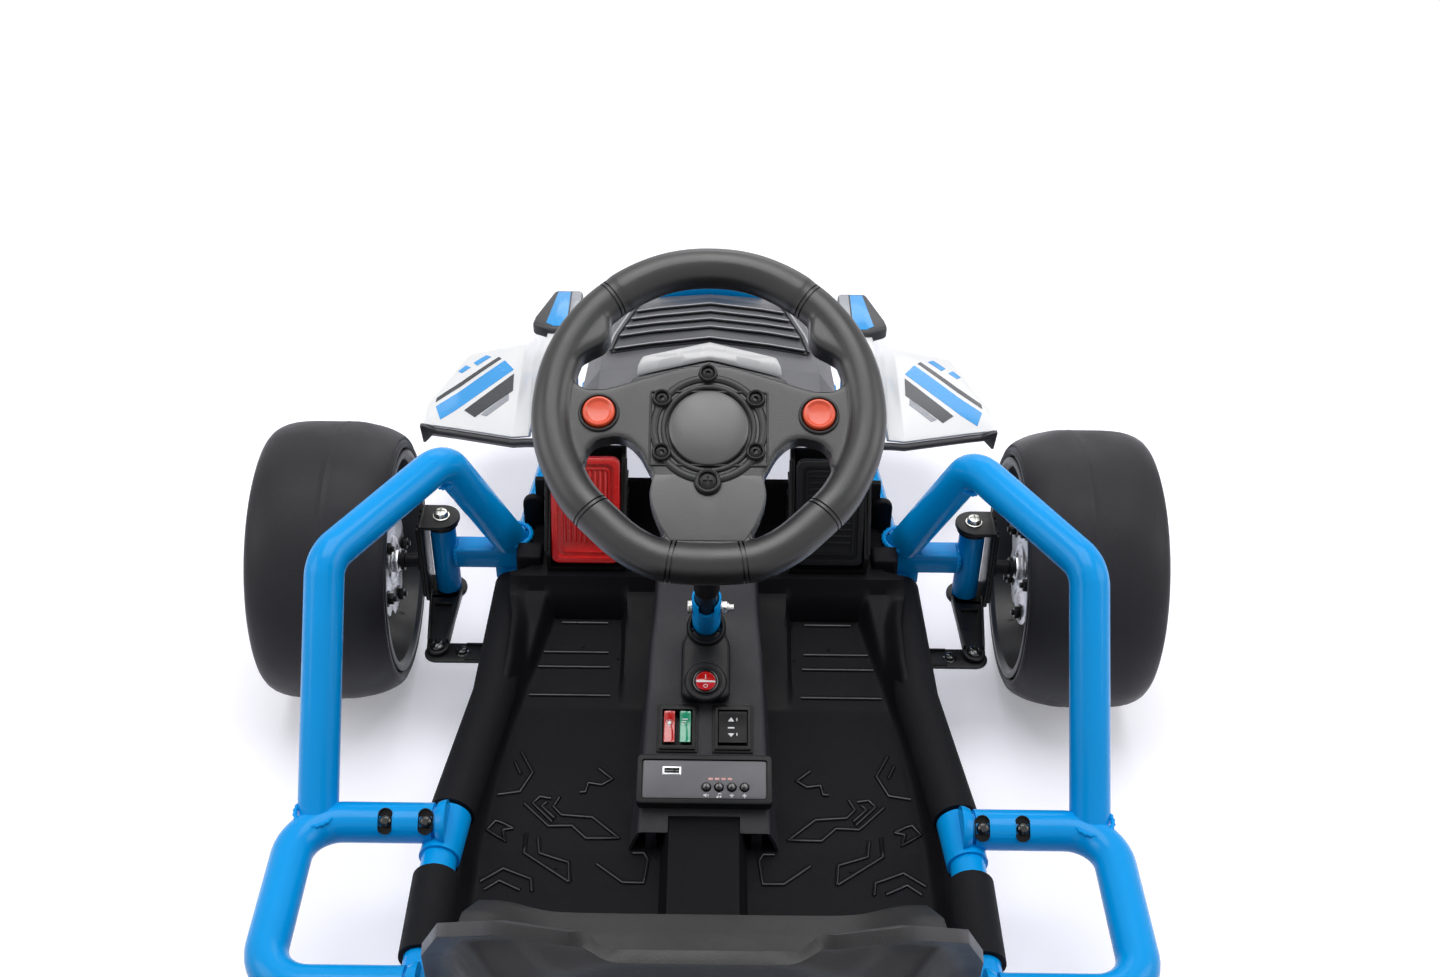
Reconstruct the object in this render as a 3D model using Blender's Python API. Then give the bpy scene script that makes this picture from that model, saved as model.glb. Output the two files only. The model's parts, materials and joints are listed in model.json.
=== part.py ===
"""Kids' electric drift go-kart.

Metres, +Z up. The nose points to +Y and the driver sits facing it, so +X is the driver's right.
The origin is on the ground, under the middle of the kart. Each object is one piece of the kart.
"""
import math

import bmesh
import bpy
from mathutils import Matrix, Vector

# Whole kart
KART_LENGTH = 1.200
WHEEL_R = 0.130
WHEEL_W = 0.135
TRACK_HALF = 0.3375
FRONT_AXLE_Y = 0.210
REAR_AXLE_Y = 0.170 - KART_LENGTH / 2
GAP = 0.0004
RUN_GAP = 0.0008
FACETS = 8
ROUND_FACETS = 14
WHEEL_FACETS = 20

# Frame tubes. Heights are measured from the middle of the rails.
RAIL_Z = WHEEL_R - 0.015
RAIL_R = 0.014
TAIL_X = TRACK_HALF - 0.1655
TAIL_Y = REAR_AXLE_Y - 0.118
NOSE_ROOT_Y = 0.402
NOSE_STRETCH = (KART_LENGTH / 2 - NOSE_ROOT_Y) / 0.198
NOSE_TUBE_Y = NOSE_ROOT_Y + 0.078 * NOSE_STRETCH
RAIL_PLAN = [(0.150, NOSE_TUBE_Y), (0.170, 0.290), (0.181, 0.180), (0.184, 0.050), (0.207, -0.115),
             (0.207, REAR_AXLE_Y + 0.110), (TAIL_X, REAR_AXLE_Y - 0.010), (TAIL_X, TAIL_Y)]
RAIL_BEND_R = 0.050
FOAM_R = 0.018
FOAM_FRONT_Y = 0.176
FOAM_REAR_Y = -0.086
BAR_R = 0.016
LEG_R = 0.014
SPIGOT_R = 0.0125
CROSSBAR_Y = -0.110
CROSSBAR_Z = RAIL_Z + 0.017
CROSSBAR_BOLT_XS = (0.2285, 0.2590)
APEX = (0.227, 0.156, RAIL_Z + 0.175)
BAR_BEND = (0.305, 0.030, RAIL_Z + 0.170)
BAR_FOOT_X = 0.304
LEG_FOOT = (0.181, 0.214, RAIL_Z + 0.033)
APEX_BEND_R = 0.030
HOOP_X = 0.318
HOOP_REAR_Y = REAR_AXLE_Y + 0.168
HOOP_BEND_R = 0.035
BEAM_SIDE = 0.022
BEAM_Z = RAIL_Z + 0.026
CROSS_TUBE_R = 0.012
DASH_TUBE_Y = 0.330
SEAT_TUBE_YS = (REAR_AXLE_Y + 0.195, REAR_AXLE_Y + 0.045)
TAIL_TUBE_Y = REAR_AXLE_Y - 0.090
TAIL_TUBE_Z = RAIL_Z + 0.015
TAIL_PLATE_HALF = 0.024
POST_R = 0.008
POST_X = 0.147

# Front axle
KINGPIN_X = TRACK_HALF - 0.092
KINGPIN_TUBE_R = 0.012
KINGPIN_TUBE_LOW = RAIL_Z - 0.0165
KINGPIN_TUBE_TOP = RAIL_Z + 0.0640
KINGPIN_R = 0.005
PLATE = 0.004
KNUCKLE_WEB_X = KINGPIN_X + 0.016
KNUCKLE_TAB_R = 0.017
KNUCKLE_WEB_HALF = 0.017
ARM_LENGTH = 0.082
ARM_END = (KINGPIN_X, FRONT_AXLE_Y - ARM_LENGTH)
ARM_END_R = 0.010
ARM_RIB_H = 0.007
AXLE_R = 0.006
STUB_END_X = TRACK_HALF + 0.0595
NUT_R = 0.011
NUT_H = 0.008
ROD_THICK = 0.003
ROD_HALF_W = 0.012
ROD_PIN_R = 0.004
TONGUE_HALF_W = 0.013
SLOT_HALF_W = 0.0055
SLOT_REACH = (-0.004, 0.0230)
TONGUE_REAR = -0.010

# Rear axle
GEARBOX_X = (TRACK_HALF - 0.1340, TRACK_HALF - 0.0755)
GEARBOX_R = 0.040
MOTOR_CASE_R = 0.027
MOTOR_AT = (-0.045, 0.038)
DRIVE_BOSS_R = 0.030
MOTOR_R = 0.0185
MOTOR_LENGTH = 0.046
AXLE_TUBE_END = GEARBOX_X[0] - 0.0035
AXLE_BORE_R = 0.0086
REAR_AXLE_R = 0.008
REAR_AXLE_END = STUB_END_X
STRUT_Y = 0.194
STRUT_LOW = RAIL_Z - 0.0175
STRUT_THICK = 0.005
STRUT_HALF = 0.014
TRAY_Z = WHEEL_R + RAIL_R + 0.001
BATTERY_X = (-0.095, 0.080)
BATTERY_YS = (REAR_AXLE_Y - 0.110, REAR_AXLE_Y - 0.022)
BATTERY_H = 0.078
CONTROLLER_X = (0.090, GEARBOX_X[0] - MOTOR_LENGTH - 0.0075)
CONTROLLER_H = 0.034
BUMPER_HALF = 0.300
BUMPER_Z = RAIL_Z + 0.015
BUMPER_TURN = 0.055
BUMPER_RISE = 0.045
BUMPER_BEND_R = 0.060

# Wheels
RIM_R = 0.8 * WHEEL_R
RIM_LIP = 0.005
DISC_R = 0.415 * WHEEL_R
DISC_THICK = 0.003
DISC_FACE = 0.018
GROOVE_DEPTH = 0.016
WHEEL_CONE_R = 0.277 * WHEEL_R

# Steering column, a straight line given by one point and its rake
COLUMN_POINT = (0.0, 0.077, RAIL_Z + 0.055)
COLUMN_RAKE = math.radians(58.5)
COLUMN_R = 0.012
COLUMN_WALL = 0.002
COLUMN_TOP = 0.094
COLUMN_LOW = -0.044
SHAFT_R = 0.0095
SHAFT_LOW = 0.046
CROSS_BOLT_AT = 0.066
CROSS_BOLT_R = 0.003
CROSS_HEAD_R = 0.0055
DROP_ARM = 0.0519
DROP_ARM_THICK = 0.005
DROP_PIN_R = 0.003
DROP_PIN_LENGTH = 0.030
HUB_AT = 0.4434
HUB_SEAT = 0.030
HUB_DEPTH = 0.026
BUSH_R = 0.017
BUSH_LENGTH = 0.018
BUSH_AT = -0.019

# Steering wheel, in its own plane
RIM_CENTRE_R = 0.0965
RIM_TUBE_R = 0.0130
RIM_RISE = 0.0145
RIM_FLAT_ANGLE = 75
SPOKE_THICK = 0.012
HUB_RING_R = 0.036
HUB_CAP_R = 0.0245
WHEEL_BUTTON_R = 0.010
WHEEL_BUTTON_AT = (0.067, 0.0095)

# Floor pan: heights along the kart, and the rows its sheet is laid on
PAN_THICK = 0.003
PAN_REAR_Y = REAR_AXLE_Y + 0.215
PAN_FRONT_HALF = 0.1615
PAN_RIM_W = 0.014
STEP_Z = RAIL_Z + 0.041
STEP_REAR_Y = 0.158
PAN_WALL_Y = 0.238
PAN_WALL_TOP = RAIL_Z + 0.085
TUNNEL_HALF = 0.029
TUNNEL_Z = RAIL_Z - 0.002
TUNNEL_DRAFT = 0.006
TUNNEL_FRONT_Y = -0.0860
PAN_FLOOR = [(-0.30, RAIL_Z - 0.029), (-0.10, RAIL_Z - 0.027), (0.05, RAIL_Z - 0.015),
             (0.148, RAIL_Z + 0.0265),
             (0.154, RAIL_Z + 0.028), (0.160, STEP_Z), (0.30, STEP_Z)]
FOOTWELL_X = (0.068, 0.150)
FOOTWELL_FLOOR = [(-0.30, RAIL_Z + 0.085), (0.052, RAIL_Z - 0.014), (0.075, RAIL_Z - 0.011),
                  (0.148, RAIL_Z - 0.001),
                  (0.154, RAIL_Z + 0.028), (0.160, RAIL_Z + 0.085)]
PAN_RIM = [(-0.30, RAIL_Z + 0.022), (0.148, RAIL_Z + 0.022), (0.160, STEP_Z), (0.30, STEP_Z)]
PAN_YS = [PAN_REAR_Y, -0.1150, TUNNEL_FRONT_Y - 0.004, TUNNEL_FRONT_Y, -0.020, 0.050, 0.075, 0.148, 0.154,
          0.160,
          0.165, PAN_WALL_Y]

# Console and its switches
CONSOLE_REAR_Y = -0.098
CONSOLE_FRONT_Y = 0.168
CONSOLE_REAR_Z = RAIL_Z - 0.005
CONSOLE_SLOPE = 0.39
CONSOLE_WALL = 0.0025
CONSOLE_HALF_FRONT = 0.0465
CONSOLE_HALF_REAR = 0.0545
CONSOLE_FLARE = 0.006
CONSOLE_OPENING = 0.0480
CONSOLE_SEAT = 0.0015
SWITCH_Y = -0.0150
SWITCH_X = 0.0230
SWITCH_PLATE = (0.033, 0.041, 0.003)
SWITCH_CLEAR = 0.0030
ROCKER_WINDOW = (0.0125, 0.0160)
ROCKER_SPLIT = 0.0063
ROCKER_HALF_W = 0.0057
WIDE_ROCKER_HALF_W = 0.0120
POWER_Y = 0.019
POWER_R = 0.0095
BOOT_R = 0.0205
BOOT_H = 0.013
BOOT_REAR = 0.0145
BOOT_CORNER = 0.008
MEDIA_Y = -0.0600
MEDIA_SIZE = (0.110, 0.042, 0.012)
USB_X = -0.0265
MUSIC_XS = (0.0015, 0.0118, 0.0221, 0.0324)
MUSIC_ROW = -0.0065
MUSIC_R = 0.0034
MUSIC_DEPTH = 0.0045

# Pedals
PEDAL_X = 0.110
PEDAL_SIZE = (0.062, 0.092, 0.009)
PEDAL_HINGE = (0.176, STEP_Z + 0.014)
PEDAL_LEAN = math.radians(68)
PEDAL_CHEEK = 0.004
PEDAL_PIN_R = 0.003
PEDAL_FRAME_FRONT = 0.2345
PEDAL_FRAME_TOP = STEP_Z + 0.094

# Nose shell: at each half width, distances forward of its root and heights over the rails' middle
SHELL = 0.003
NOSE_STEEP = 1.05
NOSE_LIP_Z = RAIL_Z + 0.005
NOSE_LIP = 0.004
TRIM_R = 0.0035
TRIM_START_X = 0.199
NOSE_STATIONS = [
    (0.000, [(0.000, 0.185), (0.048, 0.168), (0.103, 0.135), (0.158, 0.090), (0.1905, 0.035)]),
    (0.060, [(0.000, 0.183), (0.048, 0.166), (0.103, 0.133), (0.158, 0.087), (0.1885, 0.035)]),
    (0.112, [(0.000, 0.147), (0.048, 0.137), (0.103, 0.120), (0.158, 0.085), (0.1860, 0.033)]),
    (0.135, [(0.000, 0.121), (0.048, 0.121), (0.108, 0.113), (0.158, 0.083), (0.1820, 0.031)]),
    (0.165, [(0.003, 0.115), (0.053, 0.117), (0.113, 0.110), (0.155, 0.083), (0.1750, 0.029)]),
    (0.184, [(0.006, 0.061), (0.053, 0.067), (0.113, 0.067), (0.146, 0.057), (0.1640, 0.027)]),
    (0.200, [(0.008, 0.035), (0.053, 0.041), (0.108, 0.045), (0.143, 0.041), (0.1580, 0.025)]),
    (0.262, [(0.001, 0.031), (0.038, 0.035), (0.088, 0.038), (0.128, 0.035), (0.1410, 0.023)]),
    (0.293, [(-0.004, 0.028), (0.008, 0.030), (0.023, 0.031), (0.038, 0.030), (0.0500, 0.023)]),
]

# Dash and bonnet shell: heights and half widths along the kart
HOOD_TOP = [(0.205, RAIL_Z + 0.203), (0.235, RAIL_Z + 0.215), (0.290, RAIL_Z + 0.213),
            (0.400, RAIL_Z + 0.187)]
HOOD_HALF = [(0.205, 0.098), (0.290, 0.094), (0.400, 0.078)]
HOOD_SKIRT = [(0.205, 0.044), (0.260, 0.058), (0.290, 0.066), (0.400, 0.060)]
HOOD_CROWN = 0.008
HOOD_RIDGE = 0.55
HOOD_YS = [0.212, 0.235, 0.290, 0.345, 0.3985]
SKIRT_SEAT = 0.0026
DASH_REAR_LOW = RAIL_Z + 0.154
LOUVRE_YS = (0.264, 0.372)
LOUVRE_HALVES = (0.086, 0.066)
LOUVRE_PEAK = 0.010
LOUVRE_LIFT = 0.0035
LOUVRE_BACK = 0.004
LOUVRE_STEPS = 5
LOUVRE_THICK = 0.0020
LOUVRE_SEAT = LOUVRE_THICK + 0.0010
CREST_YS = (0.228, 0.238, 0.262)
CREST_RISE = 0.006
CREST_THICK = 0.0025
CREST_HALF = 0.060
CREST_PEAK = 0.006

# Seat: distance from the rear axle, height over the rails' middle, share of the half width, bolster, tilt
SEAT_SHELL = 0.007
SEAT_HALF = TRACK_HALF - 0.1625
SEAT_BASE = 0.0345
SEAT_BASE_Z = RAIL_Z + SEAT_BASE
SEAT_STRAP_YS = (REAR_AXLE_Y + 0.138, REAR_AXLE_Y + 0.075)
SEAT_RUNNER = (0.470, 0.594)
SEAT_SPINE = [
    (0.208, 0.046, 0.92, 0.010, 0), (0.188, 0.046, 0.97, 0.022, 0), (0.150, SEAT_BASE, 1.00, 0.040, 0),
    (0.080, SEAT_BASE, 1.00, 0.058, 15), (0.036, 0.054, 0.98, 0.066, 40), (0.012, 0.100, 0.96, 0.064, 66),
    (-0.012, 0.180, 0.92, 0.056, 74), (-0.036, 0.262, 0.87, 0.046, 74), (-0.054, 0.322, 0.77, 0.034, 74),
    (-0.066, 0.362, 0.58, 0.020, 74), (-0.071, 0.380, 0.36, 0.008, 74),
]


def clear_scene():
    for item in list(bpy.data.objects):
        bpy.data.objects.remove(item, do_unlink=True)


def material(name, colour, roughness, metallic=0.0):
    """One Principled material in the piece's own colour."""
    made = bpy.data.materials.new(name)
    made.use_nodes = True
    shader = made.node_tree.nodes["Principled BSDF"]
    shader.inputs["Base Color"].default_value = (*colour, 1.0)
    shader.inputs["Roughness"].default_value = roughness
    shader.inputs["Metallic"].default_value = metallic
    return made


FINISHES = {
    "blue": ((0.010, 0.190, 0.620), 0.28, 0.0),
    "black_steel": ((0.012, 0.012, 0.013), 0.35, 0.0),
    "black_plastic": ((0.016, 0.016, 0.018), 0.55, 0.0),
    "gloss_black": ((0.010, 0.010, 0.011), 0.20, 0.0),
    "foam": ((0.011, 0.011, 0.012), 0.80, 0.0),
    "tyre": ((0.020, 0.020, 0.021), 0.70, 0.0),
    "zinc": ((0.620, 0.620, 0.600), 0.30, 1.0),
    "silver": ((0.560, 0.570, 0.580), 0.30, 1.0),
    "red": ((0.620, 0.010, 0.012), 0.35, 0.0),
    "green": ((0.000, 0.300, 0.160), 0.30, 0.0),
    "white": ((0.800, 0.800, 0.800), 0.25, 0.0),
    "grey": ((0.060, 0.062, 0.068), 0.45, 0.0),
}


def closed_up(piece):
    """Merges the doubled points of a piece's caps and turns its faces outwards."""
    shape = bmesh.new()
    shape.from_mesh(piece.data)
    bmesh.ops.remove_doubles(shape, verts=shape.verts[:], dist=0.00002)
    bmesh.ops.recalc_face_normals(shape, faces=shape.faces[:])
    shape.to_mesh(piece.data)
    shape.free()
    return piece


def mesh_object(name, mesh):
    made = bpy.data.objects.new(name, mesh)
    bpy.context.scene.collection.objects.link(made)
    return made


def from_bmesh(name, shape):
    """Turns a bmesh into an object with its faces pointing outwards."""
    bmesh.ops.remove_doubles(shape, verts=shape.verts[:], dist=0.00002)
    bmesh.ops.recalc_face_normals(shape, faces=shape.faces[:])
    mesh = bpy.data.meshes.new(name)
    shape.to_mesh(mesh)
    shape.free()
    return mesh_object(name, mesh)


def finish(piece, name, look, smooth=35):
    """Names a finished piece, gives it its own material and shades it."""
    piece.name = name
    piece.data.name = name
    piece.data.materials.clear()
    piece.data.materials.append(material(name + "_finish", *FINISHES[look]))
    piece.data.shade_smooth()
    piece.data.set_sharp_from_angle(angle=math.radians(smooth))
    return piece


def evaluated(piece):
    """Applies the modifiers of a piece, or turns a curve into a mesh."""
    graph = bpy.context.evaluated_depsgraph_get()
    graph.update()
    mesh = bpy.data.meshes.new_from_object(piece.evaluated_get(graph), depsgraph=graph)
    mesh.transform(piece.matrix_world)
    name = piece.name
    bpy.data.objects.remove(piece, do_unlink=True)
    return mesh_object(name, mesh)


def combine(base, tools, operation, solver="EXACT"):
    """A Boolean of one piece with each tool in turn, which uses the tools up."""
    for tool in tools:
        step = base.modifiers.new("shape", "BOOLEAN")
        step.operation = operation
        step.solver = solver
        step.object = tool
    done = evaluated(base)
    for tool in tools:
        bpy.data.objects.remove(tool, do_unlink=True)
    return done


def fuse(base, *tools):
    return combine(base, tools, "UNION")


def cut(base, *tools):
    return combine(base, tools, "DIFFERENCE")


def place(piece, matrix):
    """Moves a piece by moving its mesh, so that its own axes stay the kart's."""
    piece.data.transform(matrix)
    piece.data.update()
    return piece


def set_pivot(piece, point):
    """Puts the origin of a moving piece on its joint axis."""
    piece.data.transform(Matrix.Translation(-Vector(point)))
    piece.location = point
    return piece


def side_name(side):
    return "left" if side < 0 else "right"


def block(low, high, bevel=0.0):
    shape = bmesh.new()
    bmesh.ops.create_cube(shape, size=1.0)
    size = Vector(high) - Vector(low)
    middle = (Vector(high) + Vector(low)) / 2
    bmesh.ops.scale(shape, vec=size, verts=shape.verts[:])
    bmesh.ops.translate(shape, vec=middle, verts=shape.verts[:])
    if bevel:
        bmesh.ops.bevel(shape, geom=shape.edges[:], offset=bevel, segments=1, affect="EDGES", profile=0.5)
    return from_bmesh("block", shape)


def sided_block(side, low, high, bevel=0.0):
    """A block given for the right side, mirrored when side is -1."""
    xs = sorted((side * low[0], side * high[0]))
    return block((xs[0], low[1], low[2]), (xs[1], high[1], high[2]), bevel)


def rod(start, end, radius, facets=FACETS, end_radius=None):
    """A round bar between two points, or a cone when it has an end radius."""
    start, end = Vector(start), Vector(end)
    shape = bmesh.new()
    bmesh.ops.create_cone(shape, cap_ends=True, segments=facets, radius1=radius,
                          radius2=radius if end_radius is None else end_radius, depth=(end - start).length)
    turn = Vector((0, 0, 1)).rotation_difference((end - start).normalized()).to_matrix().to_4x4()
    bmesh.ops.transform(shape, matrix=Matrix.Translation((start + end) / 2) @ turn, verts=shape.verts[:])
    return from_bmesh("rod", shape)


def extruded(outline, low, high, matrix=None):
    """A closed outline in local X and Y, extruded from one local Z to another."""
    shape = bmesh.new()
    ring = [shape.verts.new((x, y, low)) for x, y in outline]
    face = shape.faces.new(ring)
    moved = bmesh.ops.extrude_face_region(shape, geom=[face])["geom"]
    rise = [item for item in moved if isinstance(item, bmesh.types.BMVert)]
    bmesh.ops.translate(shape, vec=(0, 0, high - low), verts=rise)
    if matrix is not None:
        bmesh.ops.transform(shape, matrix=matrix, verts=shape.verts[:])
    return from_bmesh("extruded", shape)


def turned(profile, facets, matrix):
    """Spins a closed profile of (radius, height) points about local Z."""
    shape = bmesh.new()
    ring = [shape.verts.new((radius, 0, height)) for radius, height in profile]
    edges = [shape.edges.new((ring[i - 1], ring[i])) for i in range(len(ring))]
    bmesh.ops.spin(shape, geom=ring + edges, cent=(0, 0, 0), axis=(0, 0, 1), angle=math.tau, steps=facets,
                   use_duplicate=False)
    bmesh.ops.transform(shape, matrix=matrix, verts=shape.verts[:])
    return from_bmesh("turned", shape)


def bent(points, bend_radius, steps=4):
    """The points of a polyline with each corner rounded to a bend radius."""
    points = [Vector(point) for point in points]
    path = [points[0]]
    for before, corner, after in zip(points, points[1:], points[2:]):
        a, b = (before - corner).normalized(), (after - corner).normalized()
        half = a.angle(b) / 2
        reach = min(bend_radius / math.tan(half), 0.45 * (before - corner).length,
                    0.45 * (after - corner).length)
        centre = corner + (a + b).normalized() * (reach / math.cos(half))
        first, last = corner + a * reach - centre, corner + b * reach - centre
        for step in range(steps + 1):
            turn = first.normalized().slerp(last.normalized(), step / steps)
            path.append(centre + turn * first.length)
    path.append(points[-1])
    return path


def tube(points, radius, bend_radius=0.03, resolution=2, steps=3):
    """A bent round bar, as a bevelled curve with filled ends."""
    path = bent(points, bend_radius, steps) if bend_radius else [Vector(point) for point in points]
    curve = bpy.data.curves.new("tube", "CURVE")
    curve.dimensions = "3D"
    curve.twist_mode = "Z_UP"
    curve.bevel_depth = radius
    curve.bevel_resolution = resolution
    curve.use_fill_caps = True
    spline = curve.splines.new("POLY")
    spline.points.add(len(path) - 1)
    for point, co in zip(spline.points, path):
        point.co = (*co, 1.0)
    made = bpy.data.objects.new("tube", curve)
    bpy.context.scene.collection.objects.link(made)
    return closed_up(evaluated(made))


def arc(centre, radius, start, end, steps):
    """Points on an arc in a plane, with angles in degrees."""
    out = []
    for step in range(steps + 1):
        angle = math.radians(start + (end - start) * step / steps)
        out.append((centre[0] + radius * math.cos(angle), centre[1] + radius * math.sin(angle)))
    return out


def rounded(half_w, half_h, radius, steps=2):
    """The outline of a rectangle with round corners, about its middle."""
    x, y = half_w - radius, half_h - radius
    return (arc((x, y), radius, 0, 90, steps) + arc((-x, y), radius, 90, 180, steps)
            + arc((-x, -y), radius, 180, 270, steps) + arc((x, -y), radius, 270, 360, steps))


def sheet(rows, thickness, offset=-1.0):
    """A shell from rows of points, thickened by Solidify."""
    shape = bmesh.new()
    grid = [[shape.verts.new(point) for point in row] for row in rows]
    for low, high in zip(grid, grid[1:]):
        for i in range(len(low) - 1):
            shape.faces.new((low[i], low[i + 1], high[i + 1], high[i]))
    bmesh.ops.remove_doubles(shape, verts=shape.verts[:], dist=0.00002)
    mesh = bpy.data.meshes.new("sheet")
    shape.to_mesh(mesh)
    shape.free()
    made = mesh_object("sheet", mesh)
    wall = made.modifiers.new("wall", "SOLIDIFY")
    wall.thickness = thickness
    wall.offset = offset
    wall.use_even_offset = True
    wall.use_quality_normals = True
    return closed_up(evaluated(made))


def rail_points(side):
    return [(side * x, y, RAIL_Z) for x, y in RAIL_PLAN]


def rail_x(y):
    """Half distance between the rails at a place along the kart."""
    for (x1, y1), (x2, y2) in zip(RAIL_PLAN, RAIL_PLAN[1:]):
        if y2 <= y <= y1:
            return x1 + (x2 - x1) * (y1 - y) / (y1 - y2)
    return RAIL_PLAN[0][0] if y > RAIL_PLAN[0][1] else RAIL_PLAN[-1][0]


def column_axis():
    return Vector((0.0, -math.cos(COLUMN_RAKE), math.sin(COLUMN_RAKE)))


def column_at(distance):
    return Vector(COLUMN_POINT) + column_axis() * distance


def column_frame(distance):
    """Local Z along the column towards the driver, X to the right, Y up the wheel's face."""
    z = column_axis()
    x = Vector((1, 0, 0))
    y = z.cross(x)
    frame = Matrix((x, y, z)).transposed().to_4x4()
    return Matrix.Translation(column_at(distance)) @ frame


def console_z(y):
    return CONSOLE_REAR_Z + (y - CONSOLE_REAR_Y) * CONSOLE_SLOPE


def console_frame(x, y, rise=0.0):
    """Local Z square to the console's top, Y up its slope."""
    slope = math.atan(CONSOLE_SLOPE)
    at = Vector((x, y, console_z(y))) + Vector((0, -math.sin(slope), math.cos(slope))) * rise
    return Matrix.Translation(at) @ Matrix.Rotation(slope, 4, "X")


def beam_ends():
    return KINGPIN_X - KINGPIN_TUBE_R + 0.002


def build_frame():
    """The welded frame: rails, beam, kingpin tubes, cross tubes, posts and brackets."""
    parts = []
    for side in (-1, 1):
        parts.append(tube(rail_points(side), RAIL_R, RAIL_BEND_R))
        x = side * KINGPIN_X
        parts.append(rod((x, FRONT_AXLE_Y, KINGPIN_TUBE_LOW), (x, FRONT_AXLE_Y, KINGPIN_TUBE_TOP),
                         KINGPIN_TUBE_R))
        saddle = rail_x(FRONT_AXLE_Y)
        parts.append(sided_block(side, (saddle - 0.010, FRONT_AXLE_Y - 0.009, RAIL_Z),
                                 (saddle + 0.010, FRONT_AXLE_Y + 0.009, BEAM_Z)))
        parts.append(rod((side * rail_x(CROSSBAR_Y), CROSSBAR_Y, CROSSBAR_Z),
                         (side * (BAR_FOOT_X - 0.030), CROSSBAR_Y, CROSSBAR_Z), SPIGOT_R))
        parts.append(rod((side * rail_x(HOOP_REAR_Y), HOOP_REAR_Y, CROSSBAR_Z),
                         (side * (BAR_FOOT_X - 0.040), HOOP_REAR_Y, CROSSBAR_Z), SPIGOT_R))
        skirt_x, skirt_z = hood_section(DASH_TUBE_Y)[-1]
        post = side * (skirt_x - 0.001)
        parts.append(rod((post, DASH_TUBE_Y, RAIL_Z), (post, DASH_TUBE_Y, skirt_z - SKIRT_SEAT), POST_R))
        post = side * POST_X
        parts.append(rod((post, NOSE_TUBE_Y, RAIL_Z),
                         (post, NOSE_TUBE_Y, nose_under(POST_X, NOSE_TUBE_Y, POST_R)), POST_R))
        parts.append(sided_block(side, (TAIL_X - TAIL_PLATE_HALF, TAIL_Y - PLATE + 0.001,
                                        RAIL_Z - TAIL_PLATE_HALF),
                                 (TAIL_X + TAIL_PLATE_HALF, TAIL_Y + 0.001, RAIL_Z + TAIL_PLATE_HALF)))
    for y, z, radius in [(NOSE_TUBE_Y, RAIL_Z, CROSS_TUBE_R), (DASH_TUBE_Y, RAIL_Z, CROSS_TUBE_R),
                         (SEAT_TUBE_YS[0], RAIL_Z, CROSS_TUBE_R), (SEAT_TUBE_YS[1], RAIL_Z, CROSS_TUBE_R),
                         (TAIL_TUBE_Y, TAIL_TUBE_Z, CROSS_TUBE_R)]:
        parts.append(rod((-rail_x(y), y, z), (rail_x(y), y, z), radius))
    parts.append(rod((-AXLE_TUBE_END, REAR_AXLE_Y, WHEEL_R), (AXLE_TUBE_END, REAR_AXLE_Y, WHEEL_R), RAIL_R))
    parts.append(block((-beam_ends(), FRONT_AXLE_Y - BEAM_SIDE / 2, BEAM_Z - BEAM_SIDE / 2),
                       (beam_ends(), FRONT_AXLE_Y + BEAM_SIDE / 2, BEAM_Z + BEAM_SIDE / 2)))
    bar_x = rail_x(STRUT_Y)
    parts.append(block((-bar_x, STRUT_Y - STRUT_HALF, STRUT_LOW),
                       (bar_x, STRUT_Y + STRUT_HALF, STRUT_LOW + STRUT_THICK)))
    bush = column_frame(BUSH_AT)
    parts.append(place(rod((0, 0, -BUSH_LENGTH / 2), (0, 0, BUSH_LENGTH / 2), BUSH_R), bush))
    bush_at = column_at(BUSH_AT)
    foot = [(STRUT_Y + 0.012, STRUT_LOW + 0.001), (STRUT_Y + 0.012, STRUT_LOW + 0.012),
            (bush_at.y + 0.020, bush_at.z + 0.014), (bush_at.y + 0.013, bush_at.z - 0.004),
            (STRUT_Y - 0.012, STRUT_LOW + 0.001)]
    upright = Matrix(((0, 0, 1, 0), (1, 0, 0, 0), (0, 1, 0, 0), (0, 0, 0, 1)))
    parts.append(extruded(foot, -0.0025, 0.0025, upright))
    tray_half = TAIL_X - 0.004
    parts.append(block((-tray_half, TAIL_TUBE_Y - 0.012, TRAY_Z - PLATE / 2),
                       (tray_half, REAR_AXLE_Y, TRAY_Z)))
    frame = fuse(parts[0], *parts[1:])
    cuts = [rod((-REAR_AXLE_END, REAR_AXLE_Y, WHEEL_R), (REAR_AXLE_END, REAR_AXLE_Y, WHEEL_R), AXLE_BORE_R)]
    for side in (-1, 1):
        x = side * KINGPIN_X
        cuts.append(rod((x, FRONT_AXLE_Y, KINGPIN_TUBE_LOW - 0.01),
                        (x, FRONT_AXLE_Y, KINGPIN_TUBE_TOP + 0.01),
                        KINGPIN_R + RUN_GAP))
    cuts.append(place(rod((0, 0, -0.05), (0, 0, 0.05), COLUMN_R + RUN_GAP, ROUND_FACETS), bush))
    return finish(cut(frame, *cuts), "main_frame", "blue")


def nose_stations():
    """Half widths of the nose shell, each with its places along the kart and heights, front last."""
    return [(x, [(NOSE_ROOT_Y + ahead * NOSE_STRETCH, RAIL_Z + rise) for ahead, rise in profile])
            for x, profile in NOSE_STATIONS]


def nose_z(x):
    """Heights of the nose shell along the kart at a half width, front row last."""
    stations = nose_stations()
    for (x1, row1), (x2, row2) in zip(stations, stations[1:]):
        if x1 <= x <= x2:
            share = (x - x1) / (x2 - x1)
            return [(a[0] + (b[0] - a[0]) * share, a[1] + (b[1] - a[1]) * share) for a, b in zip(row1, row2)]
    return stations[-1][1]


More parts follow.
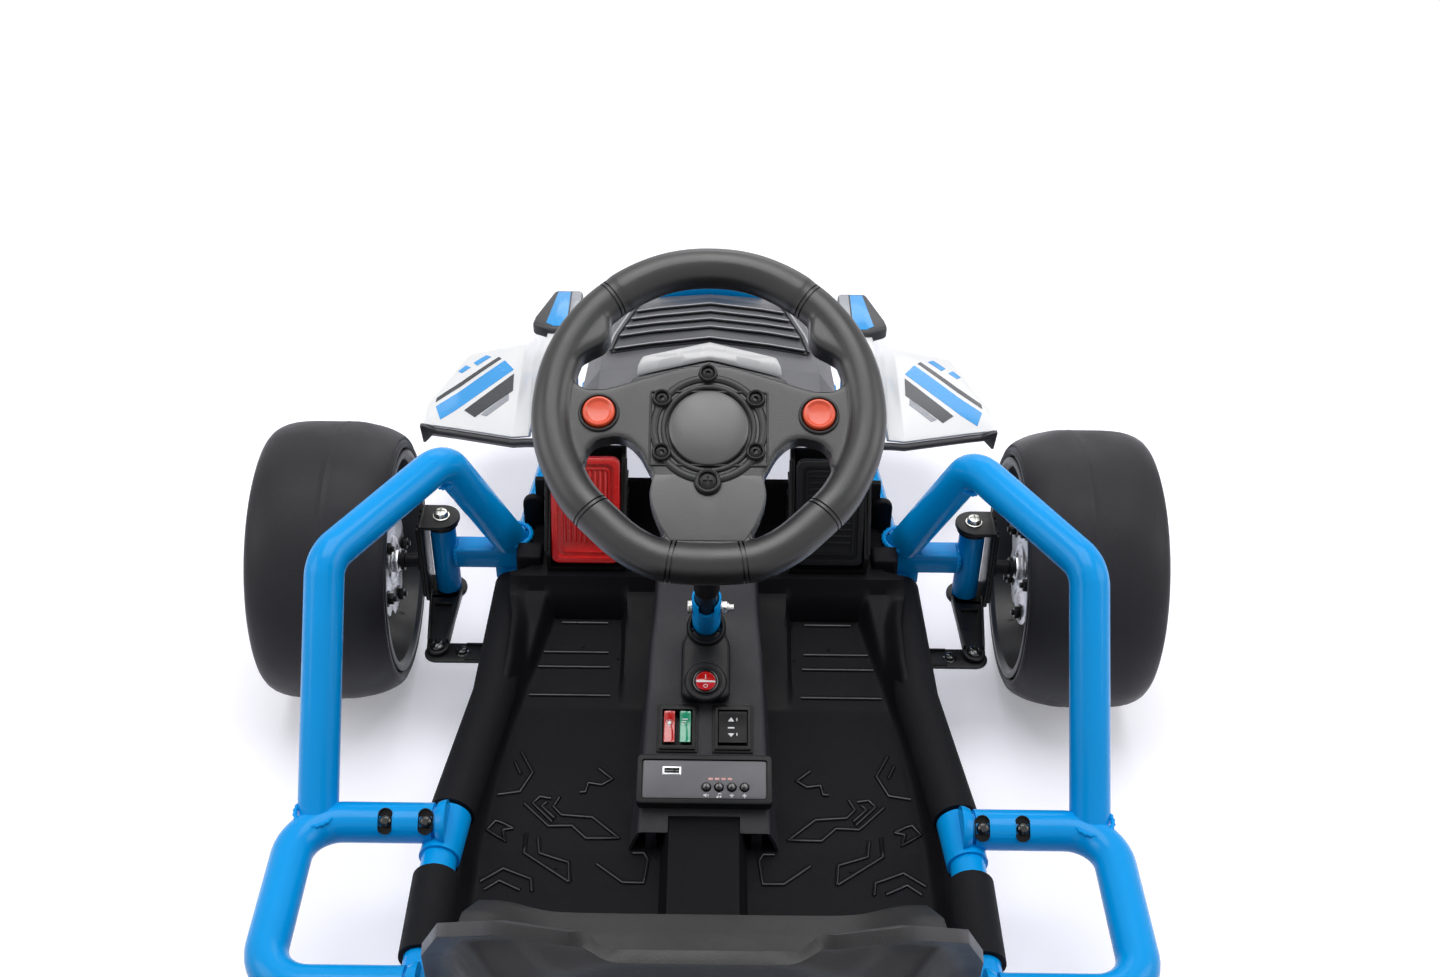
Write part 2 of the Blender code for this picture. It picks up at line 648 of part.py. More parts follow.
def height_on(profile, y):
    for (y1, z1), (y2, z2) in zip(profile, profile[1:]):
        if y1 <= y <= y2:
            return z1 + (z2 - z1) * (y - y1) / (y2 - y1)
    return profile[-1][1] if y > profile[-1][0] else profile[0][1]


def hood_section(y):
    """Half section of the dash shell at a place along the kart: points out from the middle."""
    top = height_on(HOOD_TOP, y)
    half = height_on(HOOD_HALF, y)
    return [(0.0, top + HOOD_CROWN), (half * HOOD_RIDGE, top + HOOD_CROWN * 0.6), (half, top),
            (half + 0.016, top - 0.022), (half + 0.024, top - height_on(HOOD_SKIRT, y))]


def nose_under(x, y, radius):
    """Height just under the nose shell over a round post, read at points on the post's rim."""
    rim = [(x + px, y + py) for px, py in arc((0, 0), radius, 0, 330, 11)]
    return min(height_on(nose_z(px), py) for px, py in rim) - SHELL * NOSE_STEEP - GAP


def build_side_bar(side):
    """The tube guard bolted on beside the driver's legs: top bar, front leg, crossbar and rear hoop."""
    def put(*point):
        return (side * point[0], point[1], point[2])
    foot = put(BAR_FOOT_X, CROSSBAR_Y, CROSSBAR_Z)
    bar = tube([put(*LEG_FOOT), put(*APEX), put(*BAR_BEND), foot], BAR_R, APEX_BEND_R)
    inner = rail_x(CROSSBAR_Y) + RAIL_R + GAP
    hoop_inner = rail_x(HOOP_REAR_Y) + RAIL_R + GAP
    hoop = tube([put(inner, CROSSBAR_Y, CROSSBAR_Z), put(HOOP_X, CROSSBAR_Y, CROSSBAR_Z),
                 put(HOOP_X, HOOP_REAR_Y, CROSSBAR_Z), put(hoop_inner, HOOP_REAR_Y, CROSSBAR_Z)],
                BAR_R, HOOP_BEND_R)
    plate_low = BEAM_Z + BEAM_SIDE / 2 + GAP
    foot_plate = sided_block(side, (LEG_FOOT[0] - 0.016, FRONT_AXLE_Y - 0.013, plate_low),
                             (LEG_FOOT[0] + 0.018, FRONT_AXLE_Y + 0.015, plate_low + PLATE))
    bolts = [rod(put(x, CROSSBAR_Y, CROSSBAR_Z + BAR_R - 0.004),
                 put(x, CROSSBAR_Y, CROSSBAR_Z + BAR_R + 0.002),
                 0.006) for x in CROSSBAR_BOLT_XS]
    guard = fuse(bar, hoop, foot_plate, *bolts)
    below = sided_block(side, (LEG_FOOT[0] - 0.06, FRONT_AXLE_Y - 0.06, plate_low - 0.06),
                        (LEG_FOOT[0] + 0.06, FRONT_AXLE_Y + 0.06, plate_low))
    bores = [rod(put(inner - 0.01, y, CROSSBAR_Z), put(end, y, CROSSBAR_Z), SPIGOT_R + GAP)
             for y, end in [(CROSSBAR_Y, BAR_FOOT_X - 0.028), (HOOP_REAR_Y, BAR_FOOT_X - 0.038)]]
    guard = cut(guard, below, *bores)
    return finish(guard, "side_bar_" + side_name(side), "blue")


def build_foam_sleeve(side):
    """Foam grip over the rail beside the driver's legs."""
    outer = tube(rail_points(side), FOAM_R, RAIL_BEND_R)
    inner = tube(rail_points(side), RAIL_R + GAP, RAIL_BEND_R)
    xs = sorted((side * 0.12, side * 0.26))
    low, high = RAIL_Z - 2 * FOAM_R, RAIL_Z + 2 * FOAM_R
    front = block((xs[0], FOAM_FRONT_Y, low), (xs[1], KART_LENGTH / 2, high))
    rear = block((xs[0], -KART_LENGTH / 2, low), (xs[1], FOAM_REAR_Y, high))
    return finish(cut(outer, inner, front, rear), "foam_sleeve_" + side_name(side), "foam")


def pan_half(y):
    """Half width of the floor pan: its rim lies on the foam sleeves."""
    if y > STEP_REAR_Y + 0.004:
        return PAN_FRONT_HALF
    return rail_x(y) - 0.006


def pan_height(x, y):
    """Height of the pan's top at a half width and a place along the kart."""
    floor = height_on(PAN_FLOOR, y)
    if FOOTWELL_X[0] < x < FOOTWELL_X[1]:
        floor = min(floor, height_on(FOOTWELL_FLOOR, y))
    if y < TUNNEL_FRONT_Y - 0.001 and x <= TUNNEL_HALF:
        return TUNNEL_Z
    if x >= pan_half(y) - PAN_RIM_W - 0.001:
        return max(floor, height_on(PAN_RIM, y))
    return floor


def build_floor_pan():
    """Moulded footwell pan with its tunnel, foot ramps, front step and wall."""
    rows = []
    for y in PAN_YS:
        half = pan_half(y)
        inner = half - PAN_RIM_W
        xs = [0.0, TUNNEL_HALF - 0.0001, TUNNEL_HALF + TUNNEL_DRAFT, FOOTWELL_X[0] - 0.0001,
              FOOTWELL_X[0] + 0.006,
              FOOTWELL_X[1] - 0.008, FOOTWELL_X[1] + 0.0001, max(inner - 0.010, FOOTWELL_X[1] + 0.003),
              max(inner, FOOTWELL_X[1] + 0.006), half]
        right = [(x, y, pan_height(x, y)) for x in xs]
        rows.append([(-x, y_, z) for x, y_, z in reversed(right[1:])] + right)
    rows.append([(point[0], PAN_WALL_Y + 0.006, PAN_WALL_TOP) for point in rows[-1]])
    pan = sheet(rows, PAN_THICK)
    well = block((-CONSOLE_OPENING, TUNNEL_FRONT_Y + 0.004, RAIL_Z - 0.09),
                 (CONSOLE_OPENING, CONSOLE_FRONT_Y - 0.004, RAIL_Z + 0.18))
    pan = cut(pan, well)
    clips = []
    for side in (-1, 1):
        clip = sided_block(side, (PAN_FRONT_HALF - 0.014, FRONT_AXLE_Y - 0.018, BEAM_Z - 0.006),
                           (PAN_FRONT_HALF - 0.001, FRONT_AXLE_Y + 0.020, STEP_Z - 0.001))
        clips.append(clip)
    pan = combine(pan, clips, "UNION", "MANIFOLD")
    room = BEAM_SIDE / 2 + GAP
    beam = block((-KINGPIN_X, FRONT_AXLE_Y - room, BEAM_Z - room),
                 (KINGPIN_X, FRONT_AXLE_Y + room, BEAM_Z + room))
    return finish(cut(pan, beam), "floor_pan", "black_plastic")


def build_console():
    """Console cover over the middle of the pan, with openings for its switches and the column."""
    rows = []
    inside = [y for y in PAN_YS if CONSOLE_REAR_Y < y < CONSOLE_FRONT_Y]
    for y in [CONSOLE_REAR_Y] + inside + [CONSOLE_FRONT_Y]:
        share = (y - CONSOLE_REAR_Y) / (CONSOLE_FRONT_Y - CONSOLE_REAR_Y)
        half = CONSOLE_HALF_REAR + (CONSOLE_HALF_FRONT - CONSOLE_HALF_REAR) * share
        top, low = console_z(y), height_on(PAN_FLOOR, y) + CONSOLE_SEAT
        right = [(0.0, y, top), (half - 0.004, y, top), (half, y, top - 0.004),
                 (half + CONSOLE_FLARE, y, low)]
        rows.append([(-x, y_, z) for x, y_, z in reversed(right[1:])] + right)
    cover = sheet(rows, CONSOLE_WALL)
    room = SWITCH_CLEAR
    width, length, _ = SWITCH_PLATE
    cuts = []
    for side in (-1, 1):
        frame = console_frame(side * SWITCH_X, SWITCH_Y)
        cuts.append(place(block((-width / 2 + room, -length / 2 + room, -0.02),
                                (width / 2 - room, length / 2 - room, 0.02)), frame))
    cuts.append(place(rod((0, 0, -0.06), (0, 0, 0.06), COLUMN_R + 0.003), column_frame(0.008)))
    cuts.append(place(rod((0, 0, -0.02), (0, 0, 0.02), POWER_R + 0.003), console_frame(0, POWER_Y)))
    width, length, _ = MEDIA_SIZE
    cuts.append(place(block((-width / 2 + 0.012, -length / 2 + 0.008, -0.02),
                            (width / 2 - 0.012, length / 2 - 0.008, 0.02)), console_frame(0, MEDIA_Y)))
    hump = TUNNEL_HALF + TUNNEL_DRAFT
    cuts.append(block((-hump, CONSOLE_REAR_Y - 0.02, RAIL_Z - 0.06),
                      (hump, TUNNEL_FRONT_Y + 0.003, RAIL_Z + 0.08)))
    return finish(cut(cover, *cuts), "console_cover", "black_plastic")


def column_on_console():
    """Place along Y where the column's axis passes the boot's top."""
    axis, start = column_axis(), Vector(COLUMN_POINT)
    rise = console_z(start.y) + BOOT_H - start.z
    travel = rise / (axis.z - CONSOLE_SLOPE * axis.y)
    return start.y + axis.y * travel


def build_column_boot():
    """Moulded pod that the column passes through, with the round power switch behind it."""
    centre_y = column_on_console()
    span = (centre_y - POWER_Y) / math.cos(math.atan(CONSOLE_SLOPE))
    corner = BOOT_CORNER
    outline = (arc((-BOOT_R + corner, -BOOT_REAR + corner), corner, 180, 270, 2)
               + arc((BOOT_R - corner, -BOOT_REAR + corner), corner, 270, 360, 2) + arc((0, span), BOOT_R,
                                                                                        0, 180, 8))
    frame = console_frame(0, POWER_Y, GAP)
    pod = extruded(outline, -0.002, BOOT_H, frame)
    collar_frame = column_frame(0.0)
    collar_low = (Vector((0, centre_y, console_z(centre_y) + BOOT_H)) - Vector(COLUMN_POINT)).dot(column_axis())
    collar = place(rod((0, 0, collar_low - 0.010), (0, 0, collar_low + 0.008), COLUMN_R + 0.0045,
                       ROUND_FACETS), collar_frame)
    below = place(block((-0.1, -0.1, -0.1), (0.1, 0.15, 0)), frame)
    pod = cut(fuse(pod, collar), below)
    bore = place(rod((0, 0, -0.06), (0, 0, 0.08), COLUMN_R + RUN_GAP, ROUND_FACETS), collar_frame)
    pocket = place(rod((0, 0, -0.01), (0, 0, 0.03), POWER_R + 0.0012, ROUND_FACETS), frame)
    return finish(cut(pod, bore, pocket), "column_boot", "black_plastic")


def build_power_switch():
    """Round bezel and the rocker inside it."""
    frame = console_frame(0, POWER_Y, 2 * GAP + BOOT_H)
    ring = [(POWER_R + 0.0008, 0), (POWER_R + 0.0030, 0), (POWER_R + 0.0030, 0.0018),
            (POWER_R + 0.0015, 0.0026),
            (POWER_R + 0.0008, 0.0026)]
    bezel = finish(turned(ring, ROUND_FACETS, frame), "power_bezel", "gloss_black")
    rocker = place(rod((0, 0, -0.004), (0, 0, 0.0022), POWER_R, ROUND_FACETS), frame)
    rocker = set_pivot(rocker, frame.translation)
    return bezel, finish(rocker, "power_rocker", "red")


def build_switch_plate(name, side):
    """Bezel plate of a rocker switch, with one window and a case down into the console."""
    width, length, height = SWITCH_PLATE
    frame = console_frame(side * SWITCH_X, SWITCH_Y, GAP)
    plate = extruded(rounded(width / 2, length / 2, 0.002, 1), 0, height, frame)
    case_w, case_l = width / 2 - SWITCH_CLEAR - GAP, length / 2 - SWITCH_CLEAR - GAP
    case = place(block((-case_w, -case_l, -0.010), (case_w, case_l, 0.001)), frame)
    window = place(block((-ROCKER_WINDOW[0], -ROCKER_WINDOW[1], -0.008),
                         (ROCKER_WINDOW[0], ROCKER_WINDOW[1], 0.02)), frame)
    return finish(cut(fuse(plate, case), window), name, "gloss_black")


def build_rocker(name, look, x, half_w):
    """A rocker: two slopes that meet over its pivot, above a rounded back."""
    frame = console_frame(x, SWITCH_Y, GAP + SWITCH_PLATE[2] - 0.001)
    half_l = ROCKER_WINDOW[1] - 0.0022
    outline = [(-half_l, 0.0025), (0, 0.0007), (half_l, 0.0025), (half_l * 0.7, -0.0045), (0, -0.0065),
               (-half_l * 0.7, -0.0045)]
    turn = Matrix(((0, 0, 1, 0), (1, 0, 0, 0), (0, 1, 0, 0), (0, 0, 0, 1)))
    rocker = extruded(outline, -half_w, half_w, frame @ turn)
    return finish(set_pivot(rocker, frame.translation), name, look)


def build_media_box():
    """Sound panel housing with a recessed face, a USB slot and four button holes."""
    width, length, height = MEDIA_SIZE
    frame = console_frame(0, MEDIA_Y, GAP)
    box = extruded(rounded(width / 2, length / 2, 0.004, 2), 0, height, frame)
    face = extruded(rounded(width / 2 - 0.0045, length / 2 - 0.0045, 0.002, 1), height - 0.001,
                    height + 0.01, frame)
    cuts = [face, place(block((USB_X - 0.0075, 0.0035, 0.001), (USB_X + 0.0075, 0.0105, height + 0.01)),
                        frame)]
    for x in MUSIC_XS:
        cuts.append(place(rod((x, MUSIC_ROW, 0.003), (x, MUSIC_ROW, height + 0.01), MUSIC_R + RUN_GAP),
                          frame))
    housing = finish(cut(box, *cuts), "media_box", "black_plastic")
    usb = place(block((USB_X - 0.0071, 0.0039, 0.0014), (USB_X + 0.0071, 0.0101, height)), frame)
    mouth = place(block((USB_X - 0.0062, 0.0048, 0.004), (USB_X + 0.0062, 0.0092, height + 0.01)), frame)
    tongue = place(block((USB_X - 0.0056, 0.0062, 0.003), (USB_X + 0.0056, 0.0074, height - 0.001)), frame)
    finish(fuse(cut(usb, mouth), tongue), "usb_port", "silver")
    for number, x in enumerate(MUSIC_XS, 1):
        foot = height - MUSIC_DEPTH
        button = place(rod((x, MUSIC_ROW, foot), (x, MUSIC_ROW, height + 0.0005), MUSIC_R), frame)
        finish(set_pivot(button, frame @ Vector((x, MUSIC_ROW, height))), "music_button_%d" % number,
               "gloss_black")
    return housing


def build_pedal_frame(side):
    """Black surround that carries a pedal: base, two cheeks and the hinge ears in them."""
    x = side * PEDAL_X
    half = PEDAL_SIZE[0] / 2 + RUN_GAP
    base_z = STEP_Z + GAP
    outline = [(PEDAL_HINGE[0] - 0.009, base_z), (PEDAL_FRAME_FRONT, base_z),
               (PEDAL_FRAME_FRONT, PEDAL_FRAME_TOP),
               (PEDAL_FRAME_FRONT - 0.012, PEDAL_FRAME_TOP), (PEDAL_HINGE[0] - 0.012, base_z + 0.020)]
    upright = Matrix(((0, 0, 1, 0), (1, 0, 0, 0), (0, 1, 0, 0), (0, 0, 0, 1)))
    surround = extruded(outline, x - half - PEDAL_CHEEK, x + half + PEDAL_CHEEK, upright)
    room = [(PEDAL_HINGE[0] - 0.05, base_z + 0.004), (PEDAL_FRAME_FRONT - 0.004, base_z + 0.004),
            (PEDAL_FRAME_FRONT - 0.004, PEDAL_FRAME_TOP + 0.05), (PEDAL_HINGE[0] - 0.05,
                                                                  PEDAL_FRAME_TOP + 0.05)]
    inside = extruded(room, x - half, x + half, upright)
    pin_room = rod((x - half - PEDAL_CHEEK - 0.01, PEDAL_HINGE[0], PEDAL_HINGE[1]),
                   (x + half + PEDAL_CHEEK + 0.01, PEDAL_HINGE[0], PEDAL_HINGE[1]), PEDAL_PIN_R + GAP)
    name = "pedal_frame_" + side_name(side)
    return finish(cut(surround, inside, pin_room), name, "black_plastic")


def build_pedal(name, side, look):
    """Moulded pedal plate with a raised rim, ribs and its hinge pin."""
    width, height, thick = PEDAL_SIZE
    x = side * PEDAL_X
    lean = Matrix.Rotation(PEDAL_LEAN, 4, "X")
    frame = Matrix.Translation((x, PEDAL_HINGE[0], PEDAL_HINGE[1])) @ lean
    outline = [(px, py + height / 2) for px, py in rounded(width / 2, height / 2, 0.008, 2)]
    plate = extruded(outline, 0.0, thick, frame)
    inset = [(px, py + height / 2) for px, py in rounded(width / 2 - 0.006, height / 2 - 0.006, 0.005, 2)]
    dish = extruded(inset, thick - 0.003, thick + 0.01, frame)
    plate = cut(plate, dish)
    ribs = []
    if side < 0:
        for step in range(5):
            rib_x = (step - 2) * 0.0095
            ribs.append(place(block((rib_x - 0.0015, 0.014, thick - 0.004),
                                    (rib_x + 0.0015, height - 0.014, thick)),
                              frame))
    else:
        for step in range(6):
            rib_y = 0.016 + step * 0.0120
            ribs.append(place(block((-width / 2 + 0.010, rib_y - 0.0015, thick - 0.004),
                                    (width / 2 - 0.010, rib_y + 0.0015, thick)), frame))
    half = width / 2 + RUN_GAP + PEDAL_CHEEK - 0.001
    pin = rod((x - half, PEDAL_HINGE[0], PEDAL_HINGE[1]), (x + half, PEDAL_HINGE[0], PEDAL_HINGE[1]),
              PEDAL_PIN_R)
    pedal = fuse(plate, pin, *ribs)
    return finish(set_pivot(pedal, (x, *PEDAL_HINGE)), name, look)


def build_nose():
    """White nose shell with its wings over the front wheels' inner sides."""
    rows = []
    for x, profile in nose_stations():
        rows.append([(x, y, z) for y, z in profile] + [(x, profile[-1][0] + NOSE_LIP, NOSE_LIP_Z)])
    left = [[(-x, y, z) for x, y, z in row] for row in reversed(rows[1:])]
    shell = sheet(left + rows, SHELL, 1.0)
    return finish(shell, "front_fairing", "white")


def nose_outline(side):
    """Edge of the nose shell seen from above: rear inner end, tip, corner, nose."""
    stations = nose_stations()
    edge = [(side * x, profile[0][0], profile[0][1]) for x, profile in stations if x >= TRIM_START_X]
    edge += [(side * x, profile[-1][0] + NOSE_LIP, NOSE_LIP_Z) for x, profile in reversed(stations)]
    return edge


def build_trim():
    """Dark edge trim that runs round under the nose shell."""
    drop = SHELL + TRIM_R + GAP
    right = [(x, y, z - drop) for x, y, z in nose_outline(1)]
    left = [(-x, y, z) for x, y, z in right[:-1]]
    strip = tube(left + list(reversed(right)), TRIM_R, 0, 1)
    return finish(strip, "fairing_trim", "grey")


def build_dash():
    """Grey dash and bonnet shell behind the nose, open below."""
    rows = []
    for y in HOOD_YS:
        right = [(x, y, z) for x, z in hood_section(y)]
        rows.append([(-x, y_, z) for x, y_, z in reversed(right[1:])] + right)
    rear = [(x, y - 0.006, max(z - 0.030, DASH_REAR_LOW)) for x, y, z in rows[0]]
    shell = sheet([rear] + rows, SHELL)
    return finish(shell, "dash_body", "grey")


def hood_point(x, y, rise):
    """A point over the dash shell at a half width."""
    section = hood_section(y)
    side = -1 if x < 0 else 1
    for (x1, z1), (x2, z2) in zip(section, section[1:]):
        if x1 <= abs(x) <= x2:
            return Vector((x, y, z1 + (z2 - z1) * (abs(x) - x1) / (x2 - x1) + rise))
    return Vector((side * section[-1][0], y, section[-1][1] + rise))


def build_louvre():
    """Louvre panel on the bonnet: a tray with chevron slats across it."""
    rows = []
    for step in range(LOUVRE_STEPS + 1):
        y = LOUVRE_YS[0] + (LOUVRE_YS[1] - LOUVRE_YS[0]) * step / LOUVRE_STEPS
        half = LOUVRE_HALVES[0] + (LOUVRE_HALVES[1] - LOUVRE_HALVES[0]) * step / LOUVRE_STEPS
        for lift, back in ((LOUVRE_LIFT, 0.0), (0.0, LOUVRE_BACK)):
            if step == LOUVRE_STEPS and back:
                continue
            ridge = HOOD_RIDGE * height_on(HOOD_HALF, y) / half
            rows.append([hood_point(half * share, y + back + LOUVRE_PEAK * (1 - abs(share)),
                                    lift + LOUVRE_SEAT)
                         for share in (-1, -ridge, 0, ridge, 1)])
    panel = sheet(rows, LOUVRE_THICK)
    return finish(panel, "louvre_panel", "black_plastic")


def build_crest():
    """White chevron visor at the back of the bonnet."""
    rows = []
    for y, lift in zip(CREST_YS, (0, CREST_RISE, 0)):
        rows.append([hood_point(CREST_HALF * share, y + CREST_PEAK * (1 - abs(share)),
                                lift + CREST_THICK + GAP)
                     for share in (-1, -0.5, 0, 0.5, 1)])
    return finish(sheet(rows, CREST_THICK), "hood_crest", "white")


def build_seat():
    """Bucket seat shell, swept along its side profile with raised bolsters."""
    rows = []
    for ahead, rise, width, bolster, tilt in SEAT_SPINE:
        angle = math.radians(tilt)
        y, z, half = REAR_AXLE_Y + ahead, RAIL_Z + rise, SEAT_HALF * width
        rows.append([(half * share, y + math.sin(angle) * bolster * lift,
                      z + math.cos(angle) * bolster * lift)
                     for share, lift in ((-1.0, 1.0), (-0.88, 0.92), (-0.68, 0.12), (-0.4, 0.0), (0, 0.0),
                                         (0.4, 0.0), (0.68, 0.12), (0.88, 0.92), (1.0, 1.0))])
    return finish(sheet(rows, SEAT_SHELL), "seat_shell", "black_plastic")


def build_seat_rail():
    """Seat frame: two runners and two cross straps on the frame's seat tubes."""
    low = RAIL_Z + CROSS_TUBE_R + GAP
    front, rear = SEAT_TUBE_YS[0] + 0.018, SEAT_TUBE_YS[1] - 0.018
    inner, outer = SEAT_HALF * SEAT_RUNNER[0], SEAT_HALF * SEAT_RUNNER[1]
    parts = [sided_block(side, (inner, rear, low), (outer, front, low + 0.006)) for side in (-1, 1)]
    reach = (inner + outer) / 2
    parts += [block((-reach, y - 0.010, low), (reach, y + 0.010, SEAT_BASE_Z - GAP)) for y in SEAT_STRAP_YS]
    return finish(fuse(parts[0], *parts[1:]), "seat_rail", "black_steel")


def build_battery():
    """Battery pack and motor controller on the frame's tray."""
    low = TRAY_Z + GAP
    rear, front = BATTERY_YS
    pack = block((BATTERY_X[0], rear, low), (BATTERY_X[1], front, low + BATTERY_H), 0.004)
    finish(pack, "battery_pack", "black_plastic")
    box = block((CONTROLLER_X[0], rear + 0.004, low), (CONTROLLER_X[1], front - 0.002, low + CONTROLLER_H),
                0.003)
    finish(box, "motor_controller", "silver")


def build_gearbox(side):
    """Reduction gearbox on the rear axle, its drive boss and the motor it carries."""
    inner, outer = GEARBOX_X
    back = math.degrees(math.atan2(MOTOR_AT[1], MOTOR_AT[0]))
    outline = (arc((0, 0), GEARBOX_R, back + 90, back + 270, 7) + arc(MOTOR_AT, MOTOR_CASE_R, back - 90,
                                                                      back + 90, 6))
    upright = Matrix(((0, 0, 1, 0), (1, 0, 0, 0), (0, 1, 0, 0), (0, 0, 0, 1)))
    frame = Matrix.Translation((0, REAR_AXLE_Y, WHEEL_R)) @ upright
    xs = sorted((side * inner, side * outer))
    case = extruded(outline, xs[0], xs[1], frame)
    boss_end = TRACK_HALF - WHEEL_W / 2 + DISC_FACE - RUN_GAP
    boss = rod((side * (outer - 0.002), REAR_AXLE_Y, WHEEL_R), (side * boss_end, REAR_AXLE_Y, WHEEL_R),
               DRIVE_BOSS_R,
               ROUND_FACETS)
    motor_y, motor_z = REAR_AXLE_Y + MOTOR_AT[0], WHEEL_R + MOTOR_AT[1]
    motor = rod((side * (inner + 0.002), motor_y, motor_z), (side * (inner - MOTOR_LENGTH), motor_y,
                                                             motor_z),
                MOTOR_R, ROUND_FACETS)
    boxed = fuse(case, boss, motor)
    bore = rod((-REAR_AXLE_END, REAR_AXLE_Y, WHEEL_R), (REAR_AXLE_END, REAR_AXLE_Y, WHEEL_R), AXLE_BORE_R)
    return finish(cut(boxed, bore), "gearbox_" + side_name(side), "black_plastic")


def build_rear_axle():
    """Fixed rear axle rod with a nut at each end."""
    axle = rod((-REAR_AXLE_END, REAR_AXLE_Y, WHEEL_R), (REAR_AXLE_END, REAR_AXLE_Y, WHEEL_R), REAR_AXLE_R)
    nuts = [rod((side * (REAR_AXLE_END - 0.001), REAR_AXLE_Y, WHEEL_R),
                (side * (REAR_AXLE_END - 0.001 - NUT_H), REAR_AXLE_Y, WHEEL_R), NUT_R, 6) for side in (-1,
                                                                                                       1)]
    return finish(fuse(axle, *nuts), "rear_axle", "zinc")


def build_rear_bumper():
    """Rear bumper loop, bolted to the flanges at the rails' ends."""
    y = -KART_LENGTH / 2 + LEG_R
    half = BUMPER_HALF
    bar = tube([(-half, y, BUMPER_Z + BUMPER_RISE), (-half + BUMPER_TURN, y, BUMPER_Z),
                (half - BUMPER_TURN, y, BUMPER_Z), (half, y, BUMPER_Z + BUMPER_RISE)], LEG_R, BUMPER_BEND_R)
    face = TAIL_Y - PLATE + 0.001 - GAP
    parts = []
    for side in (-1, 1):
        parts.append(sided_block(side, (TAIL_X - TAIL_PLATE_HALF, face - PLATE, RAIL_Z - TAIL_PLATE_HALF),
                                 (TAIL_X + TAIL_PLATE_HALF, face, RAIL_Z + TAIL_PLATE_HALF)))
        parts.append(rod((side * TAIL_X, face - PLATE - 0.003, RAIL_Z), (side * TAIL_X, y, BUMPER_Z),
                         LEG_R - 0.002))
    return finish(fuse(bar, *parts), "rear_bumper", "blue")


def build_wheel(corner, side, axle_y, bore_r):
    """Tyre and rim of one wheel. The profile is (radius, distance out from the middle)."""
    half = WHEEL_W / 2
    inner_face = -half + DISC_FACE + DISC_THICK + GAP
    frame = Matrix.Translation((side * TRACK_HALF, axle_y, WHEEL_R)) @ Matrix.Rotation(side * math.pi / 2,
                                                                                       4, "Y")
    bead = RIM_R + GAP
    tyre = [(bead, half - 0.006), (bead + 0.006, half), (WHEEL_R - 0.010, half - 0.003),
            (WHEEL_R - 0.0025, half - 0.014), (WHEEL_R, half - 0.034), (WHEEL_R, -half + 0.034),
            (WHEEL_R - 0.0025, -half + 0.014), (WHEEL_R - 0.010, -half + 0.003), (bead + 0.006, -half),
            (bead, -half + 0.006)]
    finish(turned(tyre, WHEEL_FACETS, frame), "tyre_" + corner, "tyre")
    barrel = RIM_R - RIM_LIP
    rim = [(bore_r, inner_face), (DISC_R + 0.002, inner_face), (DISC_R + 0.008, inner_face + GROOVE_DEPTH),
           (barrel - 0.014, inner_face + GROOVE_DEPTH), (barrel, -half + 0.001), (RIM_R, -half + 0.001),
           (RIM_R, half - 0.001), (barrel, half - 0.001), (barrel - 0.012, half - 0.036),
           (WHEEL_CONE_R + 0.006, half - 0.036), (WHEEL_CONE_R, half - 0.018), (bore_r, half - 0.018)]
    return finish(turned(rim, WHEEL_FACETS, frame), "rim_" + corner, "black_plastic")


def build_hub_disc(side):
    """Bright hub plate bolted to the inner face of a front wheel."""
    frame = Matrix.Translation((side * TRACK_HALF, FRONT_AXLE_Y,
                                WHEEL_R)) @ Matrix.Rotation(side * math.pi / 2, 4, "Y")
    face = -WHEEL_W / 2 + DISC_FACE
    ring = [(AXLE_R + RUN_GAP, face), (DISC_R, face), (DISC_R, face + DISC_THICK),
            (AXLE_R + RUN_GAP, face + DISC_THICK)]
    return finish(turned(ring, WHEEL_FACETS, frame), "hub_disc_" + side_name(side), "silver")


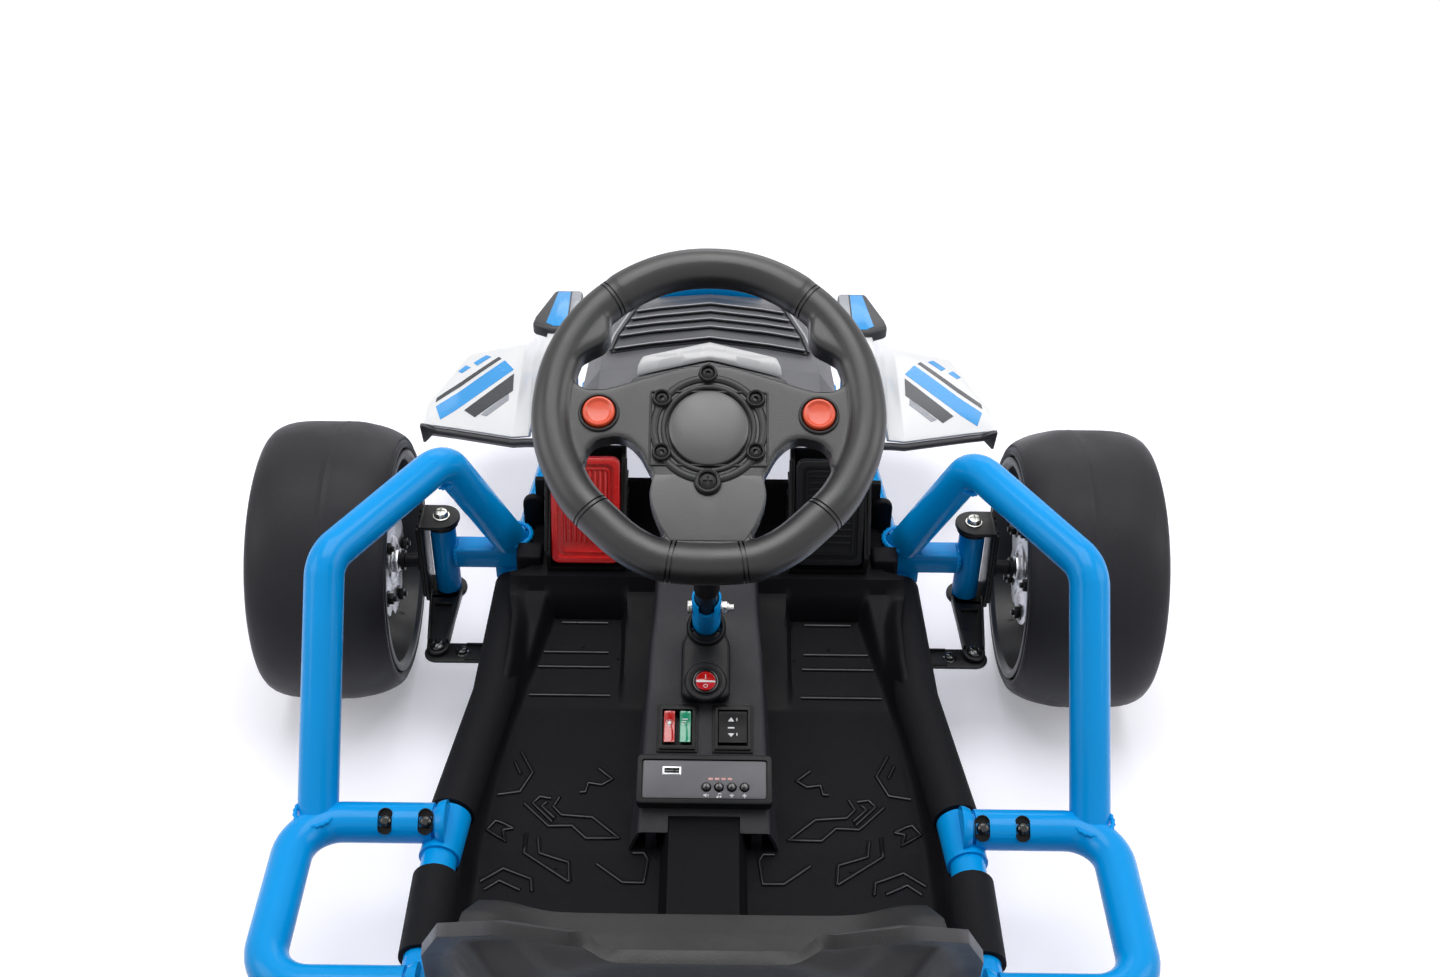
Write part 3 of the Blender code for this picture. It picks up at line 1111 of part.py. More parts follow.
def build_knuckle(side):
    """Steering knuckle: ribbed bracket round the kingpin tube, stub axle and steering arm."""
    x, y = side * KINGPIN_X, FRONT_AXLE_Y
    low = KINGPIN_TUBE_LOW - RUN_GAP - PLATE
    high = KINGPIN_TUBE_TOP + RUN_GAP
    web_out = KNUCKLE_WEB_X + PLATE
    parts = [sided_block(side, (KNUCKLE_WEB_X, y - KNUCKLE_WEB_HALF, low),
                         (web_out, y + KNUCKLE_WEB_HALF, high + PLATE))]
    reach = KNUCKLE_WEB_X - KINGPIN_X + 0.001
    tab = arc((0, 0), KNUCKLE_TAB_R, 90, 270, 6) + [(reach, -KNUCKLE_TAB_R), (reach, KNUCKLE_TAB_R)]
    tab = [(side * px, py) for px, py in tab]
    for bottom in (low, high):
        parts.append(extruded(tab, bottom, bottom + PLATE, Matrix.Translation((x, y, 0))))
    for rib in (-1, 1):
        rib_y = y + rib * (KNUCKLE_WEB_HALF - 0.006)
        parts.append(sided_block(side, (web_out - 0.001, rib_y - 0.002, low + 0.004),
                                 (web_out + 0.0025, rib_y + 0.002, high)))
    tip_x, tip_y = ARM_END
    arm = (arc((tip_x, tip_y), ARM_END_R, 180, 360, 6)
           + [(KNUCKLE_WEB_X, y - KNUCKLE_WEB_HALF + 0.004), (KINGPIN_X - 0.013, y - 0.008)])
    arm = [(side * px, py) for px, py in arm]
    parts.append(extruded(arm, low, low + PLATE))
    for px in (KINGPIN_X - 0.0125, KNUCKLE_WEB_X - 0.0015):
        tip_px = tip_x + (ARM_END_R - 0.002) * (1 if px > KINGPIN_X else -1)
        rib = [(px - 0.0012, y - 0.010), (px + 0.0012, y - 0.010), (tip_px + 0.0012, tip_y + 0.012),
               (tip_px - 0.0012, tip_y + 0.012)]
        parts.append(extruded([(side * rx, ry) for rx, ry in rib], low + 0.001, low + ARM_RIB_H))
    stub = side * (web_out - 0.001)
    collar_end = side * (TRACK_HALF - WHEEL_W / 2 + DISC_FACE - RUN_GAP)
    parts.append(rod((stub, y, WHEEL_R), (side * STUB_END_X, y, WHEEL_R), AXLE_R))
    parts.append(rod((stub, y, WHEEL_R), (collar_end, y, WHEEL_R), AXLE_R + 0.004))
    parts.append(rod((side * (STUB_END_X - NUT_H - 0.001), y, WHEEL_R),
                     (side * (STUB_END_X - 0.001), y, WHEEL_R),
                     NUT_R, 6))
    knuckle = fuse(parts[0], *parts[1:])
    pin = rod((x, y, low - 0.01), (x, y, high + 0.02), KINGPIN_R + GAP)
    arm_hole = rod((side * tip_x, tip_y, low - 0.01), (side * tip_x, tip_y, low + 0.03), ROD_PIN_R + RUN_GAP)
    knuckle = cut(knuckle, pin, arm_hole)
    return finish(set_pivot(knuckle, (x, y, WHEEL_R)), "knuckle_" + side_name(side), "black_steel")


def build_kingpin(side):
    """Bolt through the knuckle and the kingpin tube, with its nut below."""
    x, y = side * KINGPIN_X, FRONT_AXLE_Y
    low = KINGPIN_TUBE_LOW - RUN_GAP - PLATE - GAP
    high = KINGPIN_TUBE_TOP + RUN_GAP + PLATE + GAP
    shank = rod((x, y, low - 0.008), (x, y, high + 0.001), KINGPIN_R)
    head = rod((x, y, high), (x, y, high + 0.005), 0.0085, FACETS, 0.0065)
    nut = rod((x, y, low - 0.0065), (x, y, low), 0.008, 6)
    bolt = fuse(shank, head, nut)
    return finish(set_pivot(bolt, (x, y, WHEEL_R)), "kingpin_" + side_name(side), "zinc")


def rod_top():
    return KINGPIN_TUBE_LOW - RUN_GAP - PLATE - RUN_GAP


def build_track_rod():
    """Flat track rod with a pin up through each arm and a slotted tongue for the column's drop arm."""
    high = rod_top()
    low = high - ROD_THICK
    tip_x, tip_y = ARM_END
    strip = (arc((tip_x, tip_y - 0.003), ROD_HALF_W, -90, 90, 6)
             + arc((-tip_x, tip_y - 0.003), ROD_HALF_W, 90, 270, 6))
    parts = [extruded(strip, low, high)]
    slot_y = drop_tip().y
    parts.append(block((-TONGUE_HALF_W, slot_y + TONGUE_REAR, low), (TONGUE_HALF_W, tip_y, high)))
    for side in (-1, 1):
        pin = (side * tip_x, tip_y)
        head = KINGPIN_TUBE_LOW
        parts.append(rod((*pin, low), (*pin, head + 0.002), ROD_PIN_R))
        parts.append(rod((*pin, head), (*pin, head + 0.003), ROD_PIN_R + 0.003, FACETS, ROD_PIN_R + 0.0015))
    bar = fuse(parts[0], *parts[1:])
    slot = block((-SLOT_HALF_W, slot_y + SLOT_REACH[0], low - 0.01),
                 (SLOT_HALF_W, slot_y + SLOT_REACH[1], high + 0.01))
    bar = cut(bar, slot)
    return finish(set_pivot(bar, (-tip_x, tip_y, high)), "track_rod", "black_steel")


def drop_tip():
    """Middle of the drop arm's end, on its upper face."""
    return column_frame(COLUMN_LOW) @ Vector((0, -DROP_ARM, 0))


def build_column():
    """Blue column tube with its open notched top, and the drop arm and pin at its foot."""
    frame = column_frame(0.0)
    tube_part = place(rod((0, 0, COLUMN_LOW - DROP_ARM_THICK), (0, 0, COLUMN_TOP), COLUMN_R, ROUND_FACETS),
                      frame)
    arm = (arc((0, 0), COLUMN_R - 0.001, 0, 180, 6) + arc((0, -DROP_ARM), 0.008, 180, 360, 6))
    arm_part = extruded(arm, COLUMN_LOW - DROP_ARM_THICK, COLUMN_LOW, frame)
    pin = place(rod((0, -DROP_ARM, COLUMN_LOW - DROP_PIN_LENGTH), (0, -DROP_ARM, COLUMN_LOW - 0.001),
                    DROP_PIN_R),
                frame)
    column = fuse(tube_part, arm_part, pin)
    bore = place(rod((0, 0, SHAFT_LOW - 0.004), (0, 0, COLUMN_TOP + 0.02), COLUMN_R - COLUMN_WALL,
                     ROUND_FACETS), frame)
    hole = place(rod((-0.03, 0, CROSS_BOLT_AT), (0.03, 0, CROSS_BOLT_AT), CROSS_BOLT_R + GAP), frame)
    notch = extruded(arc((0, COLUMN_TOP - 0.010), 0.006, 180, 360, 6) + [(0.006, COLUMN_TOP + 0.01),
                     (-0.006, COLUMN_TOP + 0.01)], 0.0, 0.03,
                     frame @ Matrix(((1, 0, 0, 0), (0, 0, -1, 0), (0, 1, 0, 0), (0, 0, 0, 1))))
    column = cut(column, bore, hole, notch)
    return finish(set_pivot(column, column_at(0)), "steering_column", "blue")


def build_shaft():
    """Black shaft from the column's socket up to the wheel."""
    frame = column_frame(0.0)
    shaft = place(rod((0, 0, SHAFT_LOW), (0, 0, HUB_AT - HUB_SEAT), SHAFT_R, ROUND_FACETS), frame)
    hole = place(rod((-0.03, 0, CROSS_BOLT_AT), (0.03, 0, CROSS_BOLT_AT), CROSS_BOLT_R + GAP), frame)
    finish(set_pivot(cut(shaft, hole), column_at(0)), "steering_shaft", "black_plastic")
    bolt = place(rod((-0.016, 0, CROSS_BOLT_AT), (0.021, 0, CROSS_BOLT_AT), CROSS_BOLT_R), frame)
    head = place(rod((-COLUMN_R - 0.0035, 0, CROSS_BOLT_AT), (-COLUMN_R - GAP, 0, CROSS_BOLT_AT),
                     CROSS_HEAD_R),
                 frame)
    nut = place(rod((COLUMN_R + GAP, 0, CROSS_BOLT_AT), (COLUMN_R + 0.005, 0, CROSS_BOLT_AT), CROSS_HEAD_R,
                    6),
                frame)
    return finish(set_pivot(fuse(bolt, head, nut), column_at(0)), "column_bolt", "zinc")


def build_steering_wheel():
    """Flat-bottomed wheel: grip, spoke plate with its openings, lower spoke and hub."""
    frame = column_frame(HUB_AT)
    ring = [(x, y, 0.0) for x, y in arc((0, RIM_RISE), RIM_CENTRE_R, -RIM_FLAT_ANGLE, 180 + RIM_FLAT_ANGLE,
                                        26)]
    grip_curve = bpy.data.curves.new("grip", "CURVE")
    grip_curve.dimensions = "3D"
    grip_curve.bevel_depth = RIM_TUBE_R
    grip_curve.bevel_resolution = 2
    spline = grip_curve.splines.new("POLY")
    spline.points.add(len(ring) - 1)
    for point, co in zip(spline.points, ring):
        point.co = (*co, 1.0)
    spline.use_cyclic_u = True
    grip_object = bpy.data.objects.new("grip", grip_curve)
    bpy.context.scene.collection.objects.link(grip_object)
    grip = closed_up(evaluated(grip_object))
    inner = RIM_CENTRE_R - 0.002
    half = SPOKE_THICK / 2
    plate_outline = [(-inner * 0.99, 0.040), (-0.076, 0.025), (-0.045, 0.033), (0, 0.045), (0.045, 0.033),
                     (0.076, 0.025), (inner * 0.99, 0.040), (inner * 0.99, -0.004), (0.080, -0.012),
                     (0.060, -0.015), (0.044, -0.024), (0.037, -0.038), (0.034, -0.050), (0.021, -0.078),
                     (-0.021, -0.078), (-0.034, -0.050), (-0.037, -0.038), (-0.044, -0.024), (-0.060,
                                                                                              -0.015),
                     (-0.080, -0.012), (-inner * 0.99, -0.004)]
    plate = extruded(plate_outline, -half, half)
    hub = rod((0, 0, -HUB_DEPTH), (0, 0, half + 0.002), HUB_RING_R, ROUND_FACETS)
    boss = rod((0, 0, -HUB_SEAT - 0.022), (0, 0, -HUB_DEPTH + 0.001), SHAFT_R + 0.006, ROUND_FACETS)
    wheel = fuse(grip, plate, hub, boss)
    cap_seat = rod((0, 0, half - 0.002), (0, 0, half + 0.02), HUB_CAP_R + GAP, ROUND_FACETS)
    shaft_seat = rod((0, 0, -HUB_SEAT - 0.05), (0, 0, -HUB_SEAT + GAP), SHAFT_R + GAP, ROUND_FACETS)
    holes = [rod((side * WHEEL_BUTTON_AT[0], WHEEL_BUTTON_AT[1], -0.03),
                 (side * WHEEL_BUTTON_AT[0], WHEEL_BUTTON_AT[1],
                  0.03), WHEEL_BUTTON_R + RUN_GAP, ROUND_FACETS)
             for side in (-1, 1)]
    wheel = place(cut(wheel, cap_seat, shaft_seat, *holes), frame)
    finish(set_pivot(wheel, column_at(HUB_AT)), "steering_wheel", "black_plastic")
    cap = rod((0, 0, half - 0.002 + GAP), (0, 0, half + 0.006), HUB_CAP_R, ROUND_FACETS, HUB_CAP_R - 0.008)
    finish(set_pivot(place(cap, frame), column_at(HUB_AT)), "hub_cap", "black_plastic")
    for side in (-1, 1):
        x, y = side * WHEEL_BUTTON_AT[0], WHEEL_BUTTON_AT[1]
        button = rod((x, y, -half + 0.001), (x, y, half + 0.004), WHEEL_BUTTON_R, ROUND_FACETS,
                     WHEEL_BUTTON_R - 0.001)
        button = place(button, frame)
        finish(set_pivot(button, frame @ Vector((x, y, half))), "wheel_button_" + side_name(side), "red")


def build_kart():
    build_frame()
    for side in (-1, 1):
        build_side_bar(side)
        build_foam_sleeve(side)
        build_pedal_frame(side)
        build_knuckle(side)
        build_kingpin(side)
        build_hub_disc(side)
        build_gearbox(side)
        build_wheel("front_" + side_name(side), side, FRONT_AXLE_Y, AXLE_R + RUN_GAP)
        build_wheel("rear_" + side_name(side), side, REAR_AXLE_Y, AXLE_BORE_R)
    build_floor_pan()
    build_console()
    build_column_boot()
    build_power_switch()
    build_switch_plate("rocker_bezel", -1)
    build_switch_plate("direction_bezel", 1)
    build_rocker("light_rocker", "red", -SWITCH_X - ROCKER_SPLIT, ROCKER_HALF_W)
    build_rocker("speed_rocker", "green", -SWITCH_X + ROCKER_SPLIT, ROCKER_HALF_W)
    build_rocker("direction_rocker", "gloss_black", SWITCH_X, WIDE_ROCKER_HALF_W)
    build_media_box()
    build_pedal("brake_pedal", -1, "red")
    build_pedal("accelerator_pedal", 1, "black_plastic")
    build_nose()
    build_trim()
    build_dash()
    build_louvre()
    build_crest()
    build_seat()
    build_seat_rail()
    build_battery()
    build_rear_axle()
    build_rear_bumper()
    build_track_rod()
    build_column()
    build_shaft()
    build_steering_wheel()


if __name__ == "__main__":
    clear_scene()
    build_kart()
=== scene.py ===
"""Looks of the kids' electric drift go-kart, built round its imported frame.

Metres, +Z up. The nose points to +Y and +X is the driver's right.
"""
import json
import math

import bpy
from mathutils import Matrix, Vector

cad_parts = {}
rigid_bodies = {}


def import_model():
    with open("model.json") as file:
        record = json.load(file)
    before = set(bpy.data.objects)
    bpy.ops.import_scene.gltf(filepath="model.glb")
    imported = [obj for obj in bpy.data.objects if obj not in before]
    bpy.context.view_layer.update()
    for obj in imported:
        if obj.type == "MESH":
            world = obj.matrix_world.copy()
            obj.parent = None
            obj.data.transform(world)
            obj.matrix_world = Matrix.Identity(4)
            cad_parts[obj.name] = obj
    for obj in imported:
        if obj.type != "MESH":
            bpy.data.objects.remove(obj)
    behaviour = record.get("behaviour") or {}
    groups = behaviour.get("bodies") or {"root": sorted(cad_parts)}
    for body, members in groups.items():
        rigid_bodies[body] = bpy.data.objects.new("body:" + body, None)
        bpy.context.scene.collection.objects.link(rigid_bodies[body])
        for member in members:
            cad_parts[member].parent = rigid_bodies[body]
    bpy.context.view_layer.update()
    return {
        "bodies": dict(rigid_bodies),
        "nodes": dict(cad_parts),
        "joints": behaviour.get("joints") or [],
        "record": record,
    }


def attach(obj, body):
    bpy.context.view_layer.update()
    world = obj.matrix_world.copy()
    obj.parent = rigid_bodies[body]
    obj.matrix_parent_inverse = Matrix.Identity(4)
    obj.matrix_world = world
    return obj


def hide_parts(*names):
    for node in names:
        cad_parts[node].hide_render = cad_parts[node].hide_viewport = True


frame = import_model()

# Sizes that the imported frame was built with
WHEEL_R = 0.13
WHEEL_W = 0.135
TRACK_HALF = 0.3375
FRONT_AXLE_Y = 0.21
REAR_AXLE_Y = -0.43
RAIL_Z = 0.115
RAIL_R = 0.014
RAIL_PLAN = [(0.15, 0.48), (0.17, 0.29), (0.181, 0.18), (0.184, 0.05), (0.207, -0.115), (0.207, -0.32),
    (0.172, -0.44), (0.172, -0.548)]
COLUMN_POINT = Vector((0.0, 0.077, 0.17))
COLUMN_RAKE = math.radians(58.5)
HUB_AT = 0.4434
CONSOLE_REAR = (-0.098, 0.11)
CONSOLE_SLOPE = 0.39
FULL_TURN = math.tau
UPRIGHT = Matrix(((0, 0, 1, 0), (1, 0, 0, 0), (0, 1, 0, 0), (0, 0, 0, 1)))


# Modelling steps

def shift_by(x, y, z):
    """A move by these amounts."""
    return Matrix.Translation((x, y, z))


def spin_by(degrees, axis):
    """A turn about an axis through the origin."""
    return Matrix.Rotation(math.radians(degrees), 4, axis)


def only(*pieces):
    """Selects these pieces alone and makes the first one active."""
    bpy.ops.object.select_all(action="DESELECT")
    for piece in pieces:
        piece.select_set(True)
    bpy.context.view_layer.objects.active = pieces[0]


def shaped(piece, *steps):
    """Runs edit mode steps on the whole mesh of a piece."""
    only(piece)
    bpy.ops.object.mode_set(mode="EDIT")
    bpy.ops.mesh.select_all(action="SELECT")
    for step in steps:
        step()
    bpy.ops.object.mode_set(mode="OBJECT")
    return piece


def face_out():
    bpy.ops.mesh.select_all(action="SELECT")
    bpy.ops.mesh.remove_doubles(threshold=2e-05)
    bpy.ops.mesh.normals_make_consistent(inside=False)


def moved(piece, matrix):
    """Places a piece through its mesh, so its object stays at the origin."""
    if matrix is not None:
        piece.data.transform(matrix)
    return piece


def modified(piece, kind, **settings):
    """Adds one modifier and applies it."""
    only(piece)
    step = piece.modifiers.new("step", kind)
    for key, value in settings.items():
        setattr(step, key, value)
    bpy.ops.object.modifier_apply(modifier=step.name)
    return piece


def smooth(piece, angle=35):
    only(piece)
    bpy.ops.object.shade_smooth_by_angle(angle=math.radians(angle))
    return piece


def softened(piece, width, segments=2, angle=30):
    """Rounds the edges of a piece and shades it smooth."""
    modified(piece, "BEVEL", width=width, segments=segments, limit_method="ANGLE",
        angle_limit=math.radians(angle), use_clamp_overlap=True)
    return smooth(piece)


def outline_face(points):
    """One flat face with these corners."""
    bpy.ops.object.select_all(action="DESELECT")
    bpy.ops.mesh.primitive_circle_add(vertices=len(points), radius=1.0, fill_type="NGON",
        location=(0, 0, 0))
    face = bpy.context.object
    for corner, point in zip(face.data.vertices, points):
        corner.co = point
    return face


def plate(points, low, high, matrix=None, edge=0.0, segments=2, angle=30):
    """A closed outline in local X and Y, extruded between two local heights."""
    piece = outline_face([(x, y, low) for x, y in points])
    rise = {"value": (0, 0, high - low)}
    shaped(piece, lambda: bpy.ops.mesh.extrude_region_move(TRANSFORM_OT_translate=rise), face_out)
    moved(piece, matrix)
    return softened(piece, edge, segments, angle) if edge else smooth(piece)


def block(low, high, matrix=None, edge=0.001, segments=2):
    points = [(low[0], low[1]), (high[0], low[1]), (high[0], high[1]), (low[0], high[1])]
    return plate(points, low[2], high[2], matrix, edge, segments)


def turned(profile, matrix=None, steps=64, edge=0.0, segments=2):
    """A closed profile of (radius, height) points, spun about local Z."""
    bpy.ops.object.select_all(action="DESELECT")
    bpy.ops.mesh.primitive_circle_add(vertices=len(profile), radius=1.0, fill_type="NOTHING",
        location=(0, 0, 0))
    piece = bpy.context.object
    for corner, (radius, height) in zip(piece.data.vertices, profile):
        corner.co = (radius, 0, height)
    shaped(piece, lambda: bpy.ops.mesh.spin(steps=steps, angle=FULL_TURN, center=(0, 0, 0), axis=(0, 0, 1)),
        face_out)
    moved(piece, matrix)
    return softened(piece, edge, segments, 25) if edge else smooth(piece)


def disc(radius, low, high, matrix=None, steps=48, edge=0.0, segments=2):
    return turned([(0, low), (radius, low), (radius, high), (0, high)], matrix, steps, edge, segments)


def arc(centre, radius, start, end, steps):
    """Points on an arc in a plane, with angles in degrees."""
    angles = [math.radians(start + (end - start) * step / steps) for step in range(steps + 1)]
    return [(centre[0] + radius * math.cos(a), centre[1] + radius * math.sin(a)) for a in angles]


def rounded(half_w, half_h, radius, steps=5, centre=(0, 0)):
    """The outline of a rectangle with round corners."""
    x, y = half_w - radius, half_h - radius
    corners = [(x, y, 0), (-x, y, 90), (-x, -y, 180), (x, -y, 270)]
    return [point for cx, cy, start in corners for point in arc((centre[0] + cx, centre[1] + cy), radius,
        start, start + 90, steps)]


def bent(points, bend_radius, steps=10):
    """The points of a polyline with each corner rounded to a bend radius."""
    points = [Vector(point) for point in points]
    path = [points[0]]
    for before, corner, after in zip(points, points[1:], points[2:]):
        a, b = (before - corner).normalized(), (after - corner).normalized()
        half = a.angle(b) / 2
        if half > 1.56:
            path.append(corner)
            continue
        reach = min(bend_radius / math.tan(half), 0.45 * (before - corner).length,
            0.45 * (after - corner).length)
        centre = corner + (a + b).normalized() * (reach / math.cos(half))
        first, last = corner + a * reach - centre, corner + b * reach - centre
        for step in range(steps + 1):
            turn = first.normalized().slerp(last.normalized(), step / steps)
            path.append(centre + turn * first.length)
    path.append(points[-1])
    return path


def pipe(points, radius, bend_radius=0.03, sides=7, closed=False, matrix=None, twist="Z_UP"):
    """A bent round bar: a curve through the points, given its thickness and made a mesh."""
    path = bent(points, bend_radius) if len(points) > 2 and bend_radius else [Vector(point)
        for point in points]
    bpy.ops.object.select_all(action="DESELECT")
    bpy.ops.curve.primitive_bezier_curve_add(location=(0, 0, 0))
    piece = bpy.context.object
    curve = piece.data
    curve.splines.clear()
    spline = curve.splines.new("POLY")
    spline.points.add(len(path) - 1)
    for point, co in zip(spline.points, path):
        point.co = (*co, 1.0)
    spline.use_cyclic_u = closed
    curve.twist_mode = twist
    curve.bevel_depth = radius
    curve.bevel_resolution = sides
    curve.use_fill_caps = not closed
    only(piece)
    bpy.ops.object.convert(target="MESH")
    piece = bpy.context.object
    shaped(piece, face_out)
    return smooth(moved(piece, matrix), 40)


def skin(rows):
    """An open surface through rows of points."""
    bpy.ops.object.select_all(action="DESELECT")
    bpy.ops.mesh.primitive_grid_add(x_subdivisions=len(rows[0]) - 1, y_subdivisions=len(rows) - 1, size=1.0,
        location=(0, 0, 0))
    piece = bpy.context.object
    for corner, point in zip(piece.data.vertices, [point for row in rows for point in row]):
        corner.co = point
    return piece


def shell(rows, thickness, offset=-1.0, edge=0.0, segments=2, angle=20):
    """A moulded wall: a surface with thickness and rounded ridges."""
    piece = modified(skin(rows), "SOLIDIFY", thickness=thickness, offset=offset, use_even_offset=True,
        use_quality_normals=True)
    shaped(piece, face_out)
    return softened(piece, edge, segments, angle) if edge else smooth(piece)


def joined(*pieces):
    """Several bodies made one piece."""
    only(*pieces)
    bpy.ops.object.join()
    return pieces[0]


def copied(piece, matrix=None):
    twin = piece.copy()
    twin.data = piece.data.copy()
    bpy.context.scene.collection.objects.link(twin)
    return moved(twin, matrix)


def cut(piece, *tools, operation="DIFFERENCE", solver="EXACT", angle=35):
    """A Boolean with each tool in turn, which uses the tools up."""
    for tool in tools:
        modified(piece, "BOOLEAN", operation=operation, object=tool, solver=solver)
        bpy.data.objects.remove(tool, do_unlink=True)
    return smooth(piece, angle)


def melted(piece, voxel, rounds=6, factor=0.5):
    """Blends the bodies of a piece into one smooth moulding."""
    only(piece)
    piece.data.remesh_voxel_size = voxel
    bpy.ops.object.voxel_remesh()
    modified(piece, "SMOOTH", factor=factor, iterations=rounds)
    return smooth(piece, 60)


def dressed(piece, name, look, nodes=(), body="chassis"):
    """Names a finished piece, gives it its look and lets it ride on its body."""
    piece.name = name
    piece.data.name = name
    if look is not None:
        piece.data.materials.clear()
        piece.data.materials.append(look)
    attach(piece, body)
    if nodes:
        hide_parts(*nodes)
    return piece


def side_name(side):
    return "left" if side < 0 else "right"


def mirrored(points, side):
    """Outline points given for the right side, kept in turning order for either side."""
    return [(side * point[0], *point[1:]) for point in points]


def along(y, plan):
    """Reads a value from (y, value) pairs that rise in y."""
    for (y1, v1), (y2, v2) in zip(plan, plan[1:]):
        if y1 <= y <= y2:
            return v1 + (v2 - v1) * (y - y1) / (y2 - y1)
    return plan[0][1] if y < plan[0][0] else plan[-1][1]


def rail_x(y):
    return along(y, [(point_y, x) for x, point_y in reversed(RAIL_PLAN)])


def column_frame(distance):
    """Local Z up the column towards the driver, X to the right, Y up the wheel's face."""
    z = Vector((0.0, -math.cos(COLUMN_RAKE), math.sin(COLUMN_RAKE)))
    x = Vector((1, 0, 0))
    turn = Matrix((x, z.cross(x), z)).transposed().to_4x4()
    return Matrix.Translation(COLUMN_POINT + z * distance) @ turn


def console_z(y):
    return CONSOLE_REAR[1] + (y - CONSOLE_REAR[0]) * CONSOLE_SLOPE


def console_frame(x, y, rise=0.0):
    """Local Z square to the console's top, Y up its slope."""
    slope = math.atan(CONSOLE_SLOPE)
    at = Vector((x, y, console_z(y))) + Vector((0, -math.sin(slope), math.cos(slope))) * rise
    return Matrix.Translation(at) @ Matrix.Rotation(slope, 4, "X")


# Finishes

def set_inputs(tree, node, inputs):
    """Gives each input a value, or wires it to another node's output."""
    for name, value in inputs.items():
        if isinstance(value, bpy.types.NodeSocket):
            tree.links.new(value, node.inputs[name])
        else:
            node.inputs[name].default_value = value


def add_node(tree, kind, inputs, operation=None):
    """A shader node with its inputs set."""
    node = tree.nodes.new("ShaderNode" + kind)
    if operation:
        node.operation = operation
    set_inputs(tree, node, inputs)
    return node


def finish(name, colour, roughness, metallic=0.0, grain=(900, 0.15), mottle=(35, 0.12), patchy=0.08,
           coat=0.0, coat_roughness=0.1, specular=0.5):
    """A surface with fine grain, uneven gloss and a little colour drift, all on object coordinates."""
    made = bpy.data.materials.new(name)
    made.use_nodes = True
    tree = made.node_tree
    place = add_node(tree, "TexCoord", {}).outputs["Object"]
    blotches = {"Vector": place, "Scale": mottle[0], "Detail": 5.0}
    drift = add_node(tree, "TexNoise", blotches).outputs["Fac"]
    shade = tree.nodes.new("ShaderNodeMix")
    shade.data_type = "RGBA"
    darker, lighter = [[min(1.0, c * (1 + share)) for c in colour] for share in (-mottle[1], mottle[1])]
    set_inputs(tree, shade, {0: drift, 6: (*darker, 1), 7: (*lighter, 1)})
    spread = {"Value": drift, "From Min": 0.3, "From Max": 0.7,
              "To Min": max(0.03, roughness - patchy), "To Max": min(1.0, roughness + patchy)}
    gloss = add_node(tree, "MapRange", spread)
    fine = add_node(tree, "TexNoise", {"Vector": place, "Scale": grain[0], "Detail": 2.0})
    relief = {"Height": fine.outputs["Fac"], "Strength": grain[1], "Distance": 0.0004}
    bump = add_node(tree, "Bump", relief)
    set_inputs(tree, tree.nodes["Principled BSDF"], {
        "Metallic": metallic, "Coat Weight": coat, "Coat Roughness": coat_roughness,
        "Specular IOR Level": specular, "Base Color": shade.outputs[2],
        "Roughness": gloss.outputs["Result"], "Normal": bump.outputs["Normal"]})
    return made


BLUE = finish("blue_enamel", (0.0005, 0.29, 0.72), 0.24, grain=(260, 0.05), mottle=(14, 0.08), patchy=0.04,
    coat=0.1, coat_roughness=0.08, specular=0.12)
BLACK_STEEL = finish("black_powder_coat", (0.008, 0.008, 0.009), 0.34, grain=(1400, 0.35), mottle=(60, 0.2),
    specular=0.22)
SATIN = finish("satin_black_moulding", (0.009, 0.009, 0.01), 0.36, grain=(2200, 0.22), mottle=(40, 0.15),
    specular=0.16)
WHEEL_LOOK = finish("wheel_moulding", (0.011, 0.011, 0.012), 0.34, grain=(1500, 0.3), mottle=(26, 0.15),
    patchy=0.08, specular=0.55)
PAN = finish("pan_moulding", (0.0066, 0.0063, 0.0076), 0.42, grain=(1800, 0.35), mottle=(24, 0.25),
    patchy=0.1, specular=0.06)
# Lighter, glossier grey for thin lines along the pan's raised marks: a painted highlight on their lit
# edges.
PAINTED_RIDGE_HIGHLIGHT = finish("painted_ridge_highlight", (0.03, 0.03, 0.034), 0.34, grain=(1400, 0.3), mottle=(60, 0.3), specular=0.4)
GRAINED = finish("grained_grey_moulding", (0.021, 0.02, 0.024), 0.46, grain=(1500, 0.6), mottle=(30, 0.15),
    specular=0.2)
LIGHT_GREY = finish("mid_grey_moulding", (0.11, 0.108, 0.12), 0.42, grain=(1500, 0.3), mottle=(30, 0.1),
    specular=0.35)
GLOSS = finish("gloss_black_moulding", (0.008, 0.008, 0.009), 0.1, grain=(300, 0.02), mottle=(30, 0.1),
    patchy=0.03, coat=0.3)
FOAM = finish("foam_grip", (0.008, 0.008, 0.0096), 0.66, grain=(1100, 0.8), mottle=(90, 0.3), specular=0.1)
TYRE = finish("tyre_moulding", (0.019, 0.0185, 0.0215), 0.46, grain=(1300, 0.5), mottle=(18, 0.2),
    patchy=0.12, specular=0.16)
RIM = finish("rim_moulding", (0.016, 0.016, 0.019), 0.34, grain=(1500, 0.3), mottle=(30, 0.2),
    specular=0.35)
ZINC = finish("zinc_plate", (0.62, 0.62, 0.59), 0.26, metallic=1.0, grain=(1500, 0.12), mottle=(120, 0.15),
    patchy=0.1)
BRUSHED = finish("turned_steel", (0.58, 0.59, 0.61), 0.3, metallic=1.0, grain=(700, 0.25), mottle=(60, 0.1))
RED = finish("red_moulding", (0.56, 0.012, 0.01), 0.26, grain=(900, 0.12), mottle=(40, 0.1), coat=0.2)
ORANGE = finish("thumb_button_moulding", (0.62, 0.06, 0.015), 0.3, grain=(900, 0.1), mottle=(60, 0.12),
    coat=0.2)
RED_LENS = finish("red_lens", (0.48, 0.008, 0.008), 0.12, grain=(900, 0.05), mottle=(160, 0.2), coat=0.6)
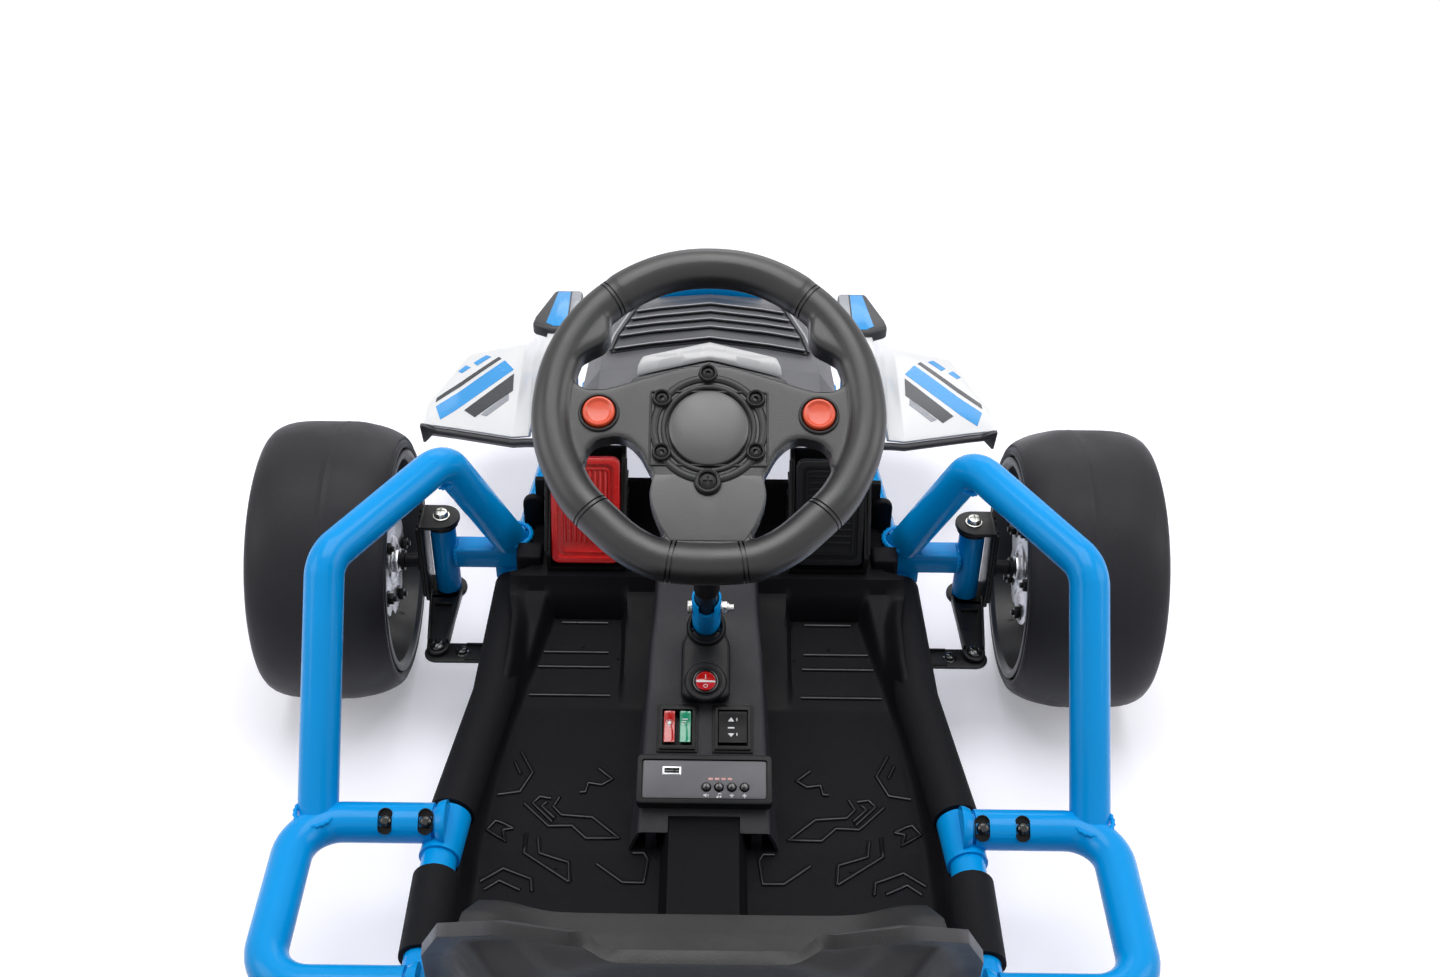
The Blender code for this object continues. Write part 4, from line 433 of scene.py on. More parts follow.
GREEN_LENS = finish("green_lens", (0.0, 0.26, 0.13), 0.12, grain=(900, 0.05), mottle=(160, 0.2), coat=0.6)
WHITE = finish("white_shell", (0.74, 0.745, 0.76), 0.24, grain=(700, 0.06), mottle=(9, 0.02), patchy=0.05,
    coat=0.2, specular=0.4)
PRINT = finish("white_print", (0.7, 0.7, 0.71), 0.45, grain=(2000, 0.2), mottle=(300, 0.08))
DARK_PRINT = finish("charcoal_film", (0.02, 0.023, 0.032), 0.25, grain=(600, 0.05), mottle=(20, 0.1),
    coat=0.3)
BLUE_PRINT = finish("blue_film", (0.012, 0.29, 0.7), 0.25, grain=(600, 0.05), mottle=(20, 0.1), coat=0.3)
GREY_PRINT = finish("grey_film", (0.28, 0.295, 0.33), 0.28, grain=(600, 0.05), mottle=(20, 0.08), coat=0.3)
FLOOR_LOOK = finish("studio_floor", (0.86, 0.855, 0.925), 0.65, grain=(40, 0.02), mottle=(1.5, 0.01),
    patchy=0.03)


# Studio

FLOOR_GLOW = 0.30


def brighten_floor():
    """Lets the floor look whiter to the camera without lighting the kart."""
    tree = FLOOR_LOOK.node_tree
    path = add_node(tree, "LightPath", {}).outputs
    seen = add_node(tree, "Math", {0: path["Is Camera Ray"], 1: path["Is Glossy Ray"]}, "MAXIMUM")
    level = add_node(tree, "Math", {0: seen.outputs[0], 1: FLOOR_GLOW}, "MULTIPLY")
    set_inputs(tree, tree.nodes["Principled BSDF"], {
        "Emission Color": (0.97, 0.965, 1.0, 1.0), "Emission Strength": level.outputs[0]})


CAMERA_AT = (0.0, -0.964, 1.137)
CAMERA_DOWN = 38
CAMERA_ROLL = 0.7
CAMERA_LENS = 41.0
CAMERA_SHIFT = 12 / 1440
SURROUNDINGS_LIGHT = 0.34
LAMPS = [("lamp_above", (0.0, 0.3, 2.7), (0.0, 0.0, 0.1), 2.1, 1.8, 50),
         ("lamp_left", (-2.3, -0.5, 1.7), (0, 0, 0.2), 1.5, 1.5, 19),
         ("lamp_right", (2.3, -0.2, 1.6), (0, 0, 0.2), 1.5, 1.5, 19),
         ("lamp_nose", (0.4, 2.6, 1.8), (0, 0.1, 0.2), 2.0, 1.2, 12)]


def set_studio():
    """Floor, soft lamps, white surroundings and the camera."""
    brighten_floor()
    bpy.ops.mesh.primitive_plane_add(size=14.0, location=(0, 1.5, -0.0005))
    floor = bpy.context.object
    floor.name = "studio_floor"
    floor.data.materials.append(FLOOR_LOOK)
    only(floor)
    bpy.ops.object.transform_apply(location=True, rotation=True, scale=True)
    for name, at, target, width, height, watts in LAMPS:
        bpy.ops.object.light_add(type="AREA", location=at)
        lamp = bpy.context.object
        lamp.name = name
        lamp.data.shape = "RECTANGLE"
        lamp.data.size = width
        lamp.data.size_y = height
        lamp.data.energy = watts
        lamp.rotation_euler = (Vector(target) - Vector(at)).to_track_quat("-Z", "Y").to_euler()
    world = bpy.data.worlds.new("studio_surroundings")
    bpy.context.scene.world = world
    world.use_nodes = True
    tree = world.node_tree
    path = add_node(tree, "LightPath", {}).outputs
    shiny = add_node(tree, "Math", {0: path["Is Glossy Ray"], 1: path["Is Transmission Ray"]}, "MAXIMUM")
    seen = add_node(tree, "Math", {0: path["Is Camera Ray"], 1: shiny.outputs[0]}, "MAXIMUM")
    level = add_node(tree, "MapRange", {
        "Value": seen.outputs[0], "To Min": SURROUNDINGS_LIGHT, "To Max": 1.0})
    set_inputs(tree, tree.nodes["Background"], {
        "Color": (1.0, 1.0, 1.0, 1.0), "Strength": level.outputs["Result"]})
    bpy.ops.object.camera_add(location=CAMERA_AT)
    camera = bpy.context.object
    camera.name = "photo_camera"
    camera.data.lens = CAMERA_LENS
    camera.data.sensor_width = 36.0
    camera.data.sensor_fit = "HORIZONTAL"
    camera.data.shift_x = CAMERA_SHIFT
    camera.data.clip_start = 0.01
    camera.matrix_world = shift_by(*CAMERA_AT) @ spin_by(90 - CAMERA_DOWN, "X") @ spin_by(CAMERA_ROLL, "Z")
    bpy.context.scene.camera = camera
    bpy.context.scene.view_settings.view_transform = "Standard"


# Wheels

FRONT_INSET = 0.012


def wheel_place(side, axle_y):
    """Local Z out along the axle."""
    return shift_by(side * TRACK_HALF, axle_y, WHEEL_R) @ spin_by(side * 90, "Y")


def model_tyre(inset):
    """Slick tyre: rounded shoulders, raised sidewall rings and the mould's parting line."""
    half, bead = WHEEL_W / 2, 0.1044
    near = half - inset
    side = [(bead, half - 0.012), (bead + 0.0006, half - 0.003), (bead + 0.003, half - 0.0004),
        (bead + 0.0075, half), (0.1135, half - 0.0006), (0.1143, half - 0.0018), (0.1155, half - 0.0018),
        (0.1163, half - 0.001), (0.1195, half - 0.0022), (0.1225, half - 0.0048), (0.125, half - 0.0088),
        (0.1272, half - 0.0142), (0.1287, half - 0.0205), (0.1296, half - 0.0285), (0.13, half - 0.038)]
    inner = [(bead, near - 0.012), (bead + 0.0006, near - 0.004), (bead + 0.003, near - 0.0014),
        (bead + 0.006, near - 0.0012), (0.1125, near - 0.0026), (0.1133, near - 0.004),
        (0.1145, near - 0.0042), (0.1153, near - 0.0036), (0.1175, near - 0.0058), (0.12, near - 0.0098),
        (0.1225, near - 0.0148), (0.1247, near - 0.0205), (0.1266, near - 0.0272), (0.1282, near - 0.035),
        (0.1294, near - 0.041), (0.13, near - 0.047)]
    crown = [(WHEEL_R, 0.006), (WHEEL_R, 0.0016), (WHEEL_R + 0.0003, 0.0005), (WHEEL_R + 0.0003, -0.0005),
        (WHEEL_R, -0.0016), (WHEEL_R, -0.006)]
    profile = side + crown + [(radius, -out) for radius, out in reversed(inner)]
    return turned(profile, None, 160)


def model_rim(inset):
    """Deep rim: lips, inner dish with ribs, outer face with six spokes round a raised hub."""
    half = WHEEL_W / 2
    back = inset - half
    floor = back + 0.018 + 0.0034
    barrel = [(0.0068, floor), (0.056, floor), (0.0575, floor + 0.002), (0.062, floor + 0.016),
        (0.08, floor + 0.016), (0.086, floor + 0.014), (0.0945, back + 0.012), (0.095, back + 0.005),
        (0.0985, back + 0.0008), (0.104, back + 0.001), (0.104, half - 0.001), (0.1015, half + 0.0002),
        (0.0985, half - 0.0006), (0.0965, half - 0.006), (0.09, half - 0.033), (0.086, half - 0.036),
        (0.044, half - 0.036), (0.04, half - 0.033), (0.036, half - 0.019), (0.034, half - 0.017),
        (0.015, half - 0.017), (0.014, half - 0.02), (0.0068, half - 0.02)]
    rim = turned(barrel, None, 144, 0.0007)
    parts = [rim]
    for step in range(12):
        turn = Matrix.Rotation(FULL_TURN * (step + 0.5) / 12, 4, "Z")
        rib = [(0.06, floor + 0.0155), (0.06, floor + 0.0045), (0.066, floor + 0.0085),
            (0.088, floor + 0.01), (0.093, back + 0.015), (0.093, floor + 0.0155)]
        side_on = Matrix(((1, 0, 0, 0), (0, 0, 1, 0), (0, 1, 0, 0), (0, 0, 0, 1)))
        parts.append(plate(rib, -0.0016, 0.0016, turn @ side_on, 0.0007))
    for step in range(6):
        turn = Matrix.Rotation(FULL_TURN * step / 6, 4, "Z")
        spoke = [(0.036, -0.0125), (0.062, -0.009), (0.0915, -0.0135), (0.0915, 0.0135), (0.062, 0.009),
            (0.036, 0.0125)]
        parts.append(plate(spoke, half - 0.037, half - 0.02, turn, 0.0022, 3))
        groove = plate([(0.046, -0.0035), (0.084, -0.006), (0.084, 0.006), (0.046, 0.0035)], half - 0.0215,
            half - 0.01, turn, 0.001)
        parts[-1] = cut(parts[-1], groove, solver="MANIFOLD")
    return joined(*parts)


def model_wheels():
    """Tyres and rims: the front pair is narrower on its inner side."""
    for end, axle_y, inset in (("front", FRONT_AXLE_Y, FRONT_INSET), ("rear", REAR_AXLE_Y, 0.0)):
        tyre, rim = model_tyre(inset), model_rim(inset)
        for side in (-1, 1):
            corner = end + "_" + side_name(side)
            at = wheel_place(side, axle_y)
            dressed(copied(tyre, at), "slick_tyre_" + corner, TYRE, ("tyre_" + corner,),
                body="wheel_" + corner)
            dressed(copied(rim, at), "dished_rim_" + corner, RIM, nodes=("rim_" + corner,),
                body="wheel_" + corner)
            model_lug_nuts(corner, at)
        for piece in (tyre, rim):
            bpy.data.objects.remove(piece, do_unlink=True)
    for side in (-1, 1):
        model_hub_disc(side)


def model_lug_nuts(corner, at):
    """Zinc cap nut and washer on the outer face of a wheel."""
    half = WHEEL_W / 2
    washer = disc(0.013, half - 0.0199, half - 0.0184, at, 48, 0.0004)
    nut = plate(arc((0, 0), 0.0105, 0, 300, 5), half - 0.0183, half - 0.0105, at, 0.001)
    dome = turned([(0, half - 0.0108), (0.008, half - 0.0108), (0.0074, half - 0.007),
        (0.0052, half - 0.0042), (0, half - 0.003)], at, 32, 0.0004)
    dressed(joined(washer, nut, dome), "axle_cap_" + corner, ZINC, body="wheel_" + corner)


def model_hub_disc(side):
    """Bright plate on the inner face of a front wheel, with its notches and black bolts."""
    at = wheel_place(side, FRONT_AXLE_Y)
    face = FRONT_INSET - WHEEL_W / 2 + 0.0135
    edge = []
    for step in range(120):
        angle = FULL_TURN * step / 120
        wave = max(0.0, math.cos(5 * angle)) ** 3
        edge.append(((0.054 - 0.0065 * wave) * math.cos(angle), (0.054 - 0.0065 * wave) * math.sin(angle)))
    body = plate(edge, face, face + 0.003, at, 0.0008)
    body = cut(body, disc(0.0108, face - 0.01, face + 0.01, at))
    swage = turned([(0.02, face - 0.0016), (0.0225, face - 0.0016), (0.025, face + 0.001),
        (0.018, face + 0.001)], at, 64, 0.0004)
    nut = plate(arc((0, 0), 0.0125, 0, 300, 5), face - 0.0062, face + 0.0004, at, 0.001)
    dressed(joined(body, swage, nut), "hub_plate_" + side_name(side), BRUSHED,
        ("hub_disc_" + side_name(side),), body="wheel_front_" + side_name(side))
    bolts = []
    for step in range(5):
        turn = at @ Matrix.Rotation(FULL_TURN * (step + 0.5) / 5, 4, "Z") @ shift_by(0.0425, 0, 0)
        bolts.append(disc(0.0078, face - 0.001, face + 0.0004, turn, 32, 0.0003))
        head = plate(arc((0, 0), 0.006, 0, 300, 5), face - 0.0058, face - 0.0009, turn, 0.0008)
        bolts += [head, disc(0.0026, face - 0.0085, face - 0.005, turn, 20, 0.0003)]
    dressed(joined(*bolts), "hub_bolts_" + side_name(side), BLACK_STEEL,
        body="wheel_front_" + side_name(side))


# Frame tubes

def rail_path(side):
    return [(side * x, y, RAIL_Z) for x, y in RAIL_PLAN]


def rod(start, end, radius, sides=40, edge=0.0):
    """A round bar between two points."""
    start, end = Vector(start), Vector(end)
    turn = Vector((0, 0, 1)).rotation_difference((end - start).normalized()).to_matrix().to_4x4()
    return disc(radius, 0.0, (end - start).length, Matrix.Translation(start) @ turn, sides, edge)


def weld(centre, direction, radius, bead=0.0021):
    """A weld seam: a ring of small overlapping scallops."""
    turn = Vector((0, 0, 1)).rotation_difference(Vector(direction).normalized()).to_matrix().to_4x4()
    ring = turned(arc((radius, 0), bead, 0, 324, 9), None, 96)
    for corner in ring.data.vertices:
        angle = math.atan2(corner.co.y, corner.co.x)
        ripple = 1 + 0.0004 / radius * math.cos(24 * angle)
        corner.co.x *= ripple
        corner.co.y *= ripple
    return moved(ring, Matrix.Translation(Vector(centre)) @ turn)


def model_frame():
    """Welded frame: rails, beam, kingpin tubes, cross tubes, brackets, tray and axle tube."""
    beam_z, beam_half = 0.141, 0.011
    parts = []
    for side in (-1, 1):
        parts.append(pipe(rail_path(side), RAIL_R, 0.05))
        kingpin_x = side * 0.2455
        parts += [turned([(0.0058, 0.0985), (0.0112, 0.0985), (0.012, 0.0993), (0.012, 0.1782),
            (0.0112, 0.179), (0.0058, 0.179)], shift_by(kingpin_x, FRONT_AXLE_Y, 0), 48),
            weld((side * 0.2345, FRONT_AXLE_Y, beam_z), (1, 0, 0), 0.0118, 0.0022)]
        saddle = rail_x(FRONT_AXLE_Y)
        parts.append(block((side * saddle - 0.01, FRONT_AXLE_Y - 0.009, RAIL_Z),
            (side * saddle + 0.01, FRONT_AXLE_Y + 0.009, beam_z), None, 0.002))
        tab = [(0, 0), (0.022, 0), (0.022, -0.012), (0.015, -0.024), (0.002, -0.024)]
        tab = [(side * (0.176 + px), py) for px, py in tab]
        stand = Matrix(((1, 0, 0, 0), (0, 0, 1, FRONT_AXLE_Y), (0, 1, 0, beam_z - beam_half + 0.001),
            (0, 0, 0, 1)))
        parts.append(plate(tab, -0.01, -0.007, stand, 0.0008))
        for y, reach in ((-0.11, 0.274), (-0.262, 0.264)):
            parts.append(rod((side * rail_x(y), y, 0.132), (side * reach, y, 0.132), 0.0125, 32, 0.0015))
            outward = Matrix(((0, 0, side, 0), (1, 0, 0, y), (0, 1, 0, 0.132), (0, 0, 0, 1)))
            spread = [(0, -0.004), (0.0186, -0.004), (0.0182, -0.001), (0.017, 0.0015), (0.0161, 0.0032),
                (0, 0.0032)]
            flare = turned([(radius, rail_x(y) + out) for radius, out in spread], outward)
            parts += [cut(flare, block((-0.5, y - 0.05, 0.0), (0.5, y + 0.05, 0.113), None, 0)),
                pipe([(side * rail_x(y + 0.0215), y + 0.0215, RAIL_Z),
                (side * rail_x(y - 0.0215), y - 0.0215, RAIL_Z)], 0.0164, 0, 11)]
        skirt = Vector((side * 0.1134, 0.33, 0.2505))
        parts += [rod((skirt.x, 0.33, RAIL_Z), skirt, 0.008, 32),
            weld((skirt.x, 0.33, RAIL_Z + 0.0125), (0, 0, 1), 0.0085, 0.0016),
            rod((side * 0.147, 0.48, RAIL_Z), (side * 0.147, 0.48, 0.221), 0.008, 32),
            block((side * 0.172 - 0.024, -0.551, RAIL_Z - 0.024),
            (side * 0.172 + 0.024, -0.547, RAIL_Z + 0.024), None, 0.0015)]
        for px, pz in ((-0.016, -0.016), (0.016, -0.016), (-0.016, 0.016), (0.016, 0.016)):
            at = shift_by(side * 0.172 + px, -0.547, RAIL_Z + pz) @ Matrix.Rotation(-math.pi / 2, 4, "X")
            parts.append(plate(arc((0, 0), 0.005, 0, 300, 5), 0.0, 0.004, at, 0.0008))
    for y, z, radius in ((0.48, RAIL_Z, 0.012), (0.33, RAIL_Z, 0.012), (-0.235, RAIL_Z, 0.012),
            (-0.385, RAIL_Z, 0.012), (-0.52, 0.13, 0.012)):
        half = rail_x(y)
        parts.append(rod((-half, y, z), (half, y, z), radius, 32))
        for side in (-1, 1):
            parts.append(weld((side * (half - 0.0135), y, z), (1, 0, 0), radius + 0.0006, 0.0018))
    axle_tube = turned([(0.0086, -0.2), (0.0136, -0.2), (0.014, -0.1996), (0.014, 0.1996), (0.0136, 0.2),
        (0.0086, 0.2)], shift_by(0, REAR_AXLE_Y, WHEEL_R) @ spin_by(90, "Y"))
    parts.append(axle_tube)
    reach = 0.2355
    lying = Matrix(((0, 0, 1, 0), (1, 0, 0, FRONT_AXLE_Y), (0, 1, 0, beam_z), (0, 0, 0, 1)))
    parts += [plate(rounded(beam_half, beam_half, 0.0028, 4), -reach, reach, lying),
        block((-0.176, 0.18, 0.0975), (0.176, 0.208, 0.1025))]
    bush = column_frame(-0.019)
    parts.append(turned([(0.0128, -0.009), (0.016, -0.009), (0.017, -0.008), (0.017, 0.008), (0.016, 0.009),
        (0.0128, 0.009)], bush, 48))
    foot_at = bush.translation
    foot = [(0.206, 0.0985), (0.206, 0.1095), (foot_at.y + 0.02, foot_at.z + 0.014),
        (foot_at.y + 0.013, foot_at.z - 0.004), (0.182, 0.0985)]
    parts += [plate(foot, -0.0025, 0.0025, UPRIGHT, 0.0008),
        block((-0.168, -0.532, 0.141), (0.168, -0.43, 0.145))]
    dressed(joined(*parts), "welded_frame", BLUE, ("main_frame",))


def model_side_bar(side):
    """Guard beside the legs: bent tube, foot plate, crossbar and rear hoop with its recessed bolts."""

    def put(x, y, z):
        return (side * x, y, z)
    foot = put(0.304, -0.11, 0.132)
    leg_foot = Vector(put(0.181, 0.214, 0.148))
    apex = Vector(put(0.227, 0.156, 0.29))
    bar = pipe([leg_foot, apex, put(0.305, 0.03, 0.285), foot], 0.016, 0.03, 11)
    hoop = pipe([put(0.2125, -0.11, 0.132), put(0.318, -0.11, 0.132), put(0.318, -0.262, 0.132),
        put(0.2125, -0.262, 0.132)], 0.016, 0.035, 11)
    spots = [Matrix.Translation(put(x, -0.11, 0.132)) @ spin_by(36, "X") for x in (0.2172, 0.2485)]
    hoop = cut(hoop, *[plate(rounded(0.0056, 0.01, 0.0055, 8), 0.0085, 0.03, at) for at in spots], angle=50)
    base = block((side * 0.182 - 0.017, 0.197, 0.1524), (side * 0.182 + 0.017, 0.225, 0.1564), None, 0.0012)
    below = block((side * 0.181 - 0.06, 0.15, 0.09), (side * 0.181 + 0.06, 0.27, 0.1524), None, 0)
    bar = cut(bar, below)
    seams = [weld(put(0.304, -0.11, 0.145), (0, 0, 1), 0.0158, 0.0018),
        weld(apex + Vector((0, 0, -0.0165)) + (leg_foot - apex).normalized() * 0.004, leg_foot - apex,
        0.0105, 0.0022),
        weld(Vector(leg_foot) + Vector((0, 0, 0.0105)) + (apex - leg_foot).normalized() * 0.002, (0, 0, 1),
        0.0172, 0.0022)]
    guard = joined(bar, hoop, base, *seams)
    bolts, wells = [], []
    for at in spots:
        wells.append(cut(plate(rounded(0.0059, 0.0103, 0.0058, 8), 0.0085, 0.015, at, 0.0002),
            plate(rounded(0.0052, 0.0096, 0.0051, 8), 0.0118, 0.03, at)))
        bolts.append(turned([(0, 0.012), (0.005, 0.012), (0.005, 0.0142), (0.0043, 0.016), (0.0026, 0.0171),
            (0, 0.0174)], at @ shift_by(0.0004, 0, 0), 32, 0.0003))
    name = "side_bar_" + side_name(side)
    dressed(guard, "guard_tube_" + side_name(side), BLUE, (name,))
    dressed(joined(*bolts), "guard_bolts_" + side_name(side), GLOSS)
    dressed(joined(*wells), "guard_bolt_wells_" + side_name(side), SATIN)


def model_foam(side):
    """Foam grips on the rail, in front of the guard's crossbar and behind it."""
    path = bent(rail_path(side), 0.05)
    front = [point for point in path if -0.0865 <= point.y <= 0.1765]
    sleeve_front = [Vector((side * rail_x(0.192), 0.192, RAIL_Z))] + front + [Vector((side * rail_x(-0.086),
        -0.086, RAIL_Z))]
    sleeve = pipe(sleeve_front, 0.0188, 0, 11)
    rear = pipe([(side * rail_x(-0.15), -0.15, RAIL_Z), (side * rail_x(-0.225), -0.225, RAIL_Z)], 0.018, 0,
        11)
    sleeve = softened(sleeve, 0.0025, 3, 50)
    rear = softened(rear, 0.0025, 3, 50)
    dressed(joined(sleeve, rear), "foam_grip_" + side_name(side), FOAM,
        ("foam_sleeve_" + side_name(side),))


# Floor pan

PAN_FLOOR = [(-0.3, 0.086), (-0.1, 0.088), (0.05, 0.1), (0.148, 0.1415), (0.154, 0.143), (0.16, 0.156),
    (0.3, 0.156)]
WELL_FLOOR = [(0.052, 0.1005), (0.075, 0.104), (0.148, 0.114)]
WELL_SIDE = [(0.04, 0.162), (0.068, 0.16), (0.151, 0.142)]
PAN_EDGE = [(-0.215, 0.196), (-0.105, 0.196), (-0.036, 0.19), (0.017, 0.183), (0.05, 0.1765),
    (0.078, 0.174), (0.122, 0.174), (0.15, 0.179), (0.166, 0.179), (0.172, 0.1615)]
PAN_RIM_Z = [(-0.09, 0.106), (-0.02, 0.108), (0.03, 0.118), (0.06, 0.133), (0.082, 0.137), (0.148, 0.144),
    (0.164, 0.156)]
PAN_WALL = [(0.2385, 0.158), (0.242, 0.164), (0.244, 0.196), (0.2455, 0.1995), (0.25, 0.2005)]
PAN_MARKS = [[(0.0892, -0.0168), (0.0775, -0.0275), (0.086, -0.0335), (0.0976, -0.0316), (0.0994, -0.041),
    (0.104, -0.0413)], [(0.156, -0.0004), (0.145, -0.0213), (0.154, -0.0414), (0.172, -0.0447)],
    [(0.1605, -0.0111), (0.155, -0.0232)], [(0.1205, -0.0466), (0.1248, -0.0561), (0.1175, -0.0644),
    (0.0917, -0.0665), (0.069, -0.0867), (0.0958, -0.0872), (0.1081, -0.0749), (0.1273, -0.0756),
    (0.149, -0.0534)], [(0.1273, -0.0479), (0.1368, -0.0464), (0.1422, -0.0529), (0.1246, -0.0714)],
    [(0.1309, -0.0518), (0.1344, -0.056), (0.1228, -0.0676)],
    [(0.156, -0.0782), (0.1645, -0.0803), (0.161, -0.091), (0.1775, -0.08), (0.171, -0.071),
    (0.165, -0.0732), (0.156, -0.0782)], [(0.1449, -0.0839), (0.1448, -0.1021), (0.107, -0.1302)],
    [(0.1347, -0.0872), (0.1324, -0.1023), (0.1081, -0.1113), (0.1063, -0.1302)],
    [(0.0575, -0.101), (0.048, -0.101), (0.045, -0.107), (0.0475, -0.1305), (0.064, -0.1303),
    (0.0858, -0.1123)], [(0.1351, -0.14), (0.1367, -0.1283), (0.16, -0.118), (0.177, -0.131)],
    [(0.1447, -0.139), (0.162, -0.13), (0.173, -0.139)], [(0.09, -0.176), (0.112, -0.166), (0.132, -0.176),
    (0.15, -0.172)], [(0.06, -0.17), (0.074, -0.162), (0.082, -0.178)]]


def step_up(value, width):
    """From 0 to 1 over a rounded edge of this width."""
    share = min(1.0, max(0.0, value / width + 0.5))
    return share * share * (3 - 2 * share)


def pan_z(x, y):
    """Height of the pan: ramp, foot wells, rim and the tunnel's hump."""
    across = abs(x)
    floor = along(y, PAN_FLOOR)
    well = min(floor, along(y, WELL_FLOOR)) if y > 0.045 else floor
    inside = step_up(across - 0.0745, 0.005) * step_up(along(y, WELL_SIDE) - across,
        0.008) * step_up(0.15 - y, 0.004)
    z = floor + (well - floor) * inside
    rim = max(z, along(y, PAN_RIM_Z))
    z += (rim - z) * step_up(across - along(y, PAN_EDGE) + 0.0095, 0.013)
    hump = step_up(0.0315 - across, 0.006) * step_up(-0.0812 - y, 0.003)
    return z + (0.113 - z) * hump


def pan_bead(points, radius=0.0012, lift=0.0001):
    """A raised line that follows the pan."""
    path = []
    for (x1, y1), (x2, y2) in zip(points, points[1:]):
        steps = max(1, round(math.hypot(x2 - x1, y2 - y1) / 0.006))
        path += [(x1 + (x2 - x1) * n / steps, y1 + (y2 - y1) * n / steps) for n in range(steps)]
    path.append(points[-1])
    return pipe([(x, y, pan_z(x, y) + lift) for x, y in path], radius, 0, 2)


def model_pan():
    """Moulded pan with foot wells, front wall, raised marks, beam clips and screws, and pale lines along
    the marks as painted highlights.
    """
    ys = [-0.215 + 0.003 * n for n in range(125)] + [0.16 + 0.003 * n for n in range(27)]
    rows = []
    for y in ys:
        half = along(y, PAN_EDGE)
        xs = [half * n / 84 for n in range(-84, 85)]
        rows.append([(x, y, pan_z(x, y)) for x in xs])
    for y, z in PAN_WALL:
        rows.append([(0.1615 * n / 84, y, z) for n in range(-84, 85)])
    pan = modified(skin(rows), "SOLIDIFY", thickness=0.003, offset=-1.0)
    shaped(pan, face_out)
    pan = cut(pan, block((-0.046, -0.079, 0.04), (0.046, 0.162, 0.3), None, 0), angle=50)
    parts, ridges = [pan], []
    for side in (-1, 1):
        parts += [pan_bead(mirrored(points, side), 0.002, 0.0) for points in PAN_MARKS]
        # Painted highlight: a thin pale line just in front of each raised mark and bar, where its edge
        # catches the light.
        ridges += [pan_bead([(x, y - 0.0011) for x, y in mirrored(points, side)], 0.0009, 0.0011)
            for points in PAN_MARKS]
        for y, x1, x2 in ((0.11, 0.088, 0.146), (0.0935, 0.086, 0.15), (0.0625, 0.084, 0.155),
                (0.144, 0.09, 0.132)):
            parts.append(pan_bead([(side * x1, y), (side * x2, y)], 0.0021, -0.0002))
            ridges.append(pan_bead([(side * x1, y - 0.0012), (side * x2, y - 0.0012)], 0.0008, 0.0013))
        for x, y in ((0.111, 0.116), (0.079, 0.103), (0.16, -0.01), (0.118, -0.117)):
            parts.append(disc(0.0016, pan_z(x, y) - 0.001, pan_z(x, y) + 0.0008, shift_by(side * x, y, 0),
                16, 0.0005))
        clip = block((side * 0.1575 - 0.0072, 0.177, 0.1285), (side * 0.1575 + 0.0072, 0.2265, 0.1572),
            None, 0.0022, 3)
        clip = cut(clip, block((side * 0.16 - 0.03, 0.1985, 0.11), (side * 0.16 + 0.03, 0.2215, 0.1525),
            None, 0))
        parts += [block((side * 0.1628 - 0.0118, 0.1745, 0.1345), (side * 0.1628 + 0.0118, 0.1962, 0.166),
            None, 0.0026, 3), clip]
        tab = [(side * (0.1633 + px), 0.1796 + pz) for px, pz in arc((0, 0), 0.0094, 0, 180, 16)]
        tab = [(side * 0.1727, 0.14)] + tab + [(side * 0.1539, 0.14)]
        standing = Matrix(((1, 0, 0, 0), (0, 0, -1, 0.24), (0, 1, 0, 0), (0, 0, 0, 1)))
        parts.append(plate(tab, 0.0, 0.008, standing, 0.0022, 3))
    dressed(joined(*parts), "moulded_floor_pan", PAN, nodes=("floor_pan",))
    dressed(joined(*ridges), "pan_ridge_highlights", PAINTED_RIDGE_HIGHLIGHT)


# Console and switches

CONSOLE_HALF = [(-0.098, 0.0545), (0.06, 0.0475), (0.093, 0.044), (0.168, 0.04)]


def model_console():
    """Console cover with rounded edges and openings for the switches and the column."""
    rows = []
    count = 38
    for step in range(count + 1):
        y = -0.098 + 0.266 * step / count
        half, top = along(y, CONSOLE_HALF), console_z(y) + max(0.0, y - 0.08) * 0.2
        low = along(y, PAN_FLOOR) + 0.0015
        corner = arc((half - 0.0045, top - 0.0045), 0.0045, 90, 8, 5)
        right = [(0.0, top), (half * 0.5, top)] + corner + [(half + 0.003, (top + low) / 2),
            (half + 0.0062, low)]
        rows.append([(-x, y, z) for x, z in reversed(right[1:])] + [(x, y, z) for x, z in right])
    cover = shell(rows, 0.0025, edge=0)
    tools = []
    for side in (-1, 1):
        tools.append(block((-0.0135, -0.0175, -0.02), (0.0135, 0.0175, 0.02),
            console_frame(side * 0.023, -0.015), 0))
    tools += [disc(0.015, -0.06, 0.06, column_frame(0.008)),
        disc(0.0125, -0.02, 0.02, console_frame(0, 0.019)),
        block((-0.043, -0.013, -0.02), (0.043, 0.013, 0.02), console_frame(0, -0.06), 0),
        block((-0.029, -0.12, 0.05), (0.029, -0.085, 0.195), None, 0)]
    cover = cut(cover, *tools)
    ribs = []
    for side in (-1, 1):
        rise = [(side * 0.047, -0.0962), (side * 0.048, -0.083), (side * 0.039, -0.079),
            (side * 0.038, -0.0962)]
        ribs.append(plate(rise, 0.088, 0.108, None, 0.001))
    dressed(joined(cover, *ribs), "console_shell", GRAINED, nodes=("console_cover",))


